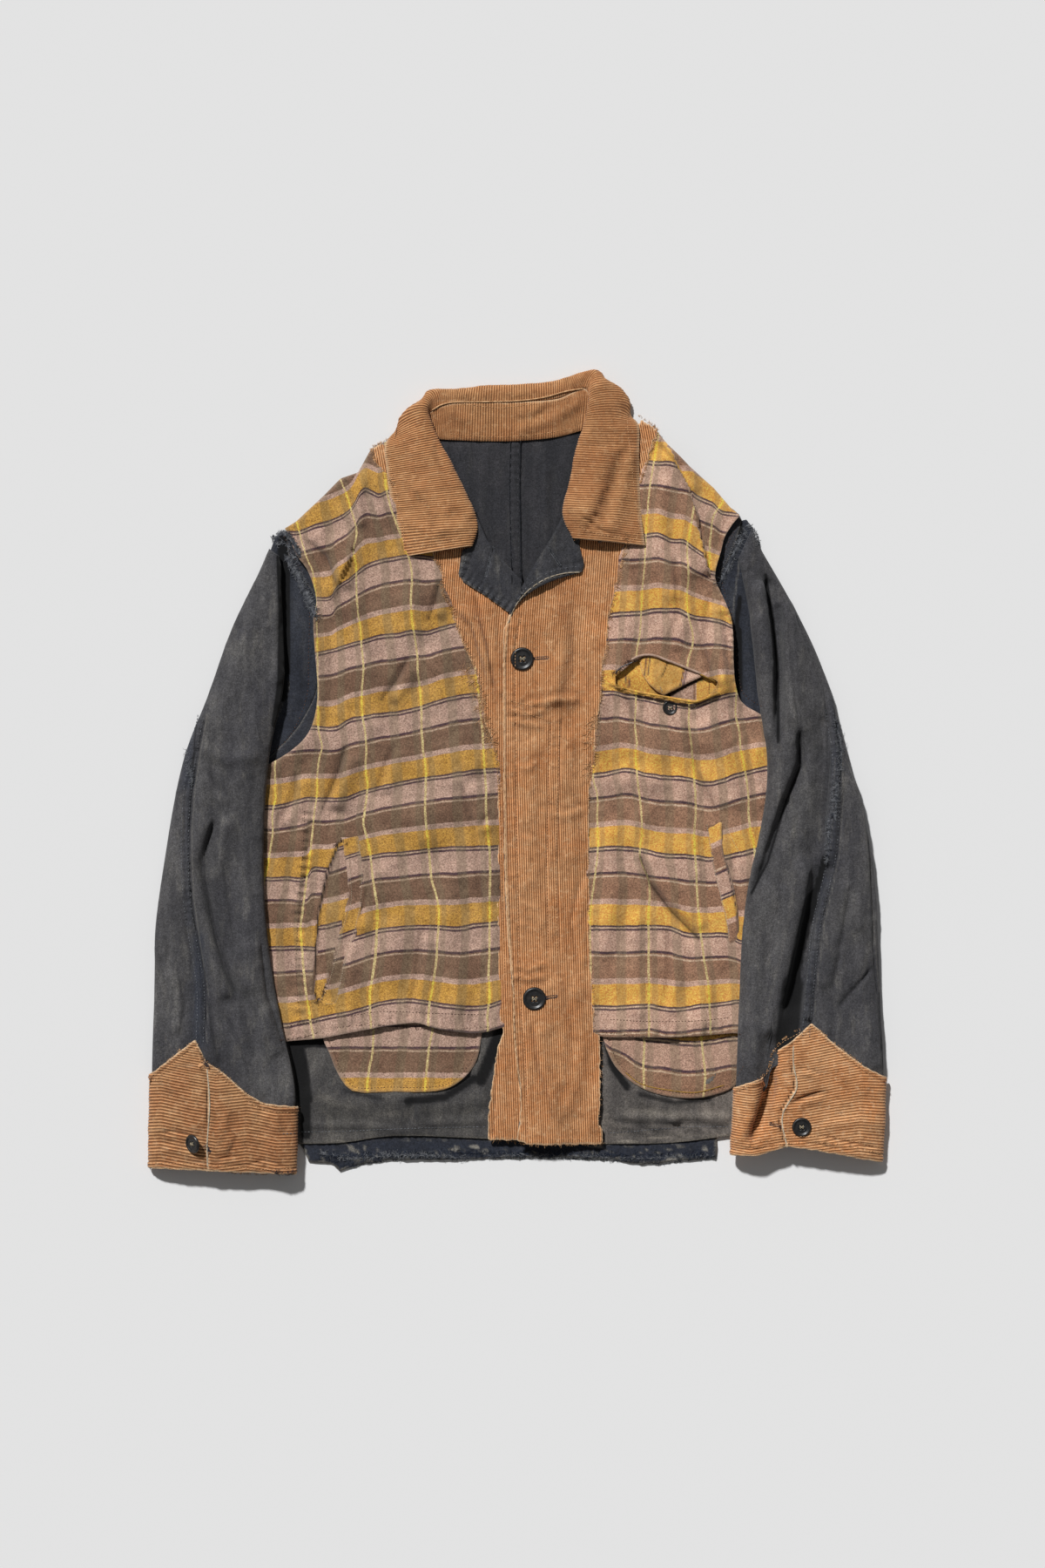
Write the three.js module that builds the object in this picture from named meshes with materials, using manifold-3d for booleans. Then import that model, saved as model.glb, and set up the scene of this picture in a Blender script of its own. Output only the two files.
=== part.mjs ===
// A patched work jacket laid flat on its back: charcoal twill under a sleeveless plaid flannel,
// with tan corduroy bands, collar and cuffs. Millimetres, +Z up, +Y towards the collar.
// "Left" and "right" are the viewer's, looking down on the jacket's front.
import * as THREE from "three";
import { mergeVertices } from "three/addons/utils/BufferGeometryUtils.js";
import Module from "manifold-3d";

const wasm = await Module();
wasm.setup();

// Driving dimensions: cloth walls, the clearance between layers, and the shared lattice of the folds
const TWILL = 1.3;
const FLANNEL = 1.2;
const CORDUROY = 1.8;
const BAG = 2.0;
const GAP = 0.35;
const LATTICE = 25;
const LATTICE_SHIFT = 5;
const SLAB_REACH = 200;
const WELD = 1e-4;

// Heights of the flat layers, worked up from the surface the jacket lies on
const BACK_TOP = TWILL;
const FRONT_FLOOR = BACK_TOP + GAP;
const BAG_ROOM = BAG + GAP;
const LAP_LIFT = TWILL + GAP + FLANNEL + GAP + CORDUROY + GAP;
const LAPEL_ROOM = TWILL + GAP;

// Sleeve tubes: sides of a section, rings along a sleeve, the half height of its folded edges
const SECTION_SIDES = 24;
const SLEEVE_RINGS = 17;
const EDGE_HALF = 4.5;
const CUFF_ROWS = 6;
const CUFF_GAP = 0.8;
const CUFF_LIFT = CORDUROY + CUFF_GAP;

// Buttons by diameter: 36 line on the front, 30 line on the cuffs, 24 line on the chest
const BUTTON_FRONT = 23;
const BUTTON_CUFF = 19;
const BUTTON_CHEST = 15;
const BUTTON_THICK = 3.4;
const BUTTON_CLEAR = 0.15;

const finish = {
  twill: new THREE.MeshStandardMaterial({ color: 0x45464c, roughness: 0.9, metalness: 0 }),
  plaid: new THREE.MeshStandardMaterial({ color: 0x947454, roughness: 0.95, metalness: 0 }),
  corduroy: new THREE.MeshStandardMaterial({ color: 0xb5814f, roughness: 0.9, metalness: 0 }),
  button: new THREE.MeshStandardMaterial({ color: 0x16171a, roughness: 0.35, metalness: 0 }),
};

const jacket = new THREE.Group();

function add(name, geometry, material) {
  const mesh = new THREE.Mesh(geometry, material);
  mesh.name = name;
  jacket.add(mesh);
  return mesh;
}

// A smooth open line through hand-placed points, with a few steps on each span
function smooth(points, perSpan = 2) {
  const curve = new THREE.CatmullRomCurve3(points.map(([x, y]) => new THREE.Vector3(x, y, 0)));
  const steps = (points.length - 1) * perSpan;
  return Array.from({ length: steps + 1 }, (_, i) => {
    const at = curve.getPoint(i / steps);
    return [at.x, at.y];
  });
}

const clamp01 = (value) => Math.min(1, Math.max(0, value));
const ease = (value) => clamp01(value) ** 2 * (3 - 2 * clamp01(value));

// Distance from a point to a broken line, both in plan
function distanceTo(line, x, y) {
  let nearest = Infinity;
  for (let i = 0; i + 1 < line.length; i++) {
    const [ax, ay] = line[i];
    const [bx, by] = line[i + 1];
    const along = clamp01(((x - ax) * (bx - ax) + (y - ay) * (by - ay)) / ((bx - ax) ** 2 + (by - ay) ** 2));
    nearest = Math.min(nearest, Math.hypot(x - ax - along * (bx - ax), y - ay - along * (by - ay)));
  }
  return nearest;
}

// Folds are soft ridges (or troughs, where high is negative) that follow a line
function relief(folds, x, y) {
  const height = ({ line, wide, high }) => high * Math.exp(-((distanceTo(line, x, y) / wide) ** 2));
  return folds.reduce((sum, fold) => sum + height(fold), 0);
}

const TWILL_FOLDS = [
  { line: [[-185, -318], [-70, -322]], wide: 30, high: 5 },
  { line: [[105, -322], [172, -320]], wide: 26, high: 6 },
];

const PLAID_FOLDS = [
  { line: [[-172, 283], [-158, 236], [-178, 180]], wide: 17, high: 6.5 },
  { line: [[-195, 255], [-205, 205]], wide: 14, high: 3 },
  { line: [[-128, 170], [-96, 60], [-70, -30]], wide: 24, high: 3 },
  { line: [[-185, 120], [-150, 10]], wide: 22, high: 2.5 },
  { line: [[-236, 10], [-205, 34]], wide: 13, high: 4 },
  { line: [[-196, -80], [-190, -200]], wide: 26, high: 4 },
  { line: [[-125, -60], [-100, -160]], wide: 26, high: 2.5 },
  { line: [[-170, -258], [-60, -250]], wide: 26, high: 6 },
  { line: [[157, 312], [172, 268], [187, 200]], wide: 15, high: 6.5 },
  { line: [[206, 190], [202, 110]], wide: 16, high: 3 },
  { line: [[105, 96], [205, 88]], wide: 20, high: 5 },
  { line: [[130, 20], [150, -100]], wide: 28, high: 2.5 },
  { line: [[208, -60], [204, -170]], wide: 24, high: 4 },
  { line: [[100, -256], [175, -254]], wide: 24, high: 5.5 },
];

// How far each layer's underside lies above the surface, at a point in plan
const lap = (x) => ease((58 - x) / 28);
const overLapel = (x, y) => ease((50 - x) / 22) * ease((y - 130) / 22);
const lapelRoll = (x, y) => 6 * Math.exp(-(((x - 18) / 24) ** 2) - ((y - 190) / 22) ** 2);
const belowWelts = (y) => ease((-170 - y) / 40);
const lowerRoom = (y) => BAG_ROOM * belowWelts(y);
const CHEST = { left: 55, right: 230, low: 5, high: 155, ramp: 25 };
const chestRoom = (x, y) =>
  2 *
  (FLANNEL + GAP) *
  ease(Math.min(x - CHEST.left, CHEST.right - x) / CHEST.ramp) *
  ease(Math.min(y - CHEST.low, CHEST.high - y) / CHEST.ramp);

const frontFloor = (x, y) => FRONT_FLOOR + relief(TWILL_FOLDS, x, y);
const plaidFold = (x, y) => relief(PLAID_FOLDS, x, y) * ease((Math.abs(x - 20) - 55) / 40);
const plaidRise = (x, y) => plaidFold(x, y) + lowerRoom(y);
const vestFloor = (x, y) => frontFloor(x, y) + TWILL + GAP + plaidRise(x, y);
const bandFloor = (x, y) => vestFloor(x, y) + FLANNEL + GAP;
const lapelFloor = (x, y) => bandFloor(x, y) + CORDUROY + GAP;
const lapRise = (x, y) => lap(x) * (LAP_LIFT + plaidRise(x, y) + overLapel(x, y) * LAPEL_ROOM);
const frontFloorOver = (x, y) => frontFloor(x, y) + lapRise(x, y);
const vestFloorOver = (x, y) => vestFloor(x, y) + lapRise(x, y) + chestRoom(x, y);
const bandFloorOver = (x, y) => vestFloorOver(x, y) + FLANNEL + GAP;
const lapelFloorOver = (x, y) => bandFloorOver(x, y) + CORDUROY + GAP + lapelRoll(x, y);

// Geometry with only its positions, each point held once
function welded(geometry) {
  const bare = geometry.clone();
  bare.deleteAttribute("normal");
  bare.deleteAttribute("uv");
  return mergeVertices(bare, WELD);
}

// A closed solid from three.js geometry, and back
function toSolid(geometry) {
  const merged = welded(geometry);
  return new wasm.Manifold(
    new wasm.Mesh({
      numProp: 3,
      vertProperties: new Float32Array(merged.attributes.position.array),
      triVerts: new Uint32Array(merged.index.array),
    }),
  );
}

function toGeometry(solid) {
  const mesh = solid.getMesh();
  const geometry = new THREE.BufferGeometry();
  const position = new Float32Array(mesh.numVert * 3);
  for (let i = 0; i < mesh.numVert; i++) {
    position.set(mesh.vertProperties.subarray(i * mesh.numProp, i * mesh.numProp + 3), i * 3);
  }
  geometry.setAttribute("position", new THREE.BufferAttribute(position, 3));
  geometry.setIndex(new THREE.BufferAttribute(new Uint32Array(mesh.triVerts), 1));
  geometry.computeVertexNormals();
  return geometry;
}

// Closed geometry of a sheet given as rows of points on its two faces
function sheetBetween(lower, upper) {
  const rows = lower.length;
  const columns = lower[0].length;
  const position = [...lower, ...upper].flat(2);
  const index = [];
  const low = (r, c) => r * columns + c;
  const high = (r, c) => (rows + r) * columns + c;
  const quad = (a, b, c, d) => index.push(a, b, c, a, c, d);
  for (let r = 0; r + 1 < rows; r++) {
    for (let c = 0; c + 1 < columns; c++) {
      quad(high(r, c), high(r, c + 1), high(r + 1, c + 1), high(r + 1, c));
      quad(low(r, c), low(r + 1, c), low(r + 1, c + 1), low(r, c + 1));
    }
    quad(low(r, 0), high(r, 0), high(r + 1, 0), low(r + 1, 0));
    quad(low(r, columns - 1), low(r + 1, columns - 1), high(r + 1, columns - 1), high(r, columns - 1));
  }
  for (let c = 0; c + 1 < columns; c++) {
    quad(low(0, c), low(0, c + 1), high(0, c + 1), high(0, c));
    quad(low(rows - 1, c), high(rows - 1, c), high(rows - 1, c + 1), low(rows - 1, c + 1));
  }
  const geometry = new THREE.BufferGeometry();
  geometry.setAttribute("position", new THREE.Float32BufferAttribute(position, 3));
  geometry.setIndex(index);
  return geometry;
}

// A prism of a plan outline, tall enough to cut any layer
function prism(outline) {
  const shape = new THREE.Shape(outline.map(([x, y]) => new THREE.Vector2(x, y)));
  const geometry = new THREE.ExtrudeGeometry(shape, { depth: SLAB_REACH, bevelEnabled: false });
  return toSolid(geometry.translate(0, 0, -SLAB_REACH / 2));
}

// One cut panel: a wall over its floor on the lattice that all layers share, trimmed to its outline
function panel(outline, floor, wall, cuts = []) {
  const span = (axis) => {
    const values = outline.map((point) => point[axis] - LATTICE_SHIFT);
    const first = Math.floor(Math.min(...values) / LATTICE);
    const last = Math.ceil(Math.max(...values) / LATTICE);
    return Array.from({ length: last - first + 1 }, (_, i) => (first + i) * LATTICE + LATTICE_SHIFT);
  };
  const across = span(0);
  const up = span(1);
  const lower = up.map((y) => across.map((x) => [x, y, floor(x, y)]));
  const upper = lower.map((row) => row.map(([x, y, z]) => [x, y, z + wall]));
  const trimmed = toSolid(sheetBetween(lower, upper)).intersect(prism(outline));
  return toGeometry(cuts.reduce((solid, cut) => solid.subtract(prism(cut)), trimmed));
}

// The back lies flat on the surface, so it needs no lattice
function flatPanel(outline, wall) {
  const shape = new THREE.Shape(outline.map(([x, y]) => new THREE.Vector2(x, y)));
  return new THREE.ExtrudeGeometry(shape, { depth: wall, bevelEnabled: false });
}

// A line moved sideways, to its left as it runs
function beside(line, distance) {
  return line.map(([x, y], i) => {
    const [ax, ay] = line[Math.max(0, i - 1)];
    const [bx, by] = line[Math.min(line.length - 1, i + 1)];
    const length = Math.hypot(bx - ax, by - ay);
    return [x - (distance * (by - ay)) / length, y + (distance * (bx - ax)) / length];
  });
}

// Outlines, in plan. Each is made of stretches that a cutter would mark one after another
const SHOULDER_LEFT = [[-130, 328], [-145, 321], [-158, 297], [-175, 291], [-191, 275], [-219, 249],
  [-230, 242]];
const SHOULDER_RIGHT = [[137, 338], [148, 324], [169, 303], [193, 282], [210, 262], [219, 255]];
const SEAM_LEFT = [[-229, 238], [-226, 212], [-214, 194], [-202, 177], [-192, 148], [-196, 95],
  [-216, 48], [-256, 6]];
const SEAM_RIGHT = [[221, 250], [214, 226], [205, 206], [196, 188], [190, 150], [199, 92], [224, 62],
  [248, 50]];
const SIDE_LEFT = [[-257, 2], [-262, -100], [-252, -250], [-230, -361]];
const SIDE_RIGHT = [[250, 46], [253, -10], [246, -70], [235, -140], [229, -230], [225, -300], [219, -361]];
const ROLL_LEFT = [[-41, 255], [-31, 231], [-22, 218], [-8, 203], [3, 191], [27, 166]];
const ROLL_RIGHT = [[-8, 160], [4, 184], [20, 212], [32, 231], [45, 256]];
const NECK_FRONT_LEFT = [[-112, 326], [-94, 330], [-74, 312], [-54, 282]];
const NECK_FRONT_RIGHT = [[58, 282], [66, 315], [78, 337], [100, 340]];
const EDGE_FRONT = [[-14, 126], [-14, 7], [-12, -131], [-5, -218], [-3, -268], [3, -326], [-1, -361]];
const UNDER_EDGE = 27;

const back = [
  ...smooth([[-79, 333], [-4, 332], [36, 336], [64, 343]]),
  ...smooth([[82, 344], [102, 341], [122, 338]]),
  ...SHOULDER_RIGHT,
  ...smooth([[212, 225], [204, 180], [204, 120], [224, 68], [250, 46]]),
  ...smooth([[253, -10], [246, -70], [235, -140], [227, -280], [197, -345]]),
  [196, -381], [150, -383], [130, -387], [112, -386], [96, -381], [56, -380], [4, -380], [-54, -382],
  [-125, -382],
  [-160, -387], [-176, -393], [-184, -386], [-207, -384],
  ...smooth([[-226, -340], [-252, -250], [-262, -100], [-257, 2]]),
  ...smooth([[-256, 6], [-220, 44], [-204, 95], [-206, 160], [-229, 238]]),
  ...SHOULDER_LEFT.toReversed(),
  ...smooth([[-128, 322], [-112, 329], [-95, 334]], 1),
];

const frontLeft = [
  ...NECK_FRONT_LEFT,
  ...ROLL_LEFT,
  [UNDER_EDGE, -362],
  ...smooth([[-30, -361], [-125, -358], [-175, -365], [-229, -366]]),
  ...smooth(SIDE_LEFT.toReversed()),
  ...smooth(SEAM_LEFT.toReversed()),
  ...SHOULDER_LEFT.toReversed(),
];

const frontRight = [
  ...smooth(ROLL_RIGHT),
  ...NECK_FRONT_RIGHT,
  ...SHOULDER_RIGHT,
  ...smooth(SEAM_RIGHT),
  ...smooth(SIDE_RIGHT),
  ...smooth([[209, -358], [150, -365], [83, -366]]),
  ...smooth(EDGE_FRONT.toReversed()),
];

const vestLeft = [
  ...SHOULDER_LEFT.toReversed(),
  [-112, 316], [-98, 290], [-86, 240], [-64, 200], [-46, 140], [-26, 80], [-12, 20], [-8, -60],
  ...smooth([[-10, -249], [-38, -256], [-65, -254], [-86, -250], [-98, -246], [-124, -248],
    [-168, -256], [-193, -261],
    [-226, -264], [-244, -266]], 1),
  ...smooth([[-252, -200], [-262, -100], [-257, 2]]),
  ...smooth([[-248, 8], [-229, 19], [-213, 32], [-204, 46], [-198, 76], [-200, 115], [-202, 153],
    [-199, 169],
    [-202, 186], [-209, 203], [-218, 215], [-224, 229]], 1),
];

const vestRight = [
  [60, 40], [64, 120], [74, 190], [84, 232], [92, 262], [98, 300], [106, 328],
  ...SHOULDER_RIGHT,
  ...smooth([[212, 247], [204, 234], [200, 219], [194, 194], [203, 172], [211, 150], [213, 96],
    [220, 71], [240, 58]], 1),
  ...smooth([[250, 46], [253, -10], [246, -70], [235, -140], [229, -257]]),
  ...smooth([[212, -256], [156, -260], [121, -260], [89, -260], [80, -259], [60, -252]], 1),
];

const bandLeft = [
  [-56, 262], ...ROLL_LEFT,
  [UNDER_EDGE, -363], [-30, -361],
  ...smooth([[-29, -339], [-27, -319], [-20, -273], [-14, -254]], 1),
  ...smooth([[-20, -238], [-20, 0]], 1),
  [-25, 31], [-33, 52], [-38, 86], [-43, 104], [-55, 131], [-62, 149], [-69, 168], [-76, 180],
  [-76, 199], [-83, 212],
  [-90, 240],
];

const bandRight = [
  ...smooth([...EDGE_FRONT.toReversed(), [-13, 144], ...ROLL_RIGHT]),
  [60, 264], [107, 238], [105, 222], [98, 190], [94, 173], [89, 152], [87, 119], [83, 108], [81, 71],
  [76, 38], [75, 7],
  [70, -18], [70, -131], [71, -183], [75, -236], [74, -252], [80, -258], [81, -319], [79, -347],
  [83, -351], [83, -366],
  [40, -366], [8, -365],
];

const lapelLeft = [
  [-45, 224], [-55, 221], [-59, 196], [-54, 189], [-31, 175], [-9, 159], [2, 166], [8, 179], [3, 191],
  [-8, 202],
  [-22, 218], [-31, 231], [-41, 254], [-50, 250],
];

const lapelRight = [
  ...smooth([...ROLL_RIGHT.toReversed(), [-8, 158]]),
  ...smooth([[-1, 167], [10, 177], [27, 187], [45, 194], [63, 199]], 1),
  [65, 206], [60, 226], [62, 244], [54, 258],
];

const underSleeveLeft = [
  ...beside(smooth(SEAM_LEFT).slice(2), -GAP),
  [-256, 14], [-247, 60], [-243, 110], [-243, 170], [-236, 206],
];

const underSleeveRight = [
  ...beside(smooth(SEAM_RIGHT).slice(2), GAP),
  [255, 50], [247, 90], [242, 130], [233, 180], [225, 212],
];

const shoulderPatchLeft = [[-146, 321], [-133, 327], [-122, 316], [-108, 284], [-120, 284],
  [-133, 297], [-141, 307]];
const shoulderPatchRight = [[121, 349], [134, 342], [138, 337], [131, 321], [126, 304], [120, 288],
  [108, 292], [112, 335]];

const bagLeft = [
  [-196, -222], ...smooth([[-192, -264], [-186, -277], [-178, -296], [-164, -313], [-124, -314],
  [-87, -314], [-68, -310],
    [-52, -299], [-41, -283], [-36, -256]], 1), [-34, -222],
];

const bagRight = [
  [82, -222], ...smooth([[84, -261], [87, -271], [96, -289], [109, -302], [128, -313], [152, -319],
  [176, -320], [194, -317],
    [214, -309], [226, -290]], 1), [230, -222],
];

const weltLeft = [
  ...smooth([[-175, -63], [-168, -105], [-175, -152], [-190, -204], [-197, -226]], 1),
  ...smooth([[-180, -228], [-169, -190], [-158, -150], [-153, -98], [-157, -61]], 1),
];

const weltRight = [
  ...smooth([[185, -52], [188, -69], [197, -110], [206, -148], [208, -169]], 1),
  ...smooth([[216, -164], [218, -152], [214, -119], [207, -92], [203, -82], [201, -48]], 1),
];

const chestMouth = smooth([[96, 96], [124, 116], [147, 111], [184, 96], [197, 90], [182, 73],
  [160, 74], [141, 77], [96, 86]], 2);
const chestBag = [[90, 118], [204, 118], [204, 30], [90, 30]];
const chestTab = [[119, 110], [134, 118], [160, 112], [158, 92], [149, 84], [141, 79], [131, 88],
  [122, 97]];

// Body: back first, then each front with what is sewn on it
add("back", flatPanel(back, TWILL), finish.twill);
add("front_left", panel(frontLeft, frontFloor, TWILL), finish.twill);
add("front_right", panel(frontRight, frontFloorOver, TWILL), finish.twill);
add("under_sleeve_left", panel(underSleeveLeft, frontFloor, TWILL), finish.twill);
add("under_sleeve_right", panel(underSleeveRight, frontFloor, TWILL), finish.twill);
add("vest_left", panel(vestLeft, vestFloor, FLANNEL), finish.plaid);
add("vest_right", panel(vestRight, vestFloorOver, FLANNEL, [chestMouth]), finish.plaid);
add("band_left", panel(bandLeft, bandFloor, CORDUROY), finish.corduroy);
add("band_right", panel(bandRight, bandFloorOver, CORDUROY), finish.corduroy);
add("lapel_left", panel(lapelLeft, lapelFloor, TWILL), finish.twill);
add("lapel_right", panel(lapelRight, lapelFloorOver, TWILL), finish.twill);
add("shoulder_patch_left", panel(shoulderPatchLeft, bandFloor, CORDUROY), finish.corduroy);
add("shoulder_patch_right", panel(shoulderPatchRight, bandFloorOver, CORDUROY), finish.corduroy);

// Pockets: the bags lie between the twill and the plaid, the welts on the plaid
const BAG_FOLD = 0.6;
const bagFloor = (x, y) => frontFloor(x, y) + TWILL + GAP + BAG_FOLD * plaidFold(x, y) * belowWelts(y);
add("pocket_bag_left", panel(bagLeft, bagFloor, BAG), finish.plaid);
add("pocket_bag_right", panel(bagRight, bagFloor, BAG), finish.plaid);
add("welt_left", panel(weltLeft, bandFloor, FLANNEL), finish.plaid);
add("welt_right", panel(weltRight, bandFloorOver, FLANNEL), finish.plaid);
const chestBagFloor = (x, y) => vestFloorOver(x, y) - chestRoom(x, y);
add("chest_pocket_bag", panel(chestBag, chestBagFloor, FLANNEL), finish.plaid);
const chestTabFloor = (x, y) => chestBagFloor(x, y) + FLANNEL + GAP;
add("chest_pocket_tab", panel(chestTab, chestTabFloor, FLANNEL), finish.plaid);

// Sleeves: flattened tubes. Each outer point is [x, y, height of the crown], and each inner one is
// [x, y, height of its rest], both from the shoulder to the cuff's hem
const SLEEVES = {
  left: {
    outer: [[-246, 222, 9], [-256, 199, 11], [-283, 143, 15], [-307, 76, 19], [-330, 16, 21],
      [-350, -88, 22],
      [-358, -157, 20], [-360, -228, 18], [-362, -300, 17], [-363, -389, 17]],
    inner: [[-235, 214, 3.8], [-235, 192, 3.8], [-232, 143, 4], [-232, 85, 4.5], [-245, 20, 6.5],
      [-251, -60, 6.4],
      [-249, -144, 6.4], [-236, -236, 6.4], [-221, -310, 6.4], [-221, -395, 6.4]],
    folds: [
      { line: [[-290, 60], [-300, 0]], wide: 14, high: -3 },
      { line: [[-300, -20], [-292, -90], [-280, -170]], wide: 10, high: -5 },
      { line: [[-318, 20], [-324, -60], [-318, -190]], wide: 9, high: -3 },
      { line: [[-262, 120], [-268, 10]], wide: 14, high: 2 },
    ],
    cuffTop: [[-366, -300], [-318, -262], [-307, -284], [-290, -295], [-267, -316], [-251, -325],
      [-214, -329]],
    cuffHem: [[-366, -390], [-305, -391], [-229, -398], [-214, -394]],
  },
  right: {
    outer: [[230, 240, 10], [241, 220, 12], [269, 171, 16], [298, 111, 20], [326, 17, 22], [350, -88, 22],
      [356, -172, 21], [358, -228, 19], [361, -300, 18], [358, -383, 18]],
    inner: [[218, 213, 3.8], [222, 192, 3.8], [231, 143, 4], [237, 85, 4.5], [246, 5, 6.5], [238, -65, 6.4],
      [224, -130, 6.4], [218, -228, 6.4], [215, -305, 6.4], [212, -376, 6.4]],
    folds: [
      { line: [[247, 188], [256, 150], [258, 60]], wide: 9, high: -6 },
      { line: [[277, 20], [262, -40], [242, -105]], wide: 9, high: -7 },
      { line: [[302, 50], [300, -30], [282, -160], [270, -225]], wide: 11, high: -8 },
      { line: [[247, -306], [240, -345]], wide: 9, high: -6 },
    ],
    cuffTop: [[210, -311], [245, -298], [249, -277], [267, -266], [289, -246], [311, -266],
      [341, -289], [366, -302]],
    cuffHem: [[206, -376], [236, -376], [267, -367], [294, -371], [366, -385]],
  },
};
const REST_RAMP = 36;
const REST_WIDE = 14;
const UNDER_CUFF = 14;

// How square a section is above and below: a sine to one power or the other
const CROWN_ROUND = 0.75;
const KEEL_ROUND = 0.45;

// Height or place of a broken line at x, where x runs on along it
function lineAt(line, x) {
  const i = Math.min(line.length - 2, Math.max(0, line.findIndex((point) => point[0] > x) - 1));
  const [ax, ay] = line[i];
  const [bx, by] = line[i + 1];
  return ay + ((by - ay) * (x - ax)) / (bx - ax);
}

const curveOf = (points) => new THREE.CatmullRomCurve3(points.map((point) => new THREE.Vector3(...point)));

// One section of a sleeve, from its outer fold over the crown to its inner fold and back beneath
function section(sleeve, along, sides = SECTION_SIDES) {
  const outer = curveOf(sleeve.outer).getPoint(along);
  const inner = curveOf(sleeve.inner).getPoint(along);
  const width = Math.hypot(inner.x - outer.x, inner.y - outer.y);
  const lift = CUFF_LIFT * ease((-225 - outer.y) / 30);
  const half = Math.min(EDGE_HALF, 0.4 * outer.z);
  return Array.from({ length: sides }, (_, i) => {
    const angle = (2 * Math.PI * i) / sides;
    const across = (1 - Math.cos(angle)) / 2;
    const x = outer.x + across * (inner.x - outer.x);
    const y = outer.y + across * (inner.y - outer.y);
    const run = across * width;
    const rest = inner.z * ease((run - width + REST_RAMP) / (REST_RAMP - REST_WIDE)) + lift + half;
    const arch = Math.abs(Math.sin(angle));
    const crown = (outer.z - half) * arch ** CROWN_ROUND + arch * relief(sleeve.folds, x, y);
    const rise = angle <= Math.PI ? crown : -half * arch ** KEEL_ROUND;
    return { x, y, z: rest + rise, ux: (inner.x - outer.x) / width, uy: (inner.y - outer.y) / width, run };
  });
}

// The section's points moved out from its cloth, in its own upright plane
function moved(loop, distance) {
  return loop.map((point, i) => {
    const before = loop[(i + loop.length - 1) % loop.length];
    const after = loop[(i + 1) % loop.length];
    const run = after.run - before.run;
    const rise = after.z - before.z;
    const length = Math.hypot(run, rise);
    const side = (-rise / length) * distance;
    return [point.x + side * point.ux, point.y + side * point.uy, point.z + (run / length) * distance];
  });
}

// A closed wall between an outer and an inner set of rings
function tubeBetween(outer, inner) {
  const rings = outer.length;
  const sides = outer[0].length;
  const position = [...outer, ...inner].flat(2);
  const index = [];
  const at = (wall, r, k) => (wall * rings + r) * sides + (k % sides);
  const quad = (a, b, c, d) => index.push(a, b, c, a, c, d);
  for (let k = 0; k < sides; k++) {
    for (let r = 0; r + 1 < rings; r++) {
      quad(at(0, r, k), at(0, r, k + 1), at(0, r + 1, k + 1), at(0, r + 1, k));
      quad(at(1, r, k), at(1, r + 1, k), at(1, r + 1, k + 1), at(1, r, k + 1));
    }
    quad(at(0, 0, k), at(1, 0, k), at(1, 0, k + 1), at(0, 0, k + 1));
    quad(at(0, rings - 1, k), at(0, rings - 1, k + 1), at(1, rings - 1, k + 1), at(1, rings - 1, k));
  }
  const geometry = new THREE.BufferGeometry();
  geometry.setAttribute("position", new THREE.Float32BufferAttribute(position, 3));
  geometry.setIndex(index);
  return geometry;
}

// Turn a closed geometry's faces outwards if its points ran the other way round
function facingOut(geometry) {
  const { position } = geometry.attributes;
  const at = (i) => new THREE.Vector3().fromBufferAttribute(position, geometry.index.getX(i));
  let volume = 0;
  for (let i = 0; i < geometry.index.count; i += 3) {
    volume += at(i).dot(at(i + 1).cross(at(i + 2)));
  }
  if (volume < 0) {
    geometry.setIndex([...geometry.index.array].reverse());
  }
  geometry.computeVertexNormals();
  return geometry;
}

// Where along a sleeve one side of its section crosses a line drawn across it in plan
const CUFF_SPAN_START = 0.6;
const HALVINGS = 18;

function crossing(sleeve, side, line) {
  let [low, high] = [CUFF_SPAN_START, 1];
  for (let step = 0; step < HALVINGS; step++) {
    const middle = (low + high) / 2;
    const point = section(sleeve, middle)[side];
    [low, high] = point.y > lineAt(line, point.x) ? [middle, high] : [low, middle];
  }
  return (low + high) / 2;
}

// The line that a cuff's top edge follows: pointed above, straight beneath
function cuffEdge(sleeve, side, drop = 0) {
  const line = 2 * side <= SECTION_SIDES ? sleeve.cuffTop : [sleeve.cuffTop[0], sleeve.cuffTop.at(-1)];
  return line.map(([x, y]) => [x, y - drop]);
}

// A wall on a sleeve's section, between two places along it for each side
function tube(sleeve, spans, rings, from, to) {
  const pointAt = (distance, along, side) => moved(section(sleeve, along), distance)[side];
  const ringAt = (distance, part) =>
    spans.map(([start, end], side) => pointAt(distance, start + (end - start) * part, side));
  const rows = (distance) => Array.from({ length: rings }, (_, ring) => ringAt(distance, ring / (rings - 1)));
  return facingOut(tubeBetween(rows(to), rows(from)));
}

const eachSide = (make) => Array.from({ length: SECTION_SIDES }, (_, side) => make(side));

function sleeveTube(sleeve) {
  const spans = eachSide((side) => [0, crossing(sleeve, side, cuffEdge(sleeve, side, UNDER_CUFF))]);
  return tube(sleeve, spans, SLEEVE_RINGS, -TWILL, 0);
}

function cuffTube(sleeve) {
  const spans = eachSide((side) => [
    crossing(sleeve, side, cuffEdge(sleeve, side)),
    crossing(sleeve, side, sleeve.cuffHem),
  ]);
  return tube(sleeve, spans, CUFF_ROWS, CUFF_GAP, CUFF_GAP + CORDUROY);
}

add("sleeve_left", sleeveTube(SLEEVES.left), finish.twill);
add("sleeve_right", sleeveTube(SLEEVES.right), finish.twill);
add("cuff_left", cuffTube(SLEEVES.left), finish.corduroy);
add("cuff_right", cuffTube(SLEEVES.right), finish.corduroy);

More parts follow.
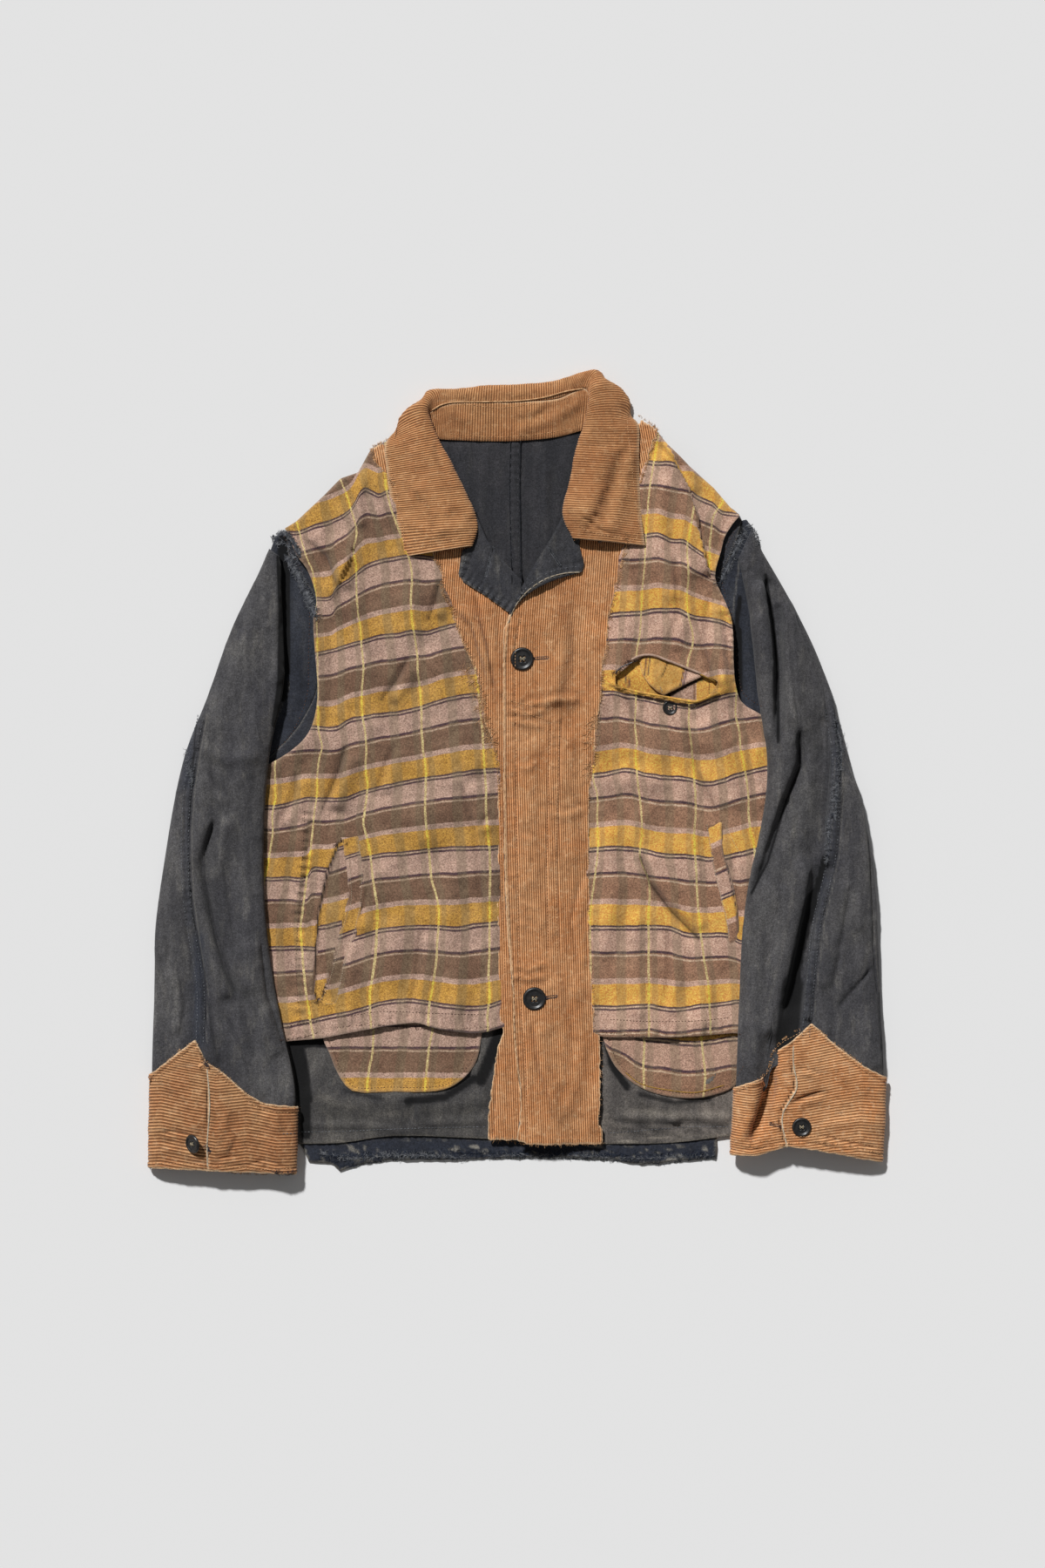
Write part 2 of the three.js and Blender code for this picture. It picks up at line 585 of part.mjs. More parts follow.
// Collar: one folded strip from the left front, round the back of the neck, to the right front. Each
// station lists the cloth's middle from the neck seam, over the roll, to the fall's outer edge
const STAND_TOP = 2.4;
const LEAF_TURN = 7;
const LEAF_STAND = 32;
const LEAF_CURL = 2;
const LEAF_SAG = 1.2;

// A station where the fall lies on the fronts: the stand is folded flat beneath it
function leaf(roll, edge, under, top, tip) {
  const length = Math.hypot(edge[0] - roll[0], edge[1] - roll[1]);
  const at = (distance, z) => [
    roll[0] + (distance * (edge[0] - roll[0])) / length,
    roll[1] + (distance * (edge[1] - roll[1])) / length,
    z,
  ];
  return [
    at(LEAF_STAND, under),
    at(LEAF_TURN + 1, under),
    at(LEAF_CURL, under + 0.7),
    at(0, (under + top) / 2),
    at(LEAF_TURN, top),
    at(length / 2, top - LEAF_SAG),
    [...edge, tip],
  ];
}

const COLLAR = [
  leaf([-46, 225], [-114, 214], 10.5, 17, 9.5),
  leaf([-41, 245], [-119, 241], 9.5, 16.5, 8.5),
  leaf([-53, 278], [-126, 272], 7.6, 15, 7.5),
  leaf([-71, 312], [-130, 303], 7.2, 14.5, 9),
  leaf([-82, 336], [-131, 324], 7.2, 14.5, 9),
  [[-108, 340, 4.6], [-97, 350, 8.5], [-92, 354, 10.5], [-90, 356, 12.5], [-96, 357, 15],
  [-117, 347, 8], [-119, 339, 1.3]],
  [[-95, 341, 3.6], [-90, 355, 8], [-88, 361, 10.5], [-89, 365, 13], [-93, 367, 14], [-103, 363, 7.5],
  [-101, 344, 1]],
  [[-82, 332, 3], [-80, 362, 7.5], [-81, 371, 9.5], [-84, 377, 9.5], [-89, 378, 6], [-88, 364, 1.4],
  [-85, 342, 0.95]],
  [[-62, 330, 2.8], [-60, 367, 7.5], [-59, 375, 8.4], [-58, 380, 5], [-58, 374, 1.3],
  [-59, 357, 0.95], [-60, 338, 0.95]],
  [[-6, 329, 2.8], [-6, 368, 7.5], [-6, 377, 8.6], [-6, 384, 5], [-6, 377, 1.3], [-6, 358, 0.95],
  [-6, 337, 0.95]],
  [[38, 333, 2.8], [39, 371, 7.5], [39, 380, 8.8], [39, 388, 5], [39, 381, 1.3], [38, 362, 0.95],
  [38, 342, 0.95]],
  [[62, 339, 3], [66, 381, 8], [70, 391, 10], [76, 397, 9.5], [81, 395, 5.5], [79, 376, 1.4],
  [74, 351, 0.95]],
  [[76, 342, 3.6], [72, 370, 8], [72, 378, 11], [74, 384, 13.5], [81, 386, 14.5], [96, 383, 8],
  [91, 353, 1]],
  [[86, 344, 4.8], [74, 356, 8.5], [71, 361, 10.5], [70, 364, 12.5], [77, 368, 15], [109, 367, 8.5],
  [109, 352, 1.3]],
  leaf([66, 345], [118, 345], 7.2, 14.5, 9),
  leaf([57, 316], [119, 312], 7.2, 14.5, 9),
  leaf([50, 282], [120, 278], 8, 15, 8),
  leaf([45, 256], [122, 250], 11, 18, 9),
  leaf([54, 232], [125, 225], 12.5, 19, 10),
];
const COLLAR_STEPS = 30;

// The strip's middle at even steps along it, between two of the points listed at each station
function strip(first, last, across) {
  const lengthwise = COLLAR[0].map((_, j) => curveOf(COLLAR.map((station) => station[j])));
  return Array.from({ length: COLLAR_STEPS + 1 }, (_, i) => {
    const points = lengthwise.slice(first, last + 1).map((line) => line.getPoint(i / COLLAR_STEPS).toArray());
    const curve = curveOf(points);
    const row = Array.from({ length: across + 1 }, (_, k) => curve.getPoint(k / across));
    row.forEach((point) => point.setZ(Math.max(point.z, CORDUROY / 2)));
    return row;
  });
}

// Give a strip its wall, half on each side of its middle
function walled(rows, wall) {
  const offset = (distance) =>
    rows.map((row, r) =>
      row.map((point, k) => {
        const along = rows[Math.min(rows.length - 1, r + 1)][k].clone().sub(rows[Math.max(0, r - 1)][k]);
        const across = row[Math.min(row.length - 1, k + 1)].clone().sub(row[Math.max(0, k - 1)]);
        return point.clone().addScaledVector(along.cross(across).normalize(), distance).toArray();
      }),
    );
  return facingOut(sheetBetween(offset(-wall / 2), offset(wall / 2)));
}

// Draw the last point of each row back, for the seam between two lengths of cloth
function drawnBack(rows, distance) {
  return rows.map((row) => {
    const end = row.at(-1);
    const inward = row.at(-2).clone().sub(end).normalize();
    return [...row.slice(0, -1), end.clone().addScaledVector(inward, distance)];
  });
}

add("collar_stand", walled(drawnBack(strip(0, 1, 3), STAND_TOP), CORDUROY), finish.corduroy);
add("collar_fall", walled(strip(1, 6, 10), CORDUROY), finish.corduroy);

// Buttons: a dished disc with a rim and four holes
const BUTTON_SIDES = 16;
const BUTTON_BASE = 0.5;
const BUTTON_DISH = 1;
const HOLE_SIDES = 6;
const HOLE_RADIUS = 0.11;
const HOLE_OUT = 0.24;

function button(diameter) {
  const radius = diameter / 2;
  const profile = [
    [0, BUTTON_BASE],
    [radius * 0.86, BUTTON_BASE],
    [radius, 1.8],
    [radius * 0.84, BUTTON_THICK],
    [radius * 0.6, BUTTON_THICK - BUTTON_DISH],
    [0, BUTTON_THICK - BUTTON_DISH],
  ];
  const turned = profile.map(([r, z]) => new THREE.Vector2(r, z));
  const disc = facingOut(welded(new THREE.LatheGeometry(turned, BUTTON_SIDES).rotateX(Math.PI / 2)));
  const wide = radius * HOLE_RADIUS;
  const bore = new THREE.CylinderGeometry(wide, wide, 2 * BUTTON_THICK, HOLE_SIDES);
  bore.rotateX(Math.PI / 2).translate(radius * HOLE_OUT, 0, BUTTON_THICK / 2);
  const holes = [1, 3, 5, 7].map((eighth) => toSolid(bore.clone().rotateZ((eighth * Math.PI) / 4)));
  return toGeometry(holes.reduce((solid, hole) => solid.subtract(hole), toSolid(disc)));
}

// The height a button rests at: just clear of the highest cloth under its rim
function seat(top, x, y, radius) {
  const rim = Array.from({ length: 12 }, (_, i) => (Math.PI * i) / 6);
  const heights = rim.map((angle) => top(x + radius * Math.cos(angle), y + radius * Math.sin(angle)));
  return Math.max(top(x, y), ...heights);
}

// The top of a cuff at a point in plan, from the nearest point of a fine section
const FINE_SIDES = 80;
const FAR = 500;
function cuffTopAt(sleeve) {
  return (x, y) => {
    const across = [[-FAR, y], [FAR, y]];
    const along = crossing(sleeve, Math.round(SECTION_SIDES / 4), across);
    const loop = moved(section(sleeve, along, FINE_SIDES), CUFF_GAP + CORDUROY).slice(0, FINE_SIDES / 2 + 1);
    return loop.reduce((best, point) => (Math.abs(point[0] - x) < Math.abs(best[0] - x) ? point : best))[2];
  };
}

const bandTop = (x, y) => bandFloorOver(x, y) + CORDUROY;
const vestTop = (x, y) => vestFloorOver(x, y) + FLANNEL;
const BUTTONS = [
  { name: "button_front_top", at: [4, 113], size: BUTTON_FRONT, top: bandTop },
  { name: "button_front_low", at: [16, -222], size: BUTTON_FRONT, top: bandTop },
  { name: "button_chest", at: [150, 65], size: BUTTON_CHEST, top: vestTop },
  { name: "button_cuff_left", at: [-319, -364], size: BUTTON_CUFF, top: cuffTopAt(SLEEVES.left) },
  { name: "button_cuff_right", at: [279, -348], size: BUTTON_CUFF, top: cuffTopAt(SLEEVES.right) },
];
for (const { name, at, size, top } of BUTTONS) {
  const mesh = add(name, button(size), finish.button);
  mesh.position.set(...at, seat(top, ...at, 0.5 * size) + BUTTON_CLEAR);
}

// Centre the group on its own box, so that the origin is under the middle of the jacket
const box = new THREE.Box3().setFromObject(jacket);
jacket.position.set(-(box.min.x + box.max.x) / 2, -(box.min.y + box.max.y) / 2, -box.min.z);

export default jacket;
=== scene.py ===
"""The looks of a patched work jacket that lies flat on its back.

Lengths are millimetres in plan, with x to the viewer's right and y towards the collar, until a mesh
is made: Workshop.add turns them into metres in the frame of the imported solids.
"""
from __future__ import annotations

import logging
import math
from dataclasses import dataclass, field
from enum import Enum
from typing import Callable, Iterable, Sequence

import bpy
import numpy as np
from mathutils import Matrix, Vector
from mathutils.bvhtree import BVHTree
from mathutils.geometry import delaunay_2d_cdt

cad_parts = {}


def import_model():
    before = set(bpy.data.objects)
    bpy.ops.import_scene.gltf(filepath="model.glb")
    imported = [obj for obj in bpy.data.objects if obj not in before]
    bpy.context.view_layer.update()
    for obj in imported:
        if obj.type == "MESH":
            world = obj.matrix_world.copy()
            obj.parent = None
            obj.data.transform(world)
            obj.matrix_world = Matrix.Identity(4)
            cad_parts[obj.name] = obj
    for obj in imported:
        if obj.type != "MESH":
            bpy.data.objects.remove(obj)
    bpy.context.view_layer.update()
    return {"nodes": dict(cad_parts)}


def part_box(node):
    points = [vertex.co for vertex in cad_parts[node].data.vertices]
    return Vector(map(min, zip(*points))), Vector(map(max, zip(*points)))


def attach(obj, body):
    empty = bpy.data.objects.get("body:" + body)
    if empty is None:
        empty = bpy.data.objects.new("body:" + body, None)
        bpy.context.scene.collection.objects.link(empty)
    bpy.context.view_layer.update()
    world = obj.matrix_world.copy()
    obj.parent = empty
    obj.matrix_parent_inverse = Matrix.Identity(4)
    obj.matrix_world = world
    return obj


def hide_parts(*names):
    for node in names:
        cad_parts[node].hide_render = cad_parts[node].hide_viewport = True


log = logging.getLogger("jacket")

Point = tuple[float, float]
Line = Sequence[Point]
Array = np.ndarray

# Cloth walls and clearances, as the solids have them
TWILL = 1.3
FLANNEL = 1.2
CORDUROY = 1.8
BAG = 2.0
GAP = 0.35
CUFF_GAP = 0.8


def ease(value: Array | float) -> Array:
    """Rise smoothly from 0 to 1 as the value does, and stay level outside that."""
    held = np.clip(value, 0.0, 1.0)
    return held * held * (3.0 - 2.0 * held)


def catmull(points: Array, at: Array) -> Array:
    """Follow a smooth curve through points.

    Args:
        points: The points, along the first axis; further axes are curves side by side.
        at: Places along the curve, from 0 to 1.

    Returns:
        The curve's points, one for each place.
    """
    points = np.asarray(points, float)
    spans = len(points) - 1
    place = np.clip(np.asarray(at, float), 0.0, 1.0) * spans
    first = np.minimum(place.astype(int), spans - 1)
    first_end = 2 * points[:1] - points[1:2]
    last_end = 2 * points[-1:] - points[-2:-1]
    held = np.concatenate([first_end, points, last_end])
    p0, p1, p2, p3 = (held[first + k] for k in range(4))

    def knot(a: Array, b: Array) -> Array:
        """The centripetal distance between two points."""
        return np.maximum(np.sqrt(np.linalg.norm(b - a, axis=-1, keepdims=True)), 1e-4)

    d0, d1, d2 = knot(p0, p1), knot(p1, p2), knot(p2, p3)
    start = ((p1 - p0) / d0 - (p2 - p0) / (d0 + d1) + (p2 - p1) / d1) * d1
    end = ((p2 - p1) / d1 - (p3 - p1) / (d1 + d2) + (p3 - p2) / d2) * d1
    t = (place - first).reshape([-1] + [1] * (points.ndim - 1))
    return (
        p1
        + start * t
        + (-3 * p1 + 3 * p2 - 2 * start - end) * t**2
        + (2 * p1 - 2 * p2 + start + end) * t**3
    )


def smooth(points: Line, per_span: int = 3) -> list[Point]:
    """A smooth open line through given points.

    Args:
        points: The points that the line goes through.
        per_span: How many steps each span is cut into.

    Returns:
        The line's points.
    """
    steps = (len(points) - 1) * per_span
    return [tuple(p) for p in catmull(np.array(points, float), np.linspace(0, 1, steps + 1)).tolist()]


def drawn(text: str) -> list[tuple[float, ...]]:
    """The places that a text such as "12,40 15,38.5" lists."""
    return [tuple(float(value) for value in place.split(",")) for place in text.split()]


def curve(text: str) -> list[Point]:
    """A smooth open line through the places that a text lists."""
    return smooth(drawn(text))


def beside(line: Line, distance: float) -> list[Point]:
    """A line moved sideways, to its left as it runs.

    Args:
        line: The line to follow.
        distance: How far to its left the new one lies.

    Returns:
        The new line's points.
    """
    points = np.array(line, float)
    run = np.vstack([points[1:2] - points[:1], points[2:] - points[:-2], points[-1:] - points[-2:-1]])
    run /= np.linalg.norm(run, axis=1, keepdims=True)
    moved = points + distance * np.column_stack([-run[:, 1], run[:, 0]])
    return [tuple(p) for p in moved.tolist()]


def spaced(line: Line, step: float, closed: bool = False) -> Array:
    """A line's points again, at even steps along it.

    Args:
        line: The line's points.
        step: About how far apart the new points lie.
        closed: Whether the line ends where it starts.

    Returns:
        The new points; a closed line doesn't repeat its first.
    """
    points = np.array([*line, line[0]] if closed else line, float)
    run = np.concatenate([[0.0], np.cumsum(np.linalg.norm(np.diff(points, axis=0), axis=1))])
    count = max(3 if closed else 1, round(run[-1] / step))
    at = np.linspace(0, run[-1], count + 1)[: count if closed else None]
    return np.column_stack([np.interp(at, run, points[:, k]) for k in range(points.shape[1])])


def trace(line: Line, x: Array, y: Array) -> tuple[Array, Array]:
    """Where points lie against a line.

    Args:
        line: The line's points.
        x: Places in plan.
        y: Places in plan.

    Returns:
        The distance to the line, below zero on its right, and the way along it.
    """
    nearest = np.full(np.shape(x), np.inf)
    signed = np.zeros(np.shape(x))
    along = np.zeros(np.shape(x))
    gone = 0.0
    for (ax, ay), (bx, by) in zip(line[:-1], line[1:]):
        length = max(math.hypot(bx - ax, by - ay), 1e-9)
        ux, uy = (bx - ax) / length, (by - ay) / length
        t = np.clip((x - ax) * ux + (y - ay) * uy, 0, length)
        away = np.hypot(x - ax - t * ux, y - ay - t * uy)
        side = np.where(ux * (y - ay) - uy * (x - ax) < 0, -1.0, 1.0)
        closer = away < nearest
        nearest = np.where(closer, away, nearest)
        signed = np.where(closer, away * side, signed)
        along = np.where(closer, gone + t, along)
        gone += length
    return signed, along


def inside(outline: Array, x: Array, y: Array) -> Array:
    """Whether points lie inside a closed outline."""
    odd = np.zeros(np.shape(x), bool)
    for (ax, ay), (bx, by) in zip(outline, np.roll(outline, -1, axis=0)):
        if ay == by:
            continue
        crosses = (ay > y) != (by > y)
        odd ^= crosses & (x < (bx - ax) * (y - ay) / (by - ay) + ax)
    return odd


class Ripple:
    """Smooth seeded unevenness over the plane, from about -1 to 1."""

    SIZE = 97

    def __init__(self, seed: int) -> None:
        """Draw the values at the corners of the plane's cells."""
        self.values = np.random.default_rng(seed).uniform(-1, 1, (self.SIZE, self.SIZE))

    def at(self, x: Array, y: Array, wide: float, long: float | None = None) -> Array:
        """The unevenness at places in plan.

        Args:
            x: Places in plan.
            y: Places in plan.
            wide: The size of its humps along x.
            long: Their size along y, if it is another.

        Returns:
            One value for each place.
        """
        u, v = np.asarray(x) / wide + 31.7, np.asarray(y) / (long or wide) + 17.3
        i, j = np.floor(u).astype(int), np.floor(v).astype(int)
        s, t = ease(u - i), ease(v - j)
        n = self.SIZE
        low = self.values[i % n, j % n] * (1 - s) + self.values[(i + 1) % n, j % n] * s
        high = self.values[i % n, (j + 1) % n] * (1 - s) + self.values[(i + 1) % n, (j + 1) % n] * s
        return low * (1 - t) + high * t

    def cloth(self, x: Array, y: Array, wide: float, long: float | None = None) -> Array:
        """The soft swells and small wrinkles of washed cloth, from about -1 to 1.

        Args:
            x: Places in plan.
            y: Places in plan.
            wide: The size of the largest swells along x.
            long: Their size along y, if it is another.

        Returns:
            One value for each place.
        """
        tall = long or wide
        bent = x + 0.35 * wide * self.at(y, x, tall * 1.3)
        swell = self.at(bent, y, wide, tall)
        sharp = 1 - 2 * np.abs(self.at(bent + 0.3 * y, y - 0.2 * x, wide * 0.62, tall * 0.62))
        small = self.at(y - 0.3 * x, x, wide * 0.3)
        fine = self.at(x, y, wide * 0.13)
        return 0.62 * swell + 0.3 * np.maximum(sharp, 0) ** 2 + 0.2 * small + 0.07 * fine


@dataclass(frozen=True)
class Fold:
    """A soft ridge that follows a line, or a trough where it is below zero."""

    line: Line
    wide: float
    high: float

    def at(self, x: Array, y: Array) -> Array:
        """Its height at places in plan."""
        away, _ = trace(self.line, x, y)
        return self.high * np.exp(-((away / self.wide) ** 2))


@dataclass(frozen=True)
class Step:
    """Cloth folded over along a line: it rises sharply on the line's left and falls off slowly."""

    line: Line
    high: float
    sharp: float = 1.2
    wide: float = 14.0

    def at(self, x: Array, y: Array) -> Array:
        """Its height at places in plan."""
        away, along = trace(self.line, x, y)
        length = sum(math.dist(a, b) for a, b in zip(self.line[:-1], self.line[1:]))
        ends = ease(along / 12) * ease((length - along) / 12)
        return self.high * ends * ease(away / self.sharp + 0.5) * np.exp(-np.maximum(away, 0) / self.wide)


@dataclass(frozen=True)
class Crease:
    """A sharp fold line, where the cloth dips and then swells on the line's left."""

    line: Line
    deep: float
    swell: float = 1.0
    wide: float = 7.0
    sharp: float = 1.8

    def at(self, x: Array, y: Array) -> Array:
        """Its height at places in plan."""
        away, along = trace(self.line, x, y)
        length = sum(math.dist(a, b) for a, b in zip(self.line[:-1], self.line[1:]))
        ends = ease(along / 10) * ease((length - along) / 10)
        hump = self.swell * np.exp(-(((away - self.wide) / self.wide) ** 2))
        return ends * (hump - self.deep * np.exp(-np.abs(away) / self.sharp))


@dataclass(frozen=True)
class Pucker:
    """The small ripples that a sewn seam draws up on both of its sides."""

    line: Line
    wide: float = 5.0
    pitch: float = 6.0
    high: float = 0.45
    seed: int = 3

    def at(self, x: Array, y: Array) -> Array:
        """Its height at places in plan."""
        away, along = trace(self.line, x, y)
        uneven = 1 + 0.5 * Ripple(self.seed).at(along, away * 0, 17)
        wave = np.cos(2 * math.pi * along / self.pitch + 1.5 * Ripple(self.seed + 1).at(along, away * 0, 9))
        return self.high * uneven * wave * np.exp(-((away / self.wide) ** 2))


Form = Fold | Step | Crease | Pucker


def relief(forms: Iterable[Form], x: Array, y: Array) -> Array:
    """The heights of several folds together at places in plan."""
    return sum((form.at(x, y) for form in forms), np.zeros(np.shape(x)))


# How deep a fold must be to get painted shade, and how deep one is whose painted shade is darkest, in
# millimetres
SHALLOW = 1.3
DEEP = 4


def painted_fold_shade(forms: Iterable[Form], x: Array, y: Array, most: float = 0.58) -> Array:
    """How dark the painted shade in the depths of folds is, from 0 to 1."""
    dark = np.zeros(np.shape(x))
    for form in forms:
        deep = form.deep if isinstance(form, Crease) else -form.high if isinstance(form, Fold) else 0.0
        if deep > SHALLOW:
            away, _ = trace(form.line, x, y)
            wide = 1.4 * form.sharp if isinstance(form, Crease) else 0.55 * form.wide
            dark = np.maximum(dark, min(1.0, deep / DEEP) * most * np.exp(-((away / wide) ** 2)))
    return dark


# Cutting lines, in plan: the ends of the shoulders, the armhole seams, the sides and the neck
SHOULDER_LEFT = drawn("-130,328 -145,321 -158,297 -175,291 -191,275 -219,249 -230,242")
SHOULDER_RIGHT = drawn("137,338 148,324 169,303 193,282 210,262 219,255")
SEAM_LEFT = drawn("-229,238 -226,212 -214,194 -202,177 -192,148 -196,95 -216,48 -256,6")
SEAM_RIGHT = drawn("221,250 214,226 205,206 196,188 190,150 199,92 224,62 248,50")
SIDE_LEFT = drawn("-257,2 -262,-100 -252,-250 -230,-361")
SIDE_RIGHT = drawn("250,46 253,-10 246,-70 235,-140 229,-230 225,-300 219,-361")
ROLL_LEFT = drawn("-41,255 -31,231 -22,218 -8,203 3,191 27,166")
ROLL_RIGHT = drawn("-8,160 4,184 20,212 32,231 45,256")
NECK_FRONT_LEFT = drawn("-112,326 -94,330 -74,312 -54,282")
NECK_FRONT_RIGHT = drawn("58,282 66,315 78,337 100,340")
EDGE_FRONT = drawn("-14,126 -14,7 -12,-131 -5,-218 -3,-268 3,-326 -1,-361")
UNDER_EDGE = 27

CUTS: dict[str, list[Point]] = {
    "back": curve("-79,333 -4,332 36,336 64,343") + curve("82,344 102,341 122,338") + SHOULDER_RIGHT
        + curve("212,225 204,180 204,120 224,68 250,46")
        + curve("253,-10 246,-70 235,-140 227,-280 197,-345") + drawn("196,-381 150,-383 130,-387 "
            "112,-386 96,-381 56,-380 4,-380 -54,-382 -125,-382 -160,-387 -176,-393 -184,-386 "
            "-207,-384") + curve("-226,-340 -252,-250 -262,-100 -257,2")
        + curve("-256,6 -220,44 -204,95 -206,160 -229,238") + SHOULDER_LEFT[::-1]
        + curve("-128,322 -112,329 -95,334"),
    "front_left": NECK_FRONT_LEFT + ROLL_LEFT + [(UNDER_EDGE, -362)]
        + curve("-30,-361 -125,-358 -175,-365 -229,-366") + smooth(SIDE_LEFT[::-1])
        + smooth(SEAM_LEFT[::-1]) + SHOULDER_LEFT[::-1],
    "front_right": smooth(ROLL_RIGHT) + NECK_FRONT_RIGHT + SHOULDER_RIGHT + smooth(SEAM_RIGHT)
        + smooth(SIDE_RIGHT) + curve("209,-358 150,-365 83,-366") + smooth(EDGE_FRONT[::-1]),
    "vest_left": SHOULDER_LEFT[::-1]
        + drawn("-112,316 -98,290 -86,240 -64,200 -46,140 -26,80 -12,20 -8,-60")
        + curve("-10,-249 -38,-256 -65,-254 -86,-250 -98,-246 -124,-248 -168,-256 -193,-261 -226,-264 "
            "-244,-266") + curve("-252,-200 -262,-100 -257,2") + curve("-248,8 -229,19 -213,32 -204,46 "
            "-198,76 -200,115 -202,153 -199,169 -202,186 -209,203 -218,215 -224,229"),
    "vest_right": drawn("60,40 64,120 74,190 84,232 92,262 98,300 106,328") + SHOULDER_RIGHT
        + curve("212,247 204,234 200,219 194,194 203,172 211,150 213,96 220,71 240,58")
        + curve("250,46 253,-10 246,-70 235,-140 229,-257")
        + curve("212,-256 156,-260 121,-260 89,-260 80,-259 60,-252"),
    "band_left": drawn("-56,262") + ROLL_LEFT + [(UNDER_EDGE, -363)] + drawn("-30,-361")
        + curve("-29,-339 -27,-319 -20,-273 -14,-254") + curve("-20,-238 -20,0")
        + drawn("-25,31 -33,52 -38,86 -43,104 -55,131 -62,149 -69,168 -76,180 -76,199 -83,212 -90,240"),
    "band_right": smooth([*EDGE_FRONT[::-1], (-13, 144), *ROLL_RIGHT])
        + drawn("60,264 107,238 105,222 98,190 94,173 89,152 87,119 83,108 81,71 76,38 75,7 70,-18 "
            "70,-131 71,-183 75,-236 74,-252 80,-258 81,-319 79,-347 83,-351 83,-366 40,-366 8,-365"),
    "lapel_left": drawn("-45,224 -55,221 -59,196 -54,189 -31,175 -9,159 2,166 8,179 3,191 -8,202 "
            "-22,218 -31,231 -41,254 -50,250"),
    "lapel_right": smooth([*ROLL_RIGHT[::-1], (-8, 158)]) + curve("-1,167 10,177 27,187 45,194 63,199")
        + drawn("65,206 60,226 62,244 54,258"),
    "under_sleeve_left": beside(smooth(SEAM_LEFT), -GAP)
        + drawn("-256,14 -250,60 -247,110 -247,170 -247,214 -241,231 -234,240"),
    "under_sleeve_right": beside(smooth(SEAM_RIGHT), GAP)
        + drawn("255,50 250,90 246,130 240,180 238,214 233,238 226,251"),
    "shoulder_patch_left": drawn("-146,321 -133,327 -122,316 -108,284 -120,284 -133,297 -141,307"),
    "shoulder_patch_right": drawn("121,349 134,342 138,337 131,321 126,304 120,288 108,292 112,335"),
    "bag_left": drawn("-196,-222") + curve("-192,-264 -186,-277 -178,-296 -164,-313 -124,-314 -87,-314 "
            "-68,-310 -52,-299 -41,-283 -36,-256") + drawn("-34,-222"),
    "bag_right": drawn("82,-222") + curve("84,-261 87,-271 96,-289 109,-302 128,-313 152,-319 176,-320 "
            "194,-317 214,-309 226,-290") + drawn("230,-222"),
    "welt_left": curve("-175,-63 -168,-105 -175,-152 -190,-204 -197,-226")
        + curve("-180,-228 -169,-190 -158,-150 -153,-98 -157,-61"),
    "welt_right": curve("185,-52 188,-69 197,-110 206,-148 208,-169")
        + curve("216,-164 218,-152 214,-119 207,-92 203,-82 201,-48"),
    "chest_mouth": curve("96,96 124,116 147,111 184,96 197,90 182,73 160,74 141,77 96,86"),
    "chest_bag": drawn("90,118 204,118 204,30 90,30"),
}


# The photograph's size and the place of the jacket's origin in it, in pixels, and a pixel's size here
PHOTO_SIZE = (1200, 1800)
PHOTO_X = 595.0
PHOTO_Y = 888.0
PIXEL = 0.86
METRE = 1000


def mark(text: str) -> list[Point]:
    """Turn places marked on the photograph, listed in its pixels, into plan places."""
    return [((px - PHOTO_X) * PIXEL, (PHOTO_Y - py) * PIXEL) for px, py in drawn(text)]


def photo(x: Array, y: Array) -> tuple[Array, Array]:
    """Plan places as places on the photograph, in its pixels."""
    return x / PIXEL + PHOTO_X, PHOTO_Y - y / PIXEL


# How many columns of points each wale of the corduroy has
COLUMNS = 4


def wales(phase: Array, high: float) -> Array:
    """How far corduroy's pile rises, by the place in its wale from 0 to 1, for wales of a height."""
    return high * (np.abs(np.cos(math.pi * phase)) ** 0.7 - 0.6)


def triangles_of(rows: int, columns: int, closed: bool = False) -> Array:
    """The triangles of a grid of points, row by row.

    Args:
        rows: How many rows there are.
        columns: How many points each has.
        closed: Whether a row's last point joins its first.

    Returns:
        Three point numbers for each triangle.
    """
    r, c = np.meshgrid(np.arange(rows - 1), np.arange(columns if closed else columns - 1), indexing="ij")
    a, b = r * columns + c, r * columns + (c + 1) % columns
    d, e = a + columns, b + columns
    return np.concatenate([np.stack([a, b, e], -1), np.stack([a, e, d], -1)]).reshape(-1, 3)


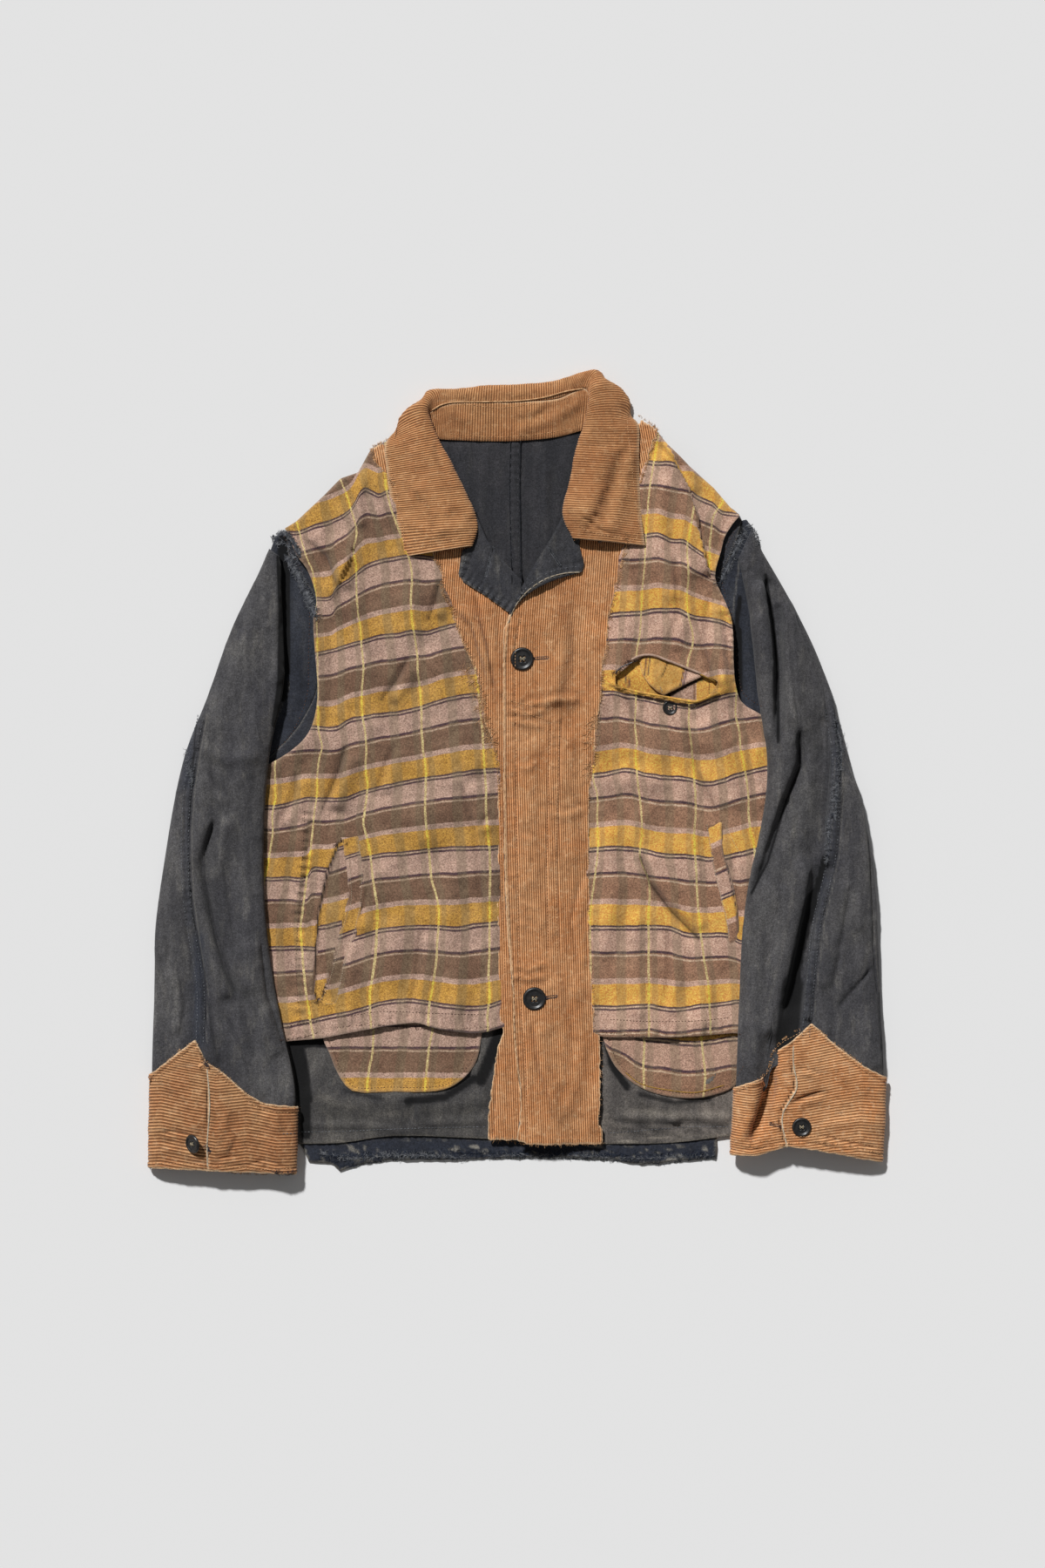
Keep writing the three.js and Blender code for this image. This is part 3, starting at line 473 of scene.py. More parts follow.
@dataclass
class Draft:
    """A mesh in the making, in millimetres of plan.

    weave holds each point's place in the cloth's own pattern (across, along, phase of its wale), and
    state its wear, its painted shade and its tint; on the sleeves the wear also holds a painted
    highlight along lit ridges.
    """

    points: Array
    faces: Array
    weave: Array
    state: Array

    @staticmethod
    def plain(points: Array, faces: Array) -> Draft:
        """A draft with nothing yet said of its cloth."""
        return Draft(points, faces, np.zeros((len(points), 3)), np.zeros((len(points), 3)))

    @staticmethod
    def joined(drafts: Sequence[Draft]) -> Draft:
        """Several drafts as one."""
        starts = np.cumsum([0, *(len(draft.points) for draft in drafts[:-1])])
        return Draft(
            np.concatenate([draft.points for draft in drafts]),
            np.concatenate([draft.faces + start for draft, start in zip(drafts, starts)]),
            np.concatenate([draft.weave for draft in drafts]),
            np.concatenate([draft.state for draft in drafts]),
        )

    def edge(self) -> Array:
        """The point numbers of each edge that only one face has, running as that face runs."""
        pairs = np.concatenate([self.faces[:, [0, 1]], self.faces[:, [1, 2]], self.faces[:, [2, 0]]])
        keys = np.sort(pairs, axis=1)
        _, index, count = np.unique(keys, axis=0, return_index=True, return_counts=True)
        return pairs[index[count == 1]]

    def hemmed(self, profile: Sequence[Point], normals: Array | None = None, drop: float = 0.0) -> Draft:
        """Give the cloth its thickness along its edges.

        Args:
            profile: How far out and how far in from its face each line of the rim lies.
            normals: The way out of the cloth at each point; upwards if there are none.
            drop: How far the edge itself is rounded down.

        Returns:
            The draft with its rim.
        """
        edges = self.edge()
        used = np.unique(edges)
        up = np.tile([0.0, 0.0, 1.0], (len(self.points), 1)) if normals is None else normals
        away = np.zeros_like(self.points)
        run = self.points[edges[:, 1]] - self.points[edges[:, 0]]
        side = np.cross(run, up[edges[:, 0]])
        side /= np.maximum(np.linalg.norm(side, axis=1, keepdims=True), 1e-9)
        np.add.at(away, edges[:, 0], side)
        np.add.at(away, edges[:, 1], side)
        away /= np.maximum(np.linalg.norm(away, axis=1, keepdims=True), 1e-9)
        place = np.full(len(self.points), -1)
        place[used] = np.arange(len(used))
        points, faces = [self.points.copy()], [self.faces]
        before = edges
        for k, (out, deep) in enumerate(profile):
            points.append(self.points[used] + away[used] * out - up[used] * deep)
            ring = len(self.points) + k * len(used) + place[edges]
            faces += [
                np.stack([before[:, 1], before[:, 0], ring[:, 0]], -1),
                np.stack([before[:, 1], ring[:, 0], ring[:, 1]], -1),
            ]
            before = ring
        points[0][used] -= up[used] * drop
        # Lines further down the rim keep less wear and get more painted shade, for the shade under the
        # edge.
        rims = [self.state[used] * (0.6**k, 1, 1) + (0, 0.15 * k, 0) for k in range(len(profile))]
        return Draft(
            np.concatenate(points),
            np.concatenate(faces),
            np.concatenate([self.weave, *([self.weave[used]] * len(profile))]),
            np.concatenate([self.state, *rims]),
        )

    def floored(self) -> Draft:
        """Close the cloth beneath with one flat face on the surface; its edge points come first."""
        edges = self.edge()
        rim = int(edges.max()) + 1
        below = self.points[:rim] * (1, 1, 0)
        flat = [Vector(p) for p in below[:, :2].tolist()]
        made = delaunay_2d_cdt(flat, [tuple(e) for e in edges.tolist()], [list(range(rim))], 1, 1e-6)
        under = np.array([f for f in made[2] if len(f) == 3])
        a, b, c = (below[under[:, k], :2] for k in range(3))
        turn = (b - a)[:, 0] * (c - a)[:, 1] - (b - a)[:, 1] * (c - a)[:, 0]
        under = np.where((turn > 0)[:, None], under[:, ::-1], under) + len(self.points)
        lower = edges + len(self.points)
        faces = [
            self.faces,
            under,
            np.stack([edges[:, 1], edges[:, 0], lower[:, 0]], -1),
            np.stack([edges[:, 1], lower[:, 0], lower[:, 1]], -1),
        ]
        return Draft(
            np.concatenate([self.points, below]),
            np.concatenate(faces),
            np.concatenate([self.weave, self.weave[:rim]]),
            np.concatenate([self.state, self.state[:rim]]),
        )


@dataclass(frozen=True)
class Grain:
    """The lattice that a piece of cloth is cut on.

    lean lists how far aside its threads lie at each height, and turned says that they run across.
    """

    across: float = 2.6
    along: float = 2.6
    lean: Line = ((0.0, -500.0), (0.0, 500.0))
    turned: bool = False

    def aside(self, t: Array) -> Array:
        """How far aside the threads lie at a height."""
        shift, height = np.array(self.lean).T
        return np.interp(t, height, shift)

    def lattice(self, x: Array, y: Array) -> tuple[Array, Array]:
        """Plan places as steps of the lattice."""
        s, t = (y, x) if self.turned else (x, y)
        return (s - self.aside(t)) / self.across, t / self.along

    def plan(self, s: Array, t: Array) -> tuple[Array, Array]:
        """Steps of the lattice as plan places."""
        high = t * self.along
        wide = s * self.across + self.aside(high)
        return (high, wide) if self.turned else (wide, high)


def cut_cloth(outline: Line, grain: Grain, holes: Sequence[Line] = ()) -> tuple[Array, Array, Array, Array]:
    """Fill an outline with triangles on a lattice.

    Args:
        outline: The cutting line, in plan.
        grain: The lattice.
        holes: Lines that are cut out of it.

    Returns:
        The points' places in plan, x and y, their lattice column, and the triangles.
    """
    rings = []
    for line in (outline, *holes):
        fine = spaced(line, 0.8, closed=True)
        rings.append(spaced(np.column_stack(grain.lattice(fine[:, 0], fine[:, 1])), 1.0, closed=True))
    low, high = np.floor(rings[0].min(0)) - 1, np.ceil(rings[0].max(0)) + 1
    s, t = np.meshgrid(np.arange(low[0], high[0] + 1), np.arange(low[1], high[1] + 1), indexing="ij")
    taken = np.zeros(s.shape, bool)
    for ring in rings:
        near = np.round(spaced(ring, 0.4, closed=True) - low).astype(int)
        taken[near[:, 0], near[:, 1]] = True
    kept = inside(rings[0], s, t) & ~taken
    for ring in rings[1:]:
        kept &= ~inside(ring, s, t)
    points = np.concatenate([*rings, np.column_stack([s[kept], t[kept]])])
    edges, first = [], 0
    for ring in rings:
        count = len(ring)
        edges += [(first + i, first + (i + 1) % count) for i in range(count)]
        first += count
    face = [list(range(len(rings[0])))]
    made = delaunay_2d_cdt([Vector(p) for p in points.tolist()], edges, face, 1, 1e-6)
    places = np.array([tuple(p) for p in made[0]])
    faces = np.array([f for f in made[2] if len(f) == 3])
    for ring in rings[1:]:
        middle = places[faces].mean(axis=1)
        faces = faces[~inside(ring, middle[:, 0], middle[:, 1])]
    x, y = grain.plan(places[:, 0], places[:, 1])
    ax, ay = x[faces], y[faces]
    turn = (ax[:, 1] - ax[:, 0]) * (ay[:, 2] - ay[:, 0]) - (ax[:, 2] - ax[:, 0]) * (ay[:, 1] - ay[:, 0])
    faces = np.where((turn < 0)[:, None], faces[:, ::-1], faces)
    return x, y, places[:, 0], faces[np.abs(turn) > 1e-6]


Height = Callable[[Array, Array], Array]


def streaked(marks: Iterable[tuple[Line, float, float]], x: Array, y: Array) -> Array:
    """How strongly lines mark the cloth around them; each is a line, its width and its strength."""
    strong = np.zeros(np.shape(x))
    for line, wide, most in marks:
        away, _ = trace(line, x, y)
        strong = np.maximum(strong, most * np.exp(-((away / wide) ** 2)))
    return np.minimum(strong, 1.0)


@dataclass
class Panel:
    """A piece of cloth that lies nearly flat, over the floor that its solid has.

    forms are its folds and strong scales them; rough, swell and loft are its unevenness, and lowest
    bounds how far it sinks. Its covers hide it. fringe and worn say where it is rubbed, shaded where
    painted shade and painted shadow fall on it, and inked where it is marked; rim says how far its edge
    rises, depth how dark the painted shade in its folds is, and covered how far it sinks under its
    covers.
    """

    outline: Line
    floor: Height
    wall: float
    grain: Grain = field(default_factory=Grain)
    forms: Sequence[Form] = ()
    covers: Sequence[Line] = ()
    holes: Sequence[Line] = ()
    strong: float = 1.0
    rough: float = 0.12
    swell: float = 26.0
    loft: float = 0.0
    lowest: float = -0.3
    fringe: float = 0.9
    rim: float = 0.0
    worn: Sequence[Line] = ()
    shaded: Sequence[tuple[Line, float, float]] = ()
    inked: Sequence[tuple[Line, float, float]] = ()
    depth: float = 0.58
    seed: int = 1
    covered: float = 0.15

    def hidden(self, x: Array, y: Array) -> Array:
        """How far each place lies under what covers the cloth, from 0 to 1."""
        most = np.zeros(np.shape(x))
        for cover in self.covers:
            ring = np.array(cover)
            away, _ = trace([*cover, cover[0]], x, y)
            deep = np.where(inside(ring, x, y), np.abs(away), 0.0)
            most = np.maximum(most, ease(deep / 8.0))
        return most

    def top(self, x: Array, y: Array) -> Array:
        """The height of its upper face."""
        x, y = np.asarray(x, float), np.asarray(y, float)
        swells = self.rough * Ripple(self.seed).cloth(x, y, self.swell)
        lift = self.strong * relief(self.forms, x, y) + swells
        lift = np.where(lift < 0, self.lowest * (1 - np.exp(lift / -self.lowest)), lift) + self.loft
        under = self.hidden(x, y)
        return self.floor(x, y) + self.wall + lift * (1 - under) - self.covered * under

    def made(self, pattern: Callable[[Array, Array, Array], Array] | None = None, closed: bool = False,
             rib: float = 0.0) -> Draft:
        """Build its mesh.

        Args:
            pattern: Gives the weave values from x, y and the lattice column.
            closed: Whether it has an underside too.
            rib: The height of its wales, which have four lattice columns each.

        Returns:
            The draft.
        """
        x, y, column, faces = cut_cloth(self.outline, self.grain, self.holes)
        z = self.top(x, y)
        phase = np.mod(column, COLUMNS) / COLUMNS
        if rib:
            z = z + wales(phase, rib)
        weave = np.column_stack([x, y, phase]) if pattern is None else pattern(x, y, column)
        wear = streaked([(line, 1.6, 0.7) for line in self.worn], x, y)
        # Painted shade in the depths of the folds and along the shaded lines.
        shade = painted_fold_shade(self.forms, x, y, self.depth) * (1 - self.hidden(x, y))
        shade = np.maximum(shade, streaked(self.shaded, x, y))
        away, _ = trace([*self.outline, self.outline[0]], x, y)
        if self.rim:
            z = z + self.rim * np.exp(-(((np.abs(away) - 2.2) / 2.0) ** 2))
        wear = np.maximum(wear, self.fringe * np.exp(-np.abs(away) / 1.1))
        draft = Draft(
            np.column_stack([x, y, z]),
            faces,
            weave,
            np.column_stack([wear, shade, streaked(self.inked, x, y)]),
        )
        if closed:
            return draft.floored()
        wall = self.wall + 0.2
        return draft.hemmed([(0.3, 0.3 * wall), (0.3, 0.75 * wall), (-0.1, wall), (-1.2, wall)], drop=0.12)


def paint(hexadecimal: str) -> tuple[float, float, float, float]:
    """A colour as it is seen, such as "#b5814f", in the linear values that a shader takes."""
    parts = [int(hexadecimal[k : k + 2], 16) / 255 for k in (1, 3, 5)]
    linear = [c / 12.92 if c <= 0.04045 else ((c + 0.055) / 1.055) ** 2.4 for c in parts]
    return (*linear, 1.0)


class Wire:
    """A value on its way through a material, with the arithmetic of Math nodes."""

    def __init__(self, graph: Graph, socket: bpy.types.NodeSocket) -> None:
        """Hold an output socket of a node in a graph."""
        self.graph = graph
        self.socket = socket

    def math(self, operation: str, *others: Wire | float, first: Wire | float | None = None) -> Wire:
        """Add a Math node.

        Args:
            operation: What the node does.
            others: Its further values.
            first: Its first value, if that isn't this one.

        Returns:
            The node's value.
        """
        values = [self if first is None else first, *others]
        return self.graph.add("ShaderNodeMath", {"operation": operation}, dict(enumerate(values)))

    def __add__(self, other: Wire | float) -> Wire:
        """self + other"""
        return self.math("ADD", other)

    __radd__ = __add__

    def __sub__(self, other: Wire | float) -> Wire:
        """self - other"""
        return self.math("SUBTRACT", other)

    def __rsub__(self, other: Wire | float) -> Wire:
        """other - self"""
        return self.math("SUBTRACT", self, first=other)

    def __mul__(self, other: Wire | float) -> Wire:
        """self * other"""
        return self.math("MULTIPLY", other)

    __rmul__ = __mul__

    def __truediv__(self, other: Wire | float) -> Wire:
        """self / other"""
        return self.math("DIVIDE", other)

    def __pow__(self, other: float) -> Wire:
        """self ** other"""
        return self.math("POWER", other)

    def fract(self) -> Wire:
        """What is over the whole number."""
        return self.math("FRACT")

    def over(self, low: float, high: float) -> Wire:
        """Rise smoothly from 0 at low to 1 at high."""
        settings = {"interpolation_type": "SMOOTHSTEP"}
        return self.graph.add("ShaderNodeMapRange", settings, {0: self, 1: low, 2: high, 3: 0.0, 4: 1.0})


class Graph:
    """A material's nodes, added one by one."""

    def __init__(self, name: str) -> None:
        """Start a material with nothing but its output."""
        self.material = bpy.data.materials.new(name)
        self.material.use_nodes = True
        self.tree = self.material.node_tree
        self.tree.nodes.clear()

    def add(self, kind: str, settings: dict, sockets: dict, out: int | str = 0) -> Wire:
        """Add a node.

        Args:
            kind: The node's type.
            settings: Its options, which are set before its sockets; "stops" are a ramp's.
            sockets: Values or wires for its inputs, by number or name.
            out: Which output to give back.

        Returns:
            That output.
        """
        node = self.tree.nodes.new(kind)
        for key, value in settings.items():
            if key == "stops":
                self.set_stops(node.color_ramp, value)
            else:
                setattr(node, key, value)
        for key, value in sockets.items():
            if isinstance(value, Wire):
                self.tree.links.new(value.socket, node.inputs[key])
            else:
                node.inputs[key].default_value = value
        return Wire(self, node.outputs[out]) if len(node.outputs) else Wire(self, None)

    @staticmethod
    def set_stops(ramp: bpy.types.ColorRamp, stops: Sequence[tuple[float, tuple]]) -> None:
        """Give a ramp its stops."""
        while len(ramp.elements) > 1:
            ramp.elements.remove(ramp.elements[-1])
        ramp.elements[0].position, ramp.elements[0].color = stops[0]
        for position, colour in stops[1:]:
            ramp.elements.new(position).color = colour

    def mix(self, factor: Wire | float, a: Wire | tuple, b: Wire | tuple, blend: str = "MIX") -> Wire:
        """Mix two colours.

        Args:
            factor: How much of the second there is.
            a: The first colour.
            b: The second.
            blend: The way they are mixed.

        Returns:
            The mixed colour.
        """
        settings = {"data_type": "RGBA", "blend_type": blend}
        return self.add("ShaderNodeMix", settings, {0: factor, 6: a, 7: b}, out=2)

    def ramp(self, value: Wire, stops: Sequence[tuple[float, tuple]]) -> Wire:
        """Colour a value by a ramp's stops."""
        return self.add("ShaderNodeValToRGB", {"stops": stops}, {0: value})

    def place(self) -> Wire:
        """The point's place in the jacket, in metres."""
        return self.add("ShaderNodeTexCoord", {}, {}, out="Object")

    def noise(self, size: float, detail: float = 2.0, rough: float = 0.5, at: Wire | None = None) -> Wire:
        """Cloudy unevenness from 0 to 1.

        Args:
            size: How wide its clouds are, in millimetres.
            detail: How many finer clouds are laid over them.
            rough: How strong those are.
            at: The place to take it from, if not the point's own.

        Returns:
            The value.
        """
        sockets = {"Vector": at or self.place(), "Scale": METRE / size, "Detail": detail}
        sockets["Roughness"] = rough
        return self.add("ShaderNodeTexNoise", {}, sockets, out="Fac")

    def stretched(self, x: float, y: float) -> Wire:
        """The point's place, stretched along x and y."""
        scale = (x, y, 1.0)
        return self.add("ShaderNodeVectorMath", {"operation": "MULTIPLY"}, {0: self.place(), 1: scale})

    def values(self, attribute: str) -> tuple[Wire, Wire, Wire]:
        """The three values that the mesh holds under a name."""
        vector = self.add("ShaderNodeAttribute", {"attribute_name": attribute}, {}, out="Vector")
        return tuple(self.add("ShaderNodeSeparateXYZ", {}, {0: vector}, out=k) for k in range(3))

    def finish(self, colour: Wire | tuple, roughness: Wire | float,
               bumps: Sequence[tuple[Wire, float, float]], **constants: float) -> bpy.types.Material:
        """Close the material with its surface.

        Args:
            colour: The base colour.
            roughness: How matt it is.
            bumps: Heights, each with its strength and its depth in millimetres.
            constants: Further sockets of the surface, underscores for spaces.

        Returns:
            The material.
        """
        sockets = {"Base Color": colour, "Roughness": roughness}
        normal = None
        for height, strength, depth in bumps:
            inputs = {"Height": height, "Strength": strength, "Distance": depth / METRE}
            if normal is not None:
                inputs["Normal"] = normal
            normal = self.add("ShaderNodeBump", {}, inputs)
        if normal is not None:
            sockets["Normal"] = normal
        sockets |= {key.replace("_", " "): value for key, value in constants.items()}
        surface = self.add("ShaderNodeBsdfPrincipled", {}, sockets)
        self.add("ShaderNodeOutputMaterial", {}, {"Surface": surface})
        return self.material


@dataclass(frozen=True)
class Twill:
    """Washed cotton twill: mottled, paler where it has rubbed, its diagonal ribs fine."""

    name: str
    ground: str
    faded: str
    deep: str
    fading: float = 0.5
    rubbed: str = "#8f8a80"
    streaky: float = 0.30

    def made(self) -> bpy.types.Material:
        """Build the material."""
        graph = Graph(self.name)
        wear, shade, tint = graph.values("state")
        cloud = graph.noise(85, 4, 0.62).over(0.36, 0.66)
        streak = graph.noise(13, 4, 0.65, graph.stretched(1.0, 0.16)).over(0.36, 0.72)
        nap = graph.noise(1.3, 2, 0.7)
        colour = graph.mix(cloud * self.fading, paint(self.ground), paint(self.faded))
        colour = graph.mix((1 - streak) * 0.5, colour, paint(self.deep))
        pale = graph.noise(11, 4, 0.7, graph.stretched(1.0, 0.3)).over(0.48, 0.85)
        colour = graph.mix(pale * self.streaky, colour, paint(self.rubbed))
        colour = graph.mix(tint * 0.75, colour, paint("#262b37"))
        rubbed = wear * (0.35 + nap)
        colour = graph.mix(rubbed.over(0.15, 1.1) * 0.75, colour, paint(self.rubbed))
        # Painted shade: the shade value darkens the colour to the deep colour, and to near black in gaps
        # and recesses.
        colour = graph.mix(shade * 0.6, colour, paint(self.deep))
        colour = graph.mix(shade.over(0.55, 1.0) * 0.95, colour, paint("#060607"))
        speck = graph.noise(0.9, 1, 0.5).over(0.3, 0.7)
        coarse = graph.noise(2.4, 3, 0.7).over(0.3, 0.7)
        colour = graph.mix(0.40, colour, graph.mix(speck, (0.1, 0.1, 0.1, 1), (0.9, 0.9, 0.9, 1)),
            "OVERLAY")
        colour = graph.mix(0.42, colour, graph.mix(coarse, (0.2, 0.2, 0.2, 1), (0.8, 0.8, 0.8, 1)),
            "OVERLAY")
        diagonal = graph.add("ShaderNodeTexWave", {"bands_direction": "DIAGONAL"},
                             {"Vector": graph.place(), "Scale": 420.0, "Distortion": 1.5, "Detail": 1.0},
                             out="Fac")
        bumps = [(diagonal, 0.3, 0.25), (nap, 0.5, 0.3), (graph.noise(6, 3, 0.6), 0.4, 0.5)]
        return graph.finish(colour, 0.92, bumps, Specular_IOR_Level=0.25, Sheen_Weight=0.08,
                            Sheen_Roughness=0.6)


@dataclass(frozen=True)
class Plaid:
    """Napped flannel with weft bands across it and yellow and olive warp stripes up it."""

    name: str
    mauve: str = "#b89888"
    brown: str = "#765947"
    gold: str = "#c09040"
    pale: str = "#b59a84"
    plum: str = "#49323c"

    def bands(self) -> tuple[tuple[float, str], ...]:
        """Down one repeat, from the pale line between two plum ones: each band's end and colour."""
        return (
            (0.010, self.pale), (0.036, self.plum), (0.294, self.mauve), (0.326, self.plum),
            (0.340, self.brown), (0.362, self.pale), (0.635, self.brown), (0.706, self.mauve),
            (0.966, self.gold), (0.990, self.plum), (1.0, self.pale),
        )

    GREY = ((0.0, 0.0), (0.045, 0.0), (0.06, 0.75), (0.14, 0.75), (0.17, 0.08), (0.43, 0.05), (0.46, 0.85),
            (0.59, 0.85), (0.63, 0.05), (0.83, 0.08), (0.86, 0.8), (0.94, 0.8), (0.955, 0.0), (1.0, 0.0))

    def made(self) -> bpy.types.Material:
        """Build the material."""
        graph = Graph(self.name)
        across, along, _ = graph.values("weave")
        wear, shade, tint = graph.values("state")
        wander = (graph.noise(1.6, 2, 0.6) - 0.5) * 0.010 + (graph.noise(16, 2, 0.5) - 0.5) * 0.035
        stops, start = [], 0.0
        soft = 0.0035
        for end, colour in self.bands():
            stops += [(min(start + soft, 1.0), paint(colour)), (max(end - soft, 0.0), paint(colour))]
            start = end
        ground = graph.ramp((along + wander).fract(), stops)
        stripe = (across + wander).fract()
        olive = graph.ramp(stripe, [(at, (value, value, value, 1.0)) for at, value in self.GREY])
        heather = graph.noise(1.25, 2, 0.75).over(0.36, 0.64)
        coarse = graph.noise(2.6, 3, 0.8).over(0.3, 0.7)
        colour = graph.mix(olive * (0.35 + heather * 0.65) * 0.6, ground, paint("#66604a"))
        line = (stripe - 0.5).math("ABSOLUTE").over(0.477, 0.483)
        golden = ((along + wander).fract() - 0.836).math("ABSOLUTE")
        yellow = graph.mix(golden.over(0.128, 0.142), paint("#e2c64a"), paint("#d0b981"))
        colour = graph.mix(line * (0.72 + 0.25 * heather), colour, yellow)
        light = graph.mix(heather, (0.20, 0.19, 0.18, 1), (0.80, 0.81, 0.82, 1))
        colour = graph.mix(0.62, colour, light, "OVERLAY")
        blotch = graph.mix(coarse, (0.30, 0.29, 0.28, 1), (0.70, 0.70, 0.70, 1))
        colour = graph.mix(0.5, colour, blotch, "OVERLAY")
        felted = graph.noise(22, 4, 0.65).over(0.35, 0.68)
        colour = graph.mix(felted * 0.12, colour, paint("#b89f84"))
        colour = graph.mix((1 - felted) * 0.14, colour, paint("#4c3a31"))
        # Painted shade: the shade value darkens the colour, to near black in gaps and recesses.
        colour = graph.mix(shade * 0.6, colour, paint("#36281f"))
        colour = graph.mix(shade.over(0.6, 1.0) * 0.9, colour, paint("#0b0908"))
        colour = graph.mix(wear * 0.35, colour, paint("#a99484"))
        colour = graph.mix(tint, colour, paint(self.plum))
        pilled = graph.noise(1.7, 3, 0.75)
        bumps = [(graph.noise(5.5, 3, 0.6), 0.5, 0.9), (pilled, 0.6, 0.45)]
        return graph.finish(colour, 0.97, bumps, Specular_IOR_Level=0.15, Sheen_Weight=0.18,
                            Sheen_Roughness=0.55)


PLAID_LEFT = Plaid("plaid_left")
PLAID_RIGHT = Plaid("plaid_right", "#c29e8b", "#946e57", "#dea84c", "#c8ab92")


@dataclass(frozen=True)
class Corduroy:
    """Cotton corduroy: painted shade between its wales, its crests paler with a painted highlight and, in
    places, worn pile.
    """

    name: str
    ground: str = "#b07a4c"
    faded: str = "#c39263"
    valley: str = "#5d3a22"
    crest: str = "#dcb284"

    def made(self) -> bpy.types.Material:
        """Build the material."""
        graph = Graph(self.name)
        _, _, phase = graph.values("weave")
        wear, shade, _ = graph.values("state")
        crest = (phase * (2 * math.pi)).math("COSINE") * 0.5 + 0.5
        cloud = graph.noise(38, 4, 0.66).over(0.34, 0.68)
        pile = graph.noise(1.4, 3, 0.75).over(0.3, 0.72)
        colour = graph.mix(cloud, paint(self.ground), paint(self.faded))
        # Painted shade between the wales and a painted highlight on the crests, broken up by the pile's
        # unevenness.
        colour = graph.mix((1 - crest).over(0.3, 0.9) * 0.9, colour, paint(self.valley))
        colour = graph.mix(crest.over(0.5, 1.0) * pile * 0.5, colour, paint(self.crest))
        thin = graph.noise(7, 5, 0.78).over(0.48, 0.70)
        colour = graph.mix(thin * 0.42, colour, paint(self.valley))
        bald = graph.noise(5, 4, 0.75).over(0.50, 0.75)
        colour = graph.mix(bald * 0.30, colour, paint(self.crest))
        # Painted shade from the shade value, to near black in gaps and deep folds.
        colour = graph.mix(shade * 0.6, colour, paint("#4f321c"))
        colour = graph.mix(shade.over(0.6, 1.0) * 0.9, colour, paint("#0e0906"))
        colour = graph.mix(wear.over(0.2, 0.9) * (0.35 + 0.5 * pile), colour, paint("#e3c7a1"))
        bumps = [(graph.noise(4.5, 2, 0.6), 0.4, 0.5), (pile, 0.55, 0.3)]
        return graph.finish(colour, 0.9, bumps, Specular_IOR_Level=0.2, Sheen_Weight=0.22,
                            Sheen_Roughness=0.45)


@dataclass(frozen=True)
class Horn:
    """Dark polished button stock with faint streaks."""

    name: str

    def made(self) -> bpy.types.Material:
        """Build the material."""
        graph = Graph(self.name)
        streak = graph.noise(3.2, 3, 0.65).over(0.35, 0.75)
        colour = graph.mix(streak, paint("#131416"), paint("#2a2725"))
        scratch = graph.noise(0.6, 2, 0.6)
        return graph.finish(colour, 0.26 + 0.2 * scratch, [(scratch, 0.12, 0.1)], Specular_IOR_Level=0.55)


@dataclass(frozen=True)
class Yarn:
    """Cotton thread, its colour uneven from one length to the next."""

    name: str
    colour: str
    other: str

    def made(self) -> bpy.types.Material:
        """Build the material."""
        graph = Graph(self.name)
        colour = graph.mix(graph.noise(3.5, 3, 0.7).over(0.3, 0.7), paint(self.colour), paint(self.other))
        fibre = graph.noise(0.5, 2, 0.6)
        return graph.finish(colour, 0.95, [(fibre, 0.4, 0.15)], Specular_IOR_Level=0.15)


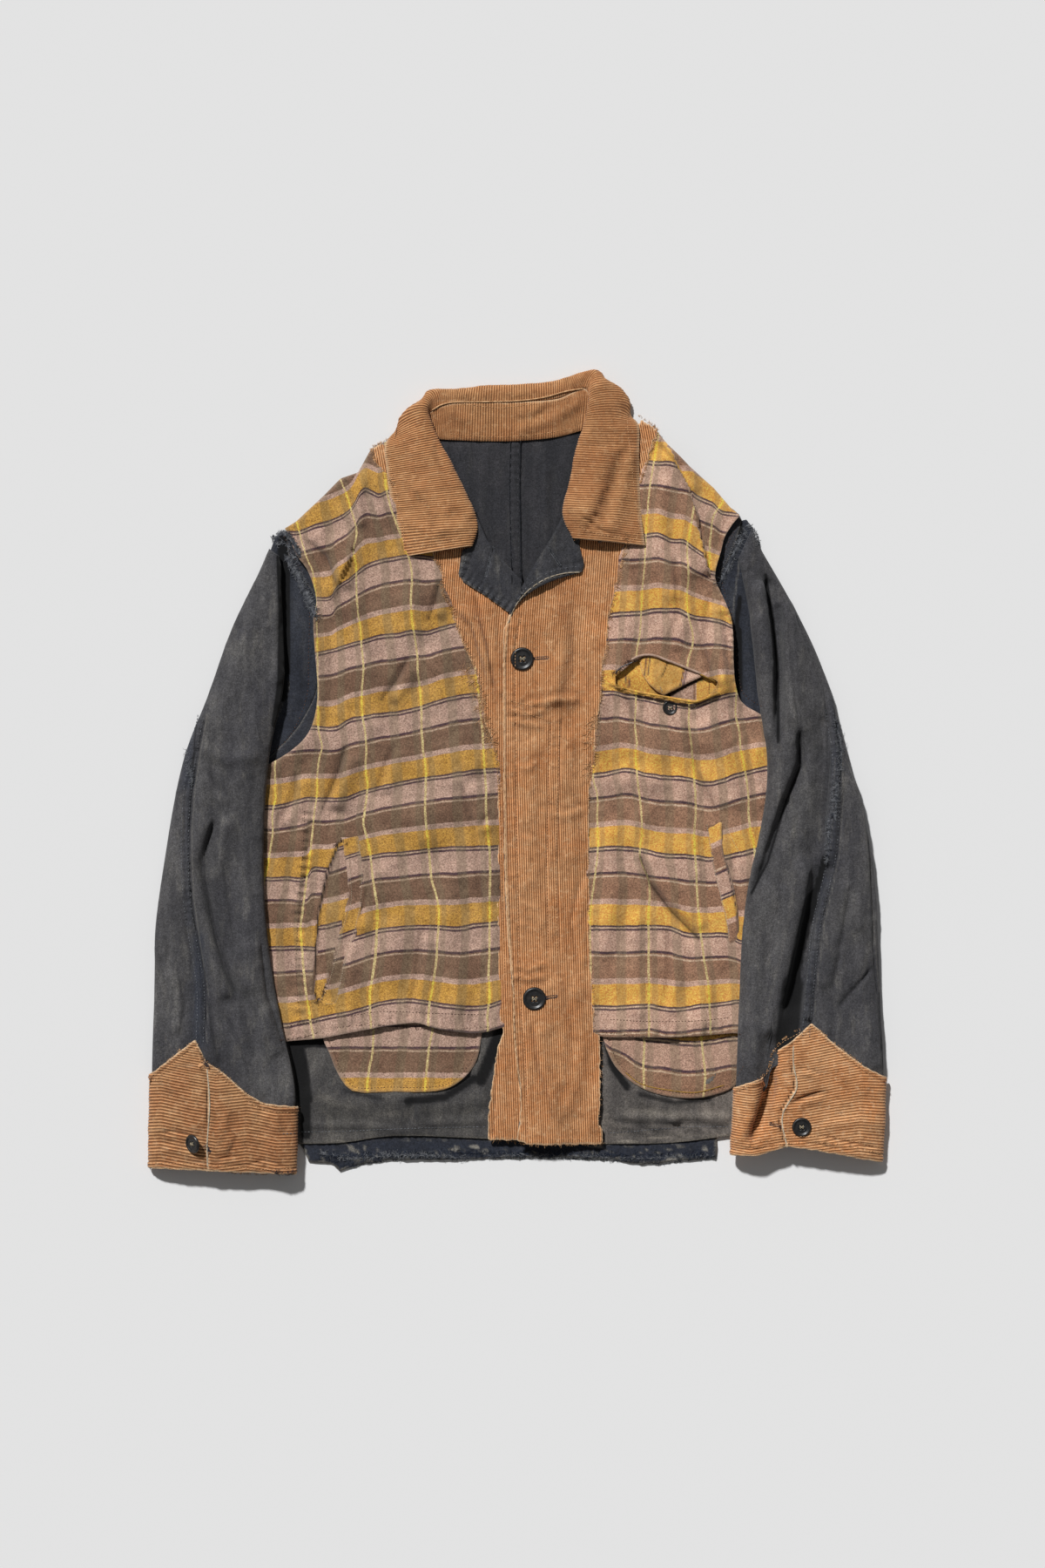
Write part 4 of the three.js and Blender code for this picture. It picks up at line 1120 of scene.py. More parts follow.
class Levels:
    """How high each flat layer's underside lies over the surface, as the solids have it."""

    TWILL_FOLDS = (
        Fold(((-185, -318), (-70, -322)), 30, 5),
        Fold(((105, -322), (172, -320)), 26, 6),
    )
    PLAID_FOLDS = (Fold(drawn("-172,283 -158,236 -178,180"), 17, 6.5),
        Fold(((-195, 255), (-205, 205)), 14, 3), Fold(drawn("-128,170 -96,60 -70,-30"), 24, 3),
        Fold(((-185, 120), (-150, 10)), 22, 2.5), Fold(((-236, 10), (-205, 34)), 13, 4),
        Fold(((-196, -80), (-190, -200)), 26, 4), Fold(((-125, -60), (-100, -160)), 26, 2.5),
        Fold(((-170, -258), (-60, -250)), 26, 6), Fold(drawn("157,312 172,268 187,200"), 15, 6.5),
        Fold(((206, 190), (202, 110)), 16, 3), Fold(((105, 96), (205, 88)), 20, 5),
        Fold(((130, 20), (150, -100)), 28, 2.5), Fold(((208, -60), (204, -170)), 24, 4),
        Fold(((100, -256), (175, -254)), 24, 5.5),)
    LAP_LIFT = TWILL + GAP + FLANNEL + GAP + CORDUROY + GAP
    LAPEL_ROOM = TWILL + GAP

    @classmethod
    def lap(cls, x: Array) -> Array:
        """How far the right front is over the left one."""
        return ease((58 - x) / 28)

    @classmethod
    def chest_room(cls, x: Array, y: Array) -> Array:
        """The room beneath the plaid for the chest pocket."""
        wide = np.minimum(x - 55, 230 - x) / 25
        high = np.minimum(y - 5, 155 - y) / 25
        return 2 * (FLANNEL + GAP) * ease(wide) * ease(high)

    @classmethod
    def plaid_fold(cls, x: Array, y: Array) -> Array:
        """The plaid's own folds."""
        return relief(cls.PLAID_FOLDS, x, y) * ease((np.abs(x - 20) - 55) / 40)

    @classmethod
    def below_welts(cls, y: Array) -> Array:
        """How far the pocket bags have begun."""
        return ease((-170 - y) / 40)

    @classmethod
    def rise(cls, x: Array, y: Array) -> Array:
        """The plaid's folds and the room for the pocket bags."""
        return cls.plaid_fold(x, y) + (BAG + GAP) * cls.below_welts(y)

    @classmethod
    def front(cls, x: Array, y: Array) -> Array:
        """Under the left front."""
        return TWILL + GAP + relief(cls.TWILL_FOLDS, x, y)

    @classmethod
    def vest(cls, x: Array, y: Array) -> Array:
        """Under the left plaid."""
        return cls.front(x, y) + TWILL + GAP + cls.rise(x, y)

    @classmethod
    def band(cls, x: Array, y: Array) -> Array:
        """Under the left band."""
        return cls.vest(x, y) + FLANNEL + GAP

    @classmethod
    def lapel(cls, x: Array, y: Array) -> Array:
        """Under the left lapel."""
        return cls.band(x, y) + CORDUROY + GAP

    @classmethod
    def lap_rise(cls, x: Array, y: Array) -> Array:
        """How far the right side is lifted over the left one."""
        over_lapel = ease((50 - x) / 22) * ease((y - 130) / 22)
        return cls.lap(x) * (cls.LAP_LIFT + cls.rise(x, y) + over_lapel * cls.LAPEL_ROOM)

    @classmethod
    def front_over(cls, x: Array, y: Array) -> Array:
        """Under the right front."""
        return cls.front(x, y) + cls.lap_rise(x, y)

    @classmethod
    def vest_over(cls, x: Array, y: Array) -> Array:
        """Under the right plaid."""
        return cls.vest(x, y) + cls.lap_rise(x, y) + cls.chest_room(x, y)

    @classmethod
    def band_over(cls, x: Array, y: Array) -> Array:
        """Under the right band."""
        return cls.vest_over(x, y) + FLANNEL + GAP

    @classmethod
    def lapel_over(cls, x: Array, y: Array) -> Array:
        """Under the right lapel."""
        roll = 6 * np.exp(-(((x - 18) / 24) ** 2) - ((y - 190) / 22) ** 2)
        return cls.band_over(x, y) + CORDUROY + GAP + roll

    @classmethod
    def bag(cls, x: Array, y: Array) -> Array:
        """Under the two side pocket bags."""
        return cls.front(x, y) + TWILL + GAP + 0.6 * cls.plaid_fold(x, y) * cls.below_welts(y)

    @classmethod
    def chest_bag(cls, x: Array, y: Array) -> Array:
        """Under the chest pocket's bag."""
        return cls.vest_over(x, y) - cls.chest_room(x, y)

    @classmethod
    def chest_tab(cls, x: Array, y: Array) -> Array:
        """Under the tab in the chest pocket."""
        return cls.chest_bag(x, y) + FLANNEL + GAP

    @classmethod
    def surface(cls, x: Array, y: Array) -> Array:
        """What the jacket lies on."""
        return np.zeros(np.shape(x))


@dataclass(frozen=True)
class Weave:
    """How a plaid lies on a piece, by lines marked on the photograph.

    bands are the lines between two repeats of the weft, downwards, and stripes the yellow warp lines,
    from left to right, numbered from first_stripe on. Beyond them they follow at the distances repeat
    and spacing, in pixels.
    """

    bands: Sequence[Line]
    stripes: Sequence[Line]
    first_stripe: int = 0
    repeat: float = 88.0
    spacing: float = 68.0

    @staticmethod
    def count(lines: Sequence[Array], at: Array, step: float) -> Array:
        """Number places by the lines on either side of them.

        Args:
            lines: Where each line lies, for every place.
            at: The places.
            step: The distance between lines beyond the first and the last.

        Returns:
            The number, with its fraction.
        """
        value = (at - lines[0]) / step
        for k in range(len(lines) - 1):
            between = (at - lines[k]) / np.maximum(lines[k + 1] - lines[k], 1.0)
            value = np.where(at >= lines[k], k + between, value)
        beyond = len(lines) - 1 + (at - lines[-1]) / step
        return np.where(at >= lines[-1], beyond, value)

    def values(self, x: Array, y: Array, column: Array) -> Array:
        """The weave values of plan places: across, along and 0, as a plaid has no wales."""
        px, py = photo(x, y)
        rows = [np.interp(px, *np.array(smooth(line, 4)).T) for line in self.bands]
        columns = [np.interp(py, *np.array(smooth(line, 4))[:, ::-1].T) for line in self.stripes]
        v = self.count(rows, py, self.repeat)
        u = self.first_stripe + self.count(columns, px, self.spacing)
        return np.column_stack([u, v, np.zeros(len(x))])


WEAVE_LEFT = Weave(bands=(drawn("327,612 345,611 362,604 380,599 400,589 407,580 414,567 420,563 427,566 "
        "435,569 445,565"),
        drawn("361,687 380,687 387,676 400,667 412,657 422,650 435,645 450,642 470,639 495,641"),
        drawn("361,751 380,747 400,741 420,736 437,731 455,729 472,726 490,727 505,722 525,717"),
        drawn("360,836 387,836 402,827 420,824 437,821 455,819 475,815 492,810 510,804 535,799 550,798"),
        drawn("313,927 330,924 352,918 371,918 398,917 414,911 436,905 458,900 479,896 506,892 533,888 "
        "568,884"),
        drawn("306,1009 330,1009 352,1009 358,999 379,998 416,986 436,982 458,980 479,978 506,975 "
        "533,974 571,973"),
        drawn("317,1089 344,1088 366,1089 390,1084 408,1078 425,1072 441,1068 463,1065 485,1064 506,1065 "
        "528,1066 549,1062 576,1060"),
        drawn("330,1177 355,1173 371,1169 398,1163 420,1157 441,1151 466,1149 485,1150 506,1154 533,1157 "
        "552,1157 579,1150"),),
    stripes=(drawn("316,918 313,934 313,955 311,972 293,1063"),
        drawn("340,600 345,617 352,640 359,657 363,700 365,812 366,840 370,857 367,869 364,888 364,907 "
        "360,940 356,980 349,1030 345,1063 348,1109 353,1150 356,1169 360,1192"),
        drawn("391,551 397,565 405,590 410,612 406,632 409,650 409,665 409,680 411,702 414,722 415,740 "
        "417,755 417,772 415,800 416,822 419,840 420,860 420,882 422,904 419,928 417,945 422,966 426,988 "
        "429,1012 433,1039 433,1063 432,1085 430,1109 425,1136 425,1158 426,1177"),
        drawn("442,556 445,570 449,585 470,642 473,660 472,685 473,710 476,730 479,750 480,775 483,800 "
        "484,825 485,857 489,882 489,904 488,928 490,955 493,980 495,1007 501,1028 504,1050 503,1074 "
        "501,1104 497,1131 493,1155 492,1174"),
        drawn("530,640 547,775 551,810 554,840 555,860 556,877 558,904 558,931 561,963 563,1001 562,1039 "
        "562,1082 561,1120 562,1142 560,1163 560,1180"),),
    first_stripe=-1,)
WEAVE_RIGHT = Weave(bands=(drawn("745,531 757,532 770,533 779,536 800,541 830,560"),
        drawn("742,615 755,614 770,621 785,622 795,630 810,640 840,655"),
        drawn("701,707 715,705 735,704 750,701 767,700 780,701 790,706 800,709 815,711 830,715 839,719"),
        drawn("692,796 705,796 717,799 730,801 750,805 785,811 800,811 810,807 825,801 844,797"),
        drawn("682,890 699,888 715,884 728,885 742,890 758,892 777,893 793,895 804,899 818,900 834,895 "
        "850,889 866,885 880,882"),
        drawn("677,976 699,974 720,974 734,976 747,979 763,982 780,983 799,984 815,986 847,981 866,976"),
        drawn("678,1065 699,1065 720,1065 742,1065 758,1065 769,1066 780,1070 793,1074 807,1074 836,1074 "
        "850,1082"),
        drawn("682,1157 704,1157 726,1156 747,1155 763,1158 785,1158 801,1155 818,1154 845,1150"),),
    stripes=(drawn("700,560 688,760 681,892 686,912 686,942 687,969 684,999 680,1028 677,1061 678,1093 "
        "678,1136"),
        drawn("756,500 746,560 741,627 740,655 737,680 736,705 734,730 731,745 730,802 729,830 731,855 "
        "730,858 731,890 735,920 737,953 735,985 746,1015 745,1045 745,1080 745,1120 745,1158 745,1185"),
        drawn("802,550 796,582 792,610 789,625 790,655 789,680 790,705 795,725 795,742 790,757 789,770 "
        "791,810 791,830 794,855 797,890 799,926 797,963 799,996 801,1034 804,1066 808,1099 813,1128 "
        "815,1155 816,1185"),
        drawn("862,600 852,700 845,802 845,822 849,840 850,857 855,882 859,909 860,936 863,958 866,968 "
        "872,1180"),),
    repeat=86.0,
    spacing=58.0,)
WEAVE_FLAP = Weave(bands=(drawn("795,567 800,571 810,576 820,580 827,587 845,591"),
        drawn("795,650 815,657 840,662"),),
    stripes=(((770, 577), (756, 640)), drawn("830,577 820,590 816,612 814,640 814,655"),),)
WEAVE_BAG_LEFT = Weave(bands=(((370, 1176), (560, 1176)), ((370, 1263), (560, 1263))),
    stripes=(drawn("429,1182 428,1207 424,1228 422,1250"), drawn("497,1184 493,1201 490,1228 488,1253"),),
    )
WEAVE_BAG_RIGHT = Weave(bands=(drawn("690,1161 699,1173 718,1182 736,1192 758,1194 793,1198 818,1196 "
        "839,1193"), drawn("690,1262 718,1277 736,1292 772,1300 800,1302 840,1291"),),
    stripes=(drawn("740,1199 739,1223 740,1247"), drawn("805,1190 808,1215 810,1234 808,1258"),),)


class Slot(Enum):
    """The material slots that the finishes belong to."""

    TWILL = "twill"
    PLAID = "plaid"
    CORDUROY = "corduroy"
    BUTTON = "button"


class Workshop:
    """What every piece needs: where the solids lie, the finishes, and a way to add a mesh.

    TOP_BUTTON is the place of the upper front button in plan, and CLEAR how far over the surface
    everything stays.
    """

    TOP_BUTTON = (4, 113)
    CLEAR = 0.02

    def __init__(self, nodes: dict[str, bpy.types.Object]) -> None:
        """Work out where the jacket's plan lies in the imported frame, from one button's own box."""
        low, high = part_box("button_front_top")
        x, y = self.TOP_BUTTON
        half = METRE / 2
        self.shift = np.array([(low[0] + high[0]) * half - x, (low[1] + high[1]) * half - y, 0.0])
        self.nodes = nodes
        self.finishes: dict[str, bpy.types.Material] = {}
        self.made: list[tuple[Array, Array]] = []
        self.faces = 0

    def finish(self, recipe: Twill | Plaid | Corduroy | Horn | Yarn) -> bpy.types.Material:
        """The material of a finish, made once."""
        if recipe.name not in self.finishes:
            self.finishes[recipe.name] = recipe.made()
        return self.finishes[recipe.name]

    def add(self, name: str, draft: Draft, recipe: Twill | Plaid | Corduroy | Horn | Yarn, slot: Slot,
            replaced: Sequence[str] = ()) -> bpy.types.Object:
        """Make a draft into a piece of the scene.

        Args:
            name: The piece's name.
            draft: Its mesh.
            recipe: Its finish.
            slot: The slot that the finish belongs to; not used.
            replaced: The solids that it stands for.

        Returns:
            The piece.
        """
        mesh = bpy.data.meshes.new(name)
        draft.points[:, 2] = np.maximum(draft.points[:, 2], self.CLEAR)
        self.made.append((draft.points, draft.faces))
        points = (draft.points + self.shift) / METRE
        count = len(draft.faces)
        mesh.vertices.add(len(points))
        mesh.vertices.foreach_set("co", points.astype(np.float32).ravel())
        mesh.loops.add(count * 3)
        mesh.loops.foreach_set("vertex_index", draft.faces.astype(np.int32).ravel())
        mesh.polygons.add(count)
        mesh.polygons.foreach_set("loop_start", np.arange(0, count * 3, 3, dtype=np.int32))
        mesh.polygons.foreach_set("use_smooth", np.ones(count, bool))
        mesh.update(calc_edges=True)
        for key, values in (("weave", draft.weave), ("state", draft.state)):
            layer = mesh.attributes.new(key, "FLOAT_VECTOR", "POINT")
            layer.data.foreach_set("vector", values.astype(np.float32).ravel())
        mesh.materials.append(self.finish(recipe))
        piece = bpy.data.objects.new(name, mesh)
        bpy.context.scene.collection.objects.link(piece)
        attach(piece, "root")
        if replaced:
            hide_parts(*replaced)
        self.faces += count
        low = points[:, 2].min() * METRE
        log.info("%s: %d points, %d triangles, %.1f mm over the surface", name, len(points), count, low)
        return piece

    @staticmethod
    def area(draft: Draft) -> float:
        """A draft's area in square metres."""
        a, b, c = (draft.points[draft.faces[:, k]] for k in range(3))
        return float(np.linalg.norm(np.cross(b - a, c - a), axis=1).sum() / 2e6)

    def sheet(self, piece: bpy.types.Object, draft: Draft, layers: int, rests: Sequence[str],
              cut: Point | None = None) -> None:
        """Declare a piece as a sheet of cloth.

        Args:
            piece: The piece; not used.
            draft: Its mesh.
            layers: 2 if the mesh closes round the cloth, or 1.
            rests: What it lies on; not used.
            cut: The width and length of its cut in metres, if they aren't its own in plan.
        """
        size = draft.points.max(axis=0) - draft.points.min(axis=0)
        width, length = cut or (round(size[0] / METRE, 3), round(size[1] / METRE, 3))
        filled = min(0.999, max(0.31, self.area(draft) / layers / (width * length)))


def ragged(outline: Line, reach: float, seed: int, size: float = 5.0) -> list[Point]:
    """An outline with a torn, uneven edge.

    Args:
        outline: The clean cutting line.
        reach: How far the edge wanders in and out.
        seed: Which wandering it has.
        size: How long its bites are.

    Returns:
        The torn outline.
    """
    ring = spaced(outline, 1.2, closed=True)
    run = np.roll(ring, -1, axis=0) - np.roll(ring, 1, axis=0)
    run /= np.maximum(np.linalg.norm(run, axis=1, keepdims=True), 1e-9)
    wave = Ripple(seed)
    x, y = ring.T
    out = reach * (wave.at(x, y, size) + 0.6 * wave.at(y, x, size * 0.4))
    moved = ring + np.column_stack([run[:, 1], -run[:, 0]]) * out[:, None]
    return [tuple(p) for p in moved.tolist()]


def drawn_in(outline: Line, line: Line, aside: float) -> list[Point]:
    """An outline pulled away from a line that it runs beside, so that what lies over it hides its edge."""
    points = np.array(outline, float)
    away, _ = trace(line, points[:, 0], points[:, 1])
    near = np.exp(-((away / 3.5) ** 2))[:, None]
    return [tuple(p) for p in (points + near * np.array((aside, -1.2))).tolist()]


@dataclass
class Body:
    """The twill jacket beneath: its back, its two fronts and the strips that show in the armholes."""

    shop: Workshop
    fronts: Sequence[Twill] = (
        Twill("twill_front_left", "#4a4846", "#696560", "#26262b", 0.8, "#a29a8d"),
        Twill("twill_front_right", "#605b57", "#847b73", "#2c2a2b", 0.85, "#b3a999"),
    )
    inside_twill: Twill = Twill("twill_inside", "#303034", "#3f3d40", "#1b1c20", 0.6, streaky=0.08)
    navy: Twill = Twill("twill_navy", "#2e313a", "#40434b", "#171a21", 0.6, streaky=0.1)

    HEMS = {"left": mark("322,1314 450,1308 560,1307"), "right": mark("694,1313 770,1305 838,1304")}
    CENTRE_SEAM = mark("598,501 597,560 598,620 599,690")
    INSIDE_CREASES = (Crease(mark("620,530 619,560 620,600 623,650"), 3.2, 2.2, 6),
        Crease(mark("640,520 634,580 630,640"), 1.8, 1.4, 5),
        Fold(mark("560,520 556,560 570,610"), 10, 1.6), Fold(mark("575,640 585,660 596,685"), 4, 1.8),
        Fold(mark("625,650 612,665 603,685"), 4, 1.8),)
    HEM_CREASES = (Pucker(mark("366,1322 460,1321 560,1319 700,1322 823,1322"), 6, 8, 1.0, 163),
        Pucker(mark("366,1331 460,1328 560,1327 700,1329 823,1328"), 4, 4.5, 0.7, 164),
        Crease(mark("455,1322 410,1326 372,1322"), 1.6, 1.6, 3, 1.2),
        Crease(mark("540,1326 500,1322 462,1328"), 1.8, 1.6, 3, 1.2),
        Crease(mark("690,1325 640,1321 560,1324"), 1.4, 1.2, 3, 1.0),
        Crease(mark("800,1324 760,1328 710,1322"), 1.6, 1.4, 3, 1.2),)
    LEFT_CREASES = (Crease(mark("480,1250 474,1275 463,1302"), 2.4, 1.8, 7),
        Crease(mark("372,1196 352,1230 348,1262"), 3.0, 2.0, 9),
        Fold(mark("350,1262 400,1268 452,1262"), 10, 2.2),
        Fold(mark("470,1262 500,1270 548,1262"), 9, 2.0),
        Crease(mark("530,1218 541,1240 548,1275"), 1.8, 1.4, 7),
        Fold(mark("352,1292 420,1292 460,1300"), 3.2, 1.6),
        Fold(mark("488,1290 520,1288 556,1287"), 3.4, 1.6),
        Pucker(mark("340,1309 450,1304 560,1303"), 4, 6.5, 0.4, 161),)
    RIGHT_CREASES = (Fold(mark("700,1235 730,1262 775,1272"), 9, 2.2),
        Crease(mark("752,1299 735,1292 706,1286"), 2.0, 1.8, 4),
        Crease(mark("790,1299 770,1292 745,1289"), 2.0, 1.8, 4),
        Crease(mark("828,1298 802,1290 780,1289"), 2.0, 1.8, 4),
        Fold(mark("715,1282 750,1284 775,1286"), 4.5, 2.6),
        Fold(mark("775,1283 805,1283 832,1285"), 4.5, 2.6),
        Crease(mark("800,1262 825,1245 838,1225"), 2.0, 1.6, 7),
        Pucker(mark("700,1304 770,1302 835,1303"), 4, 6.5, 0.4, 162),)
    # Painted shade and shadow on the fronts: beside the sleeves, under the plaid's hem, round the pocket
    # bags, along creases and along the hem's fold.
    SHADES = {"left": ((mark("336,1200 360,1196 378,1198"), 6.5, 1.5),
            (mark("339,1196 346,1230 350,1262"), 9, 1.6), (mark("350,1255 351,1302"), 7.0, 1.5),
            (mark("574,1186 564,1212 552,1240"), 9.0, 1.25),
            (mark("468,1264 510,1260 545,1238"), 6.5, 1.1), (mark("395,1252 440,1262"), 5.0, 0.8),
            (mark("330,1297 420,1296 560,1291"), 1.4, 0.45), (mark("480,1285 474,1262"), 3, 0.3)),
        "right": ((mark("697,1195 704,1225 720,1248"), 5.0, 1.3),
            (mark("735,1256 775,1266 815,1262"), 5.0, 0.9),
            (mark("700,1298 760,1296 836,1292"), 1.6, 0.7),
            (mark("752,1299 735,1292 706,1286"), 2.0, 0.8),
            (mark("828,1298 802,1290 760,1289"), 2.0, 0.7)),}
    RUBBED = {"left": ((mark("372,1262 420,1280 458,1278"), 9.0, 0.42),
            (mark("492,1282 545,1274"), 7.0, 0.32), (mark("380,1215 392,1240"), 7.0, 0.25),
            (mark("470,1285 478,1262"), 3.0, 0.4)),
        "right": ((mark("712,1272 770,1280 830,1278"), 8.0, 0.42),),}
    # Painted shadow in the recesses between the sleeves and the armholes.
    ARMHOLE_SHADOWS = {"left": ((mark("326,622 325,690 326,770"), 6.5, 2.0),
            (mark("324,770 325,800"), 5.0, 1.5)),
        "right": ((mark("846,600 850,612"), 6.0, 1.6), (mark("845,725 846,790"), 6.5, 2.0),
            (mark("850,686 845,725"), 3.4, 1.3), (mark("846,790 849,812"), 4.0, 1.2)),}

    def build(self) -> None:
        """Make the pieces, from the surface upwards."""
        self.build_back()
        self.build_fronts()
        self.build_under_sleeves()

    def build_back(self) -> None:
        """The back, whose inside shows in the neck and whose torn hem shows below the fronts."""
        seam = self.CENTRE_SEAM
        forms = (
            *self.INSIDE_CREASES,
            Pucker(beside(seam, -5), 4.5, 8.0, 1.6, 11),
            Fold(beside(seam, -5), 5.2, 1.6),
            Fold(seam, 1.2, -1.6),
            Fold(beside(seam, -10.5), 1.2, -1.0),
            *self.HEM_CREASES,
        )
        whole = ragged(CUTS["back"], 1.1, 21, 6)
        collar = drawn("-130,325 -60,322 0,325 60,333 130,335 130,430 -130,430")
        # The shaded lines are painted shadow along the centre back seam and its stitching.
        panel = Panel(whole, Levels.surface, TWILL, Grain(3.1, 3.1), forms, (collar,), rough=0.75,
            loft=0.6, lowest=-1.3,
            shaded=((beside(seam, -0.4), 0.9, 0.75), (beside(seam, -10.5), 0.8, 0.4)), seed=5)
        draft = panel.made(closed=True)
        x, y = draft.points[:, 0], draft.points[:, 1]
        low = ease((-355 - y) / 12)
        draft.state[:, 2] = np.maximum(draft.state[:, 2], low)
        rubbed = Ripple(6)
        patchy = rubbed.at(x, y, 7, 3.2) + 0.7 * rubbed.at(y, x, 3.2)
        draft.state[:, 0] += low * 1.1 * np.maximum(patchy, 0) ** 1.4
        draft.state[:, 1] += low * 0.8 * np.maximum(-rubbed.at(x, y, 12, 4) - 0.1, 0)
        piece = self.shop.add("back_cloth", draft, self.inside_twill, Slot.TWILL, ["back"])
        self.shop.sheet(piece, draft, 2, [])

    def build_fronts(self) -> None:
        """The two fronts, seen below the plaid and in a few gaps."""
        for twill, side, floor, creases, seed in (
            (self.fronts[0], "left", Levels.front, self.LEFT_CREASES, 31),
            (self.fronts[1], "right", Levels.front_over, self.RIGHT_CREASES, 37),
        ):
            name = f"front_{side}"
            covers = (CUTS[f"vest_{side}"], CUTS[f"band_{side}"])
            hem = self.HEMS[side]
            panel = Panel(CUTS[name], floor, TWILL, Grain(3.0, 3.0), creases, covers, strong=1.4, rough=1.2,
                          loft=0.6, lowest=-1.5, rim=0.5, fringe=0.6, worn=(hem,), shaded=self.SHADES[side],
                          depth=0.8, seed=seed, covered=0.8)
            draft = panel.made()
            upper = ease((draft.points[:, 1] + 150) / 60)
            draft.state[:, 2] = np.maximum(draft.state[:, 2], upper)
            # Painted shade over the upper fronts, which show only in narrow gaps beside and under the
            # plaid.
            draft.state[:, 1] = np.maximum(draft.state[:, 1], 0.4 * upper)
            x, y = draft.points[:, 0], draft.points[:, 1]
            rubbed = streaked(self.RUBBED[side], x, y) * (0.8 + 0.5 * Ripple(seed).at(x, y, 14, 9))
            draft.state[:, 0] = np.maximum(draft.state[:, 0], rubbed)
            piece = self.shop.add(f"{name}_cloth", draft, twill, Slot.TWILL, [name])
            self.shop.sheet(piece, draft, 1, ["back_cloth"])

    def build_under_sleeves(self) -> None:
        """The darker strips between the armholes and the sleeves."""
        left_seams = (Pucker(mark("332,782 330,795 316,826"), 5, 6, 0.6, 41),
            Pucker(mark("314,846 322,870"), 4, 6, 0.5, 42), Fold(mark("332,782 330,795 316,826"), 3, 1.4),
            Fold(mark("345,720 340,760 345,800"), 7, 2.0),
            Crease(mark("352,790 338,740 346,700"), 1.6, 1.4, 5),)
        right_seams = (Pucker(mark("850,640 842,700 842,780"), 5, 6, 0.6, 43),
            Fold(mark("862,700 858,760 862,820"), 6, 1.8),)
        for name, seams in (("under_sleeve_left", left_seams), ("under_sleeve_right", right_seams)):
            side = name.split("_")[-1]
            panel = Panel(CUTS[name], Levels.front, TWILL, Grain(2.2, 2.2), seams, rough=0.9, lowest=-0.7,
                          loft=0.4, rim=0.3, fringe=0.1, worn=(seams[0].line,), shaded=self.ARMHOLE_SHADOWS[side],
                          seed=45)
            draft = panel.made()
            piece = self.shop.add(f"{name}_cloth", draft, self.navy, Slot.TWILL, [name])
            self.shop.sheet(piece, draft, 1, ["back_cloth"])


FLAP_FOLD = mark("815,665 812,650 803,612 800,590 790,560 767,511")


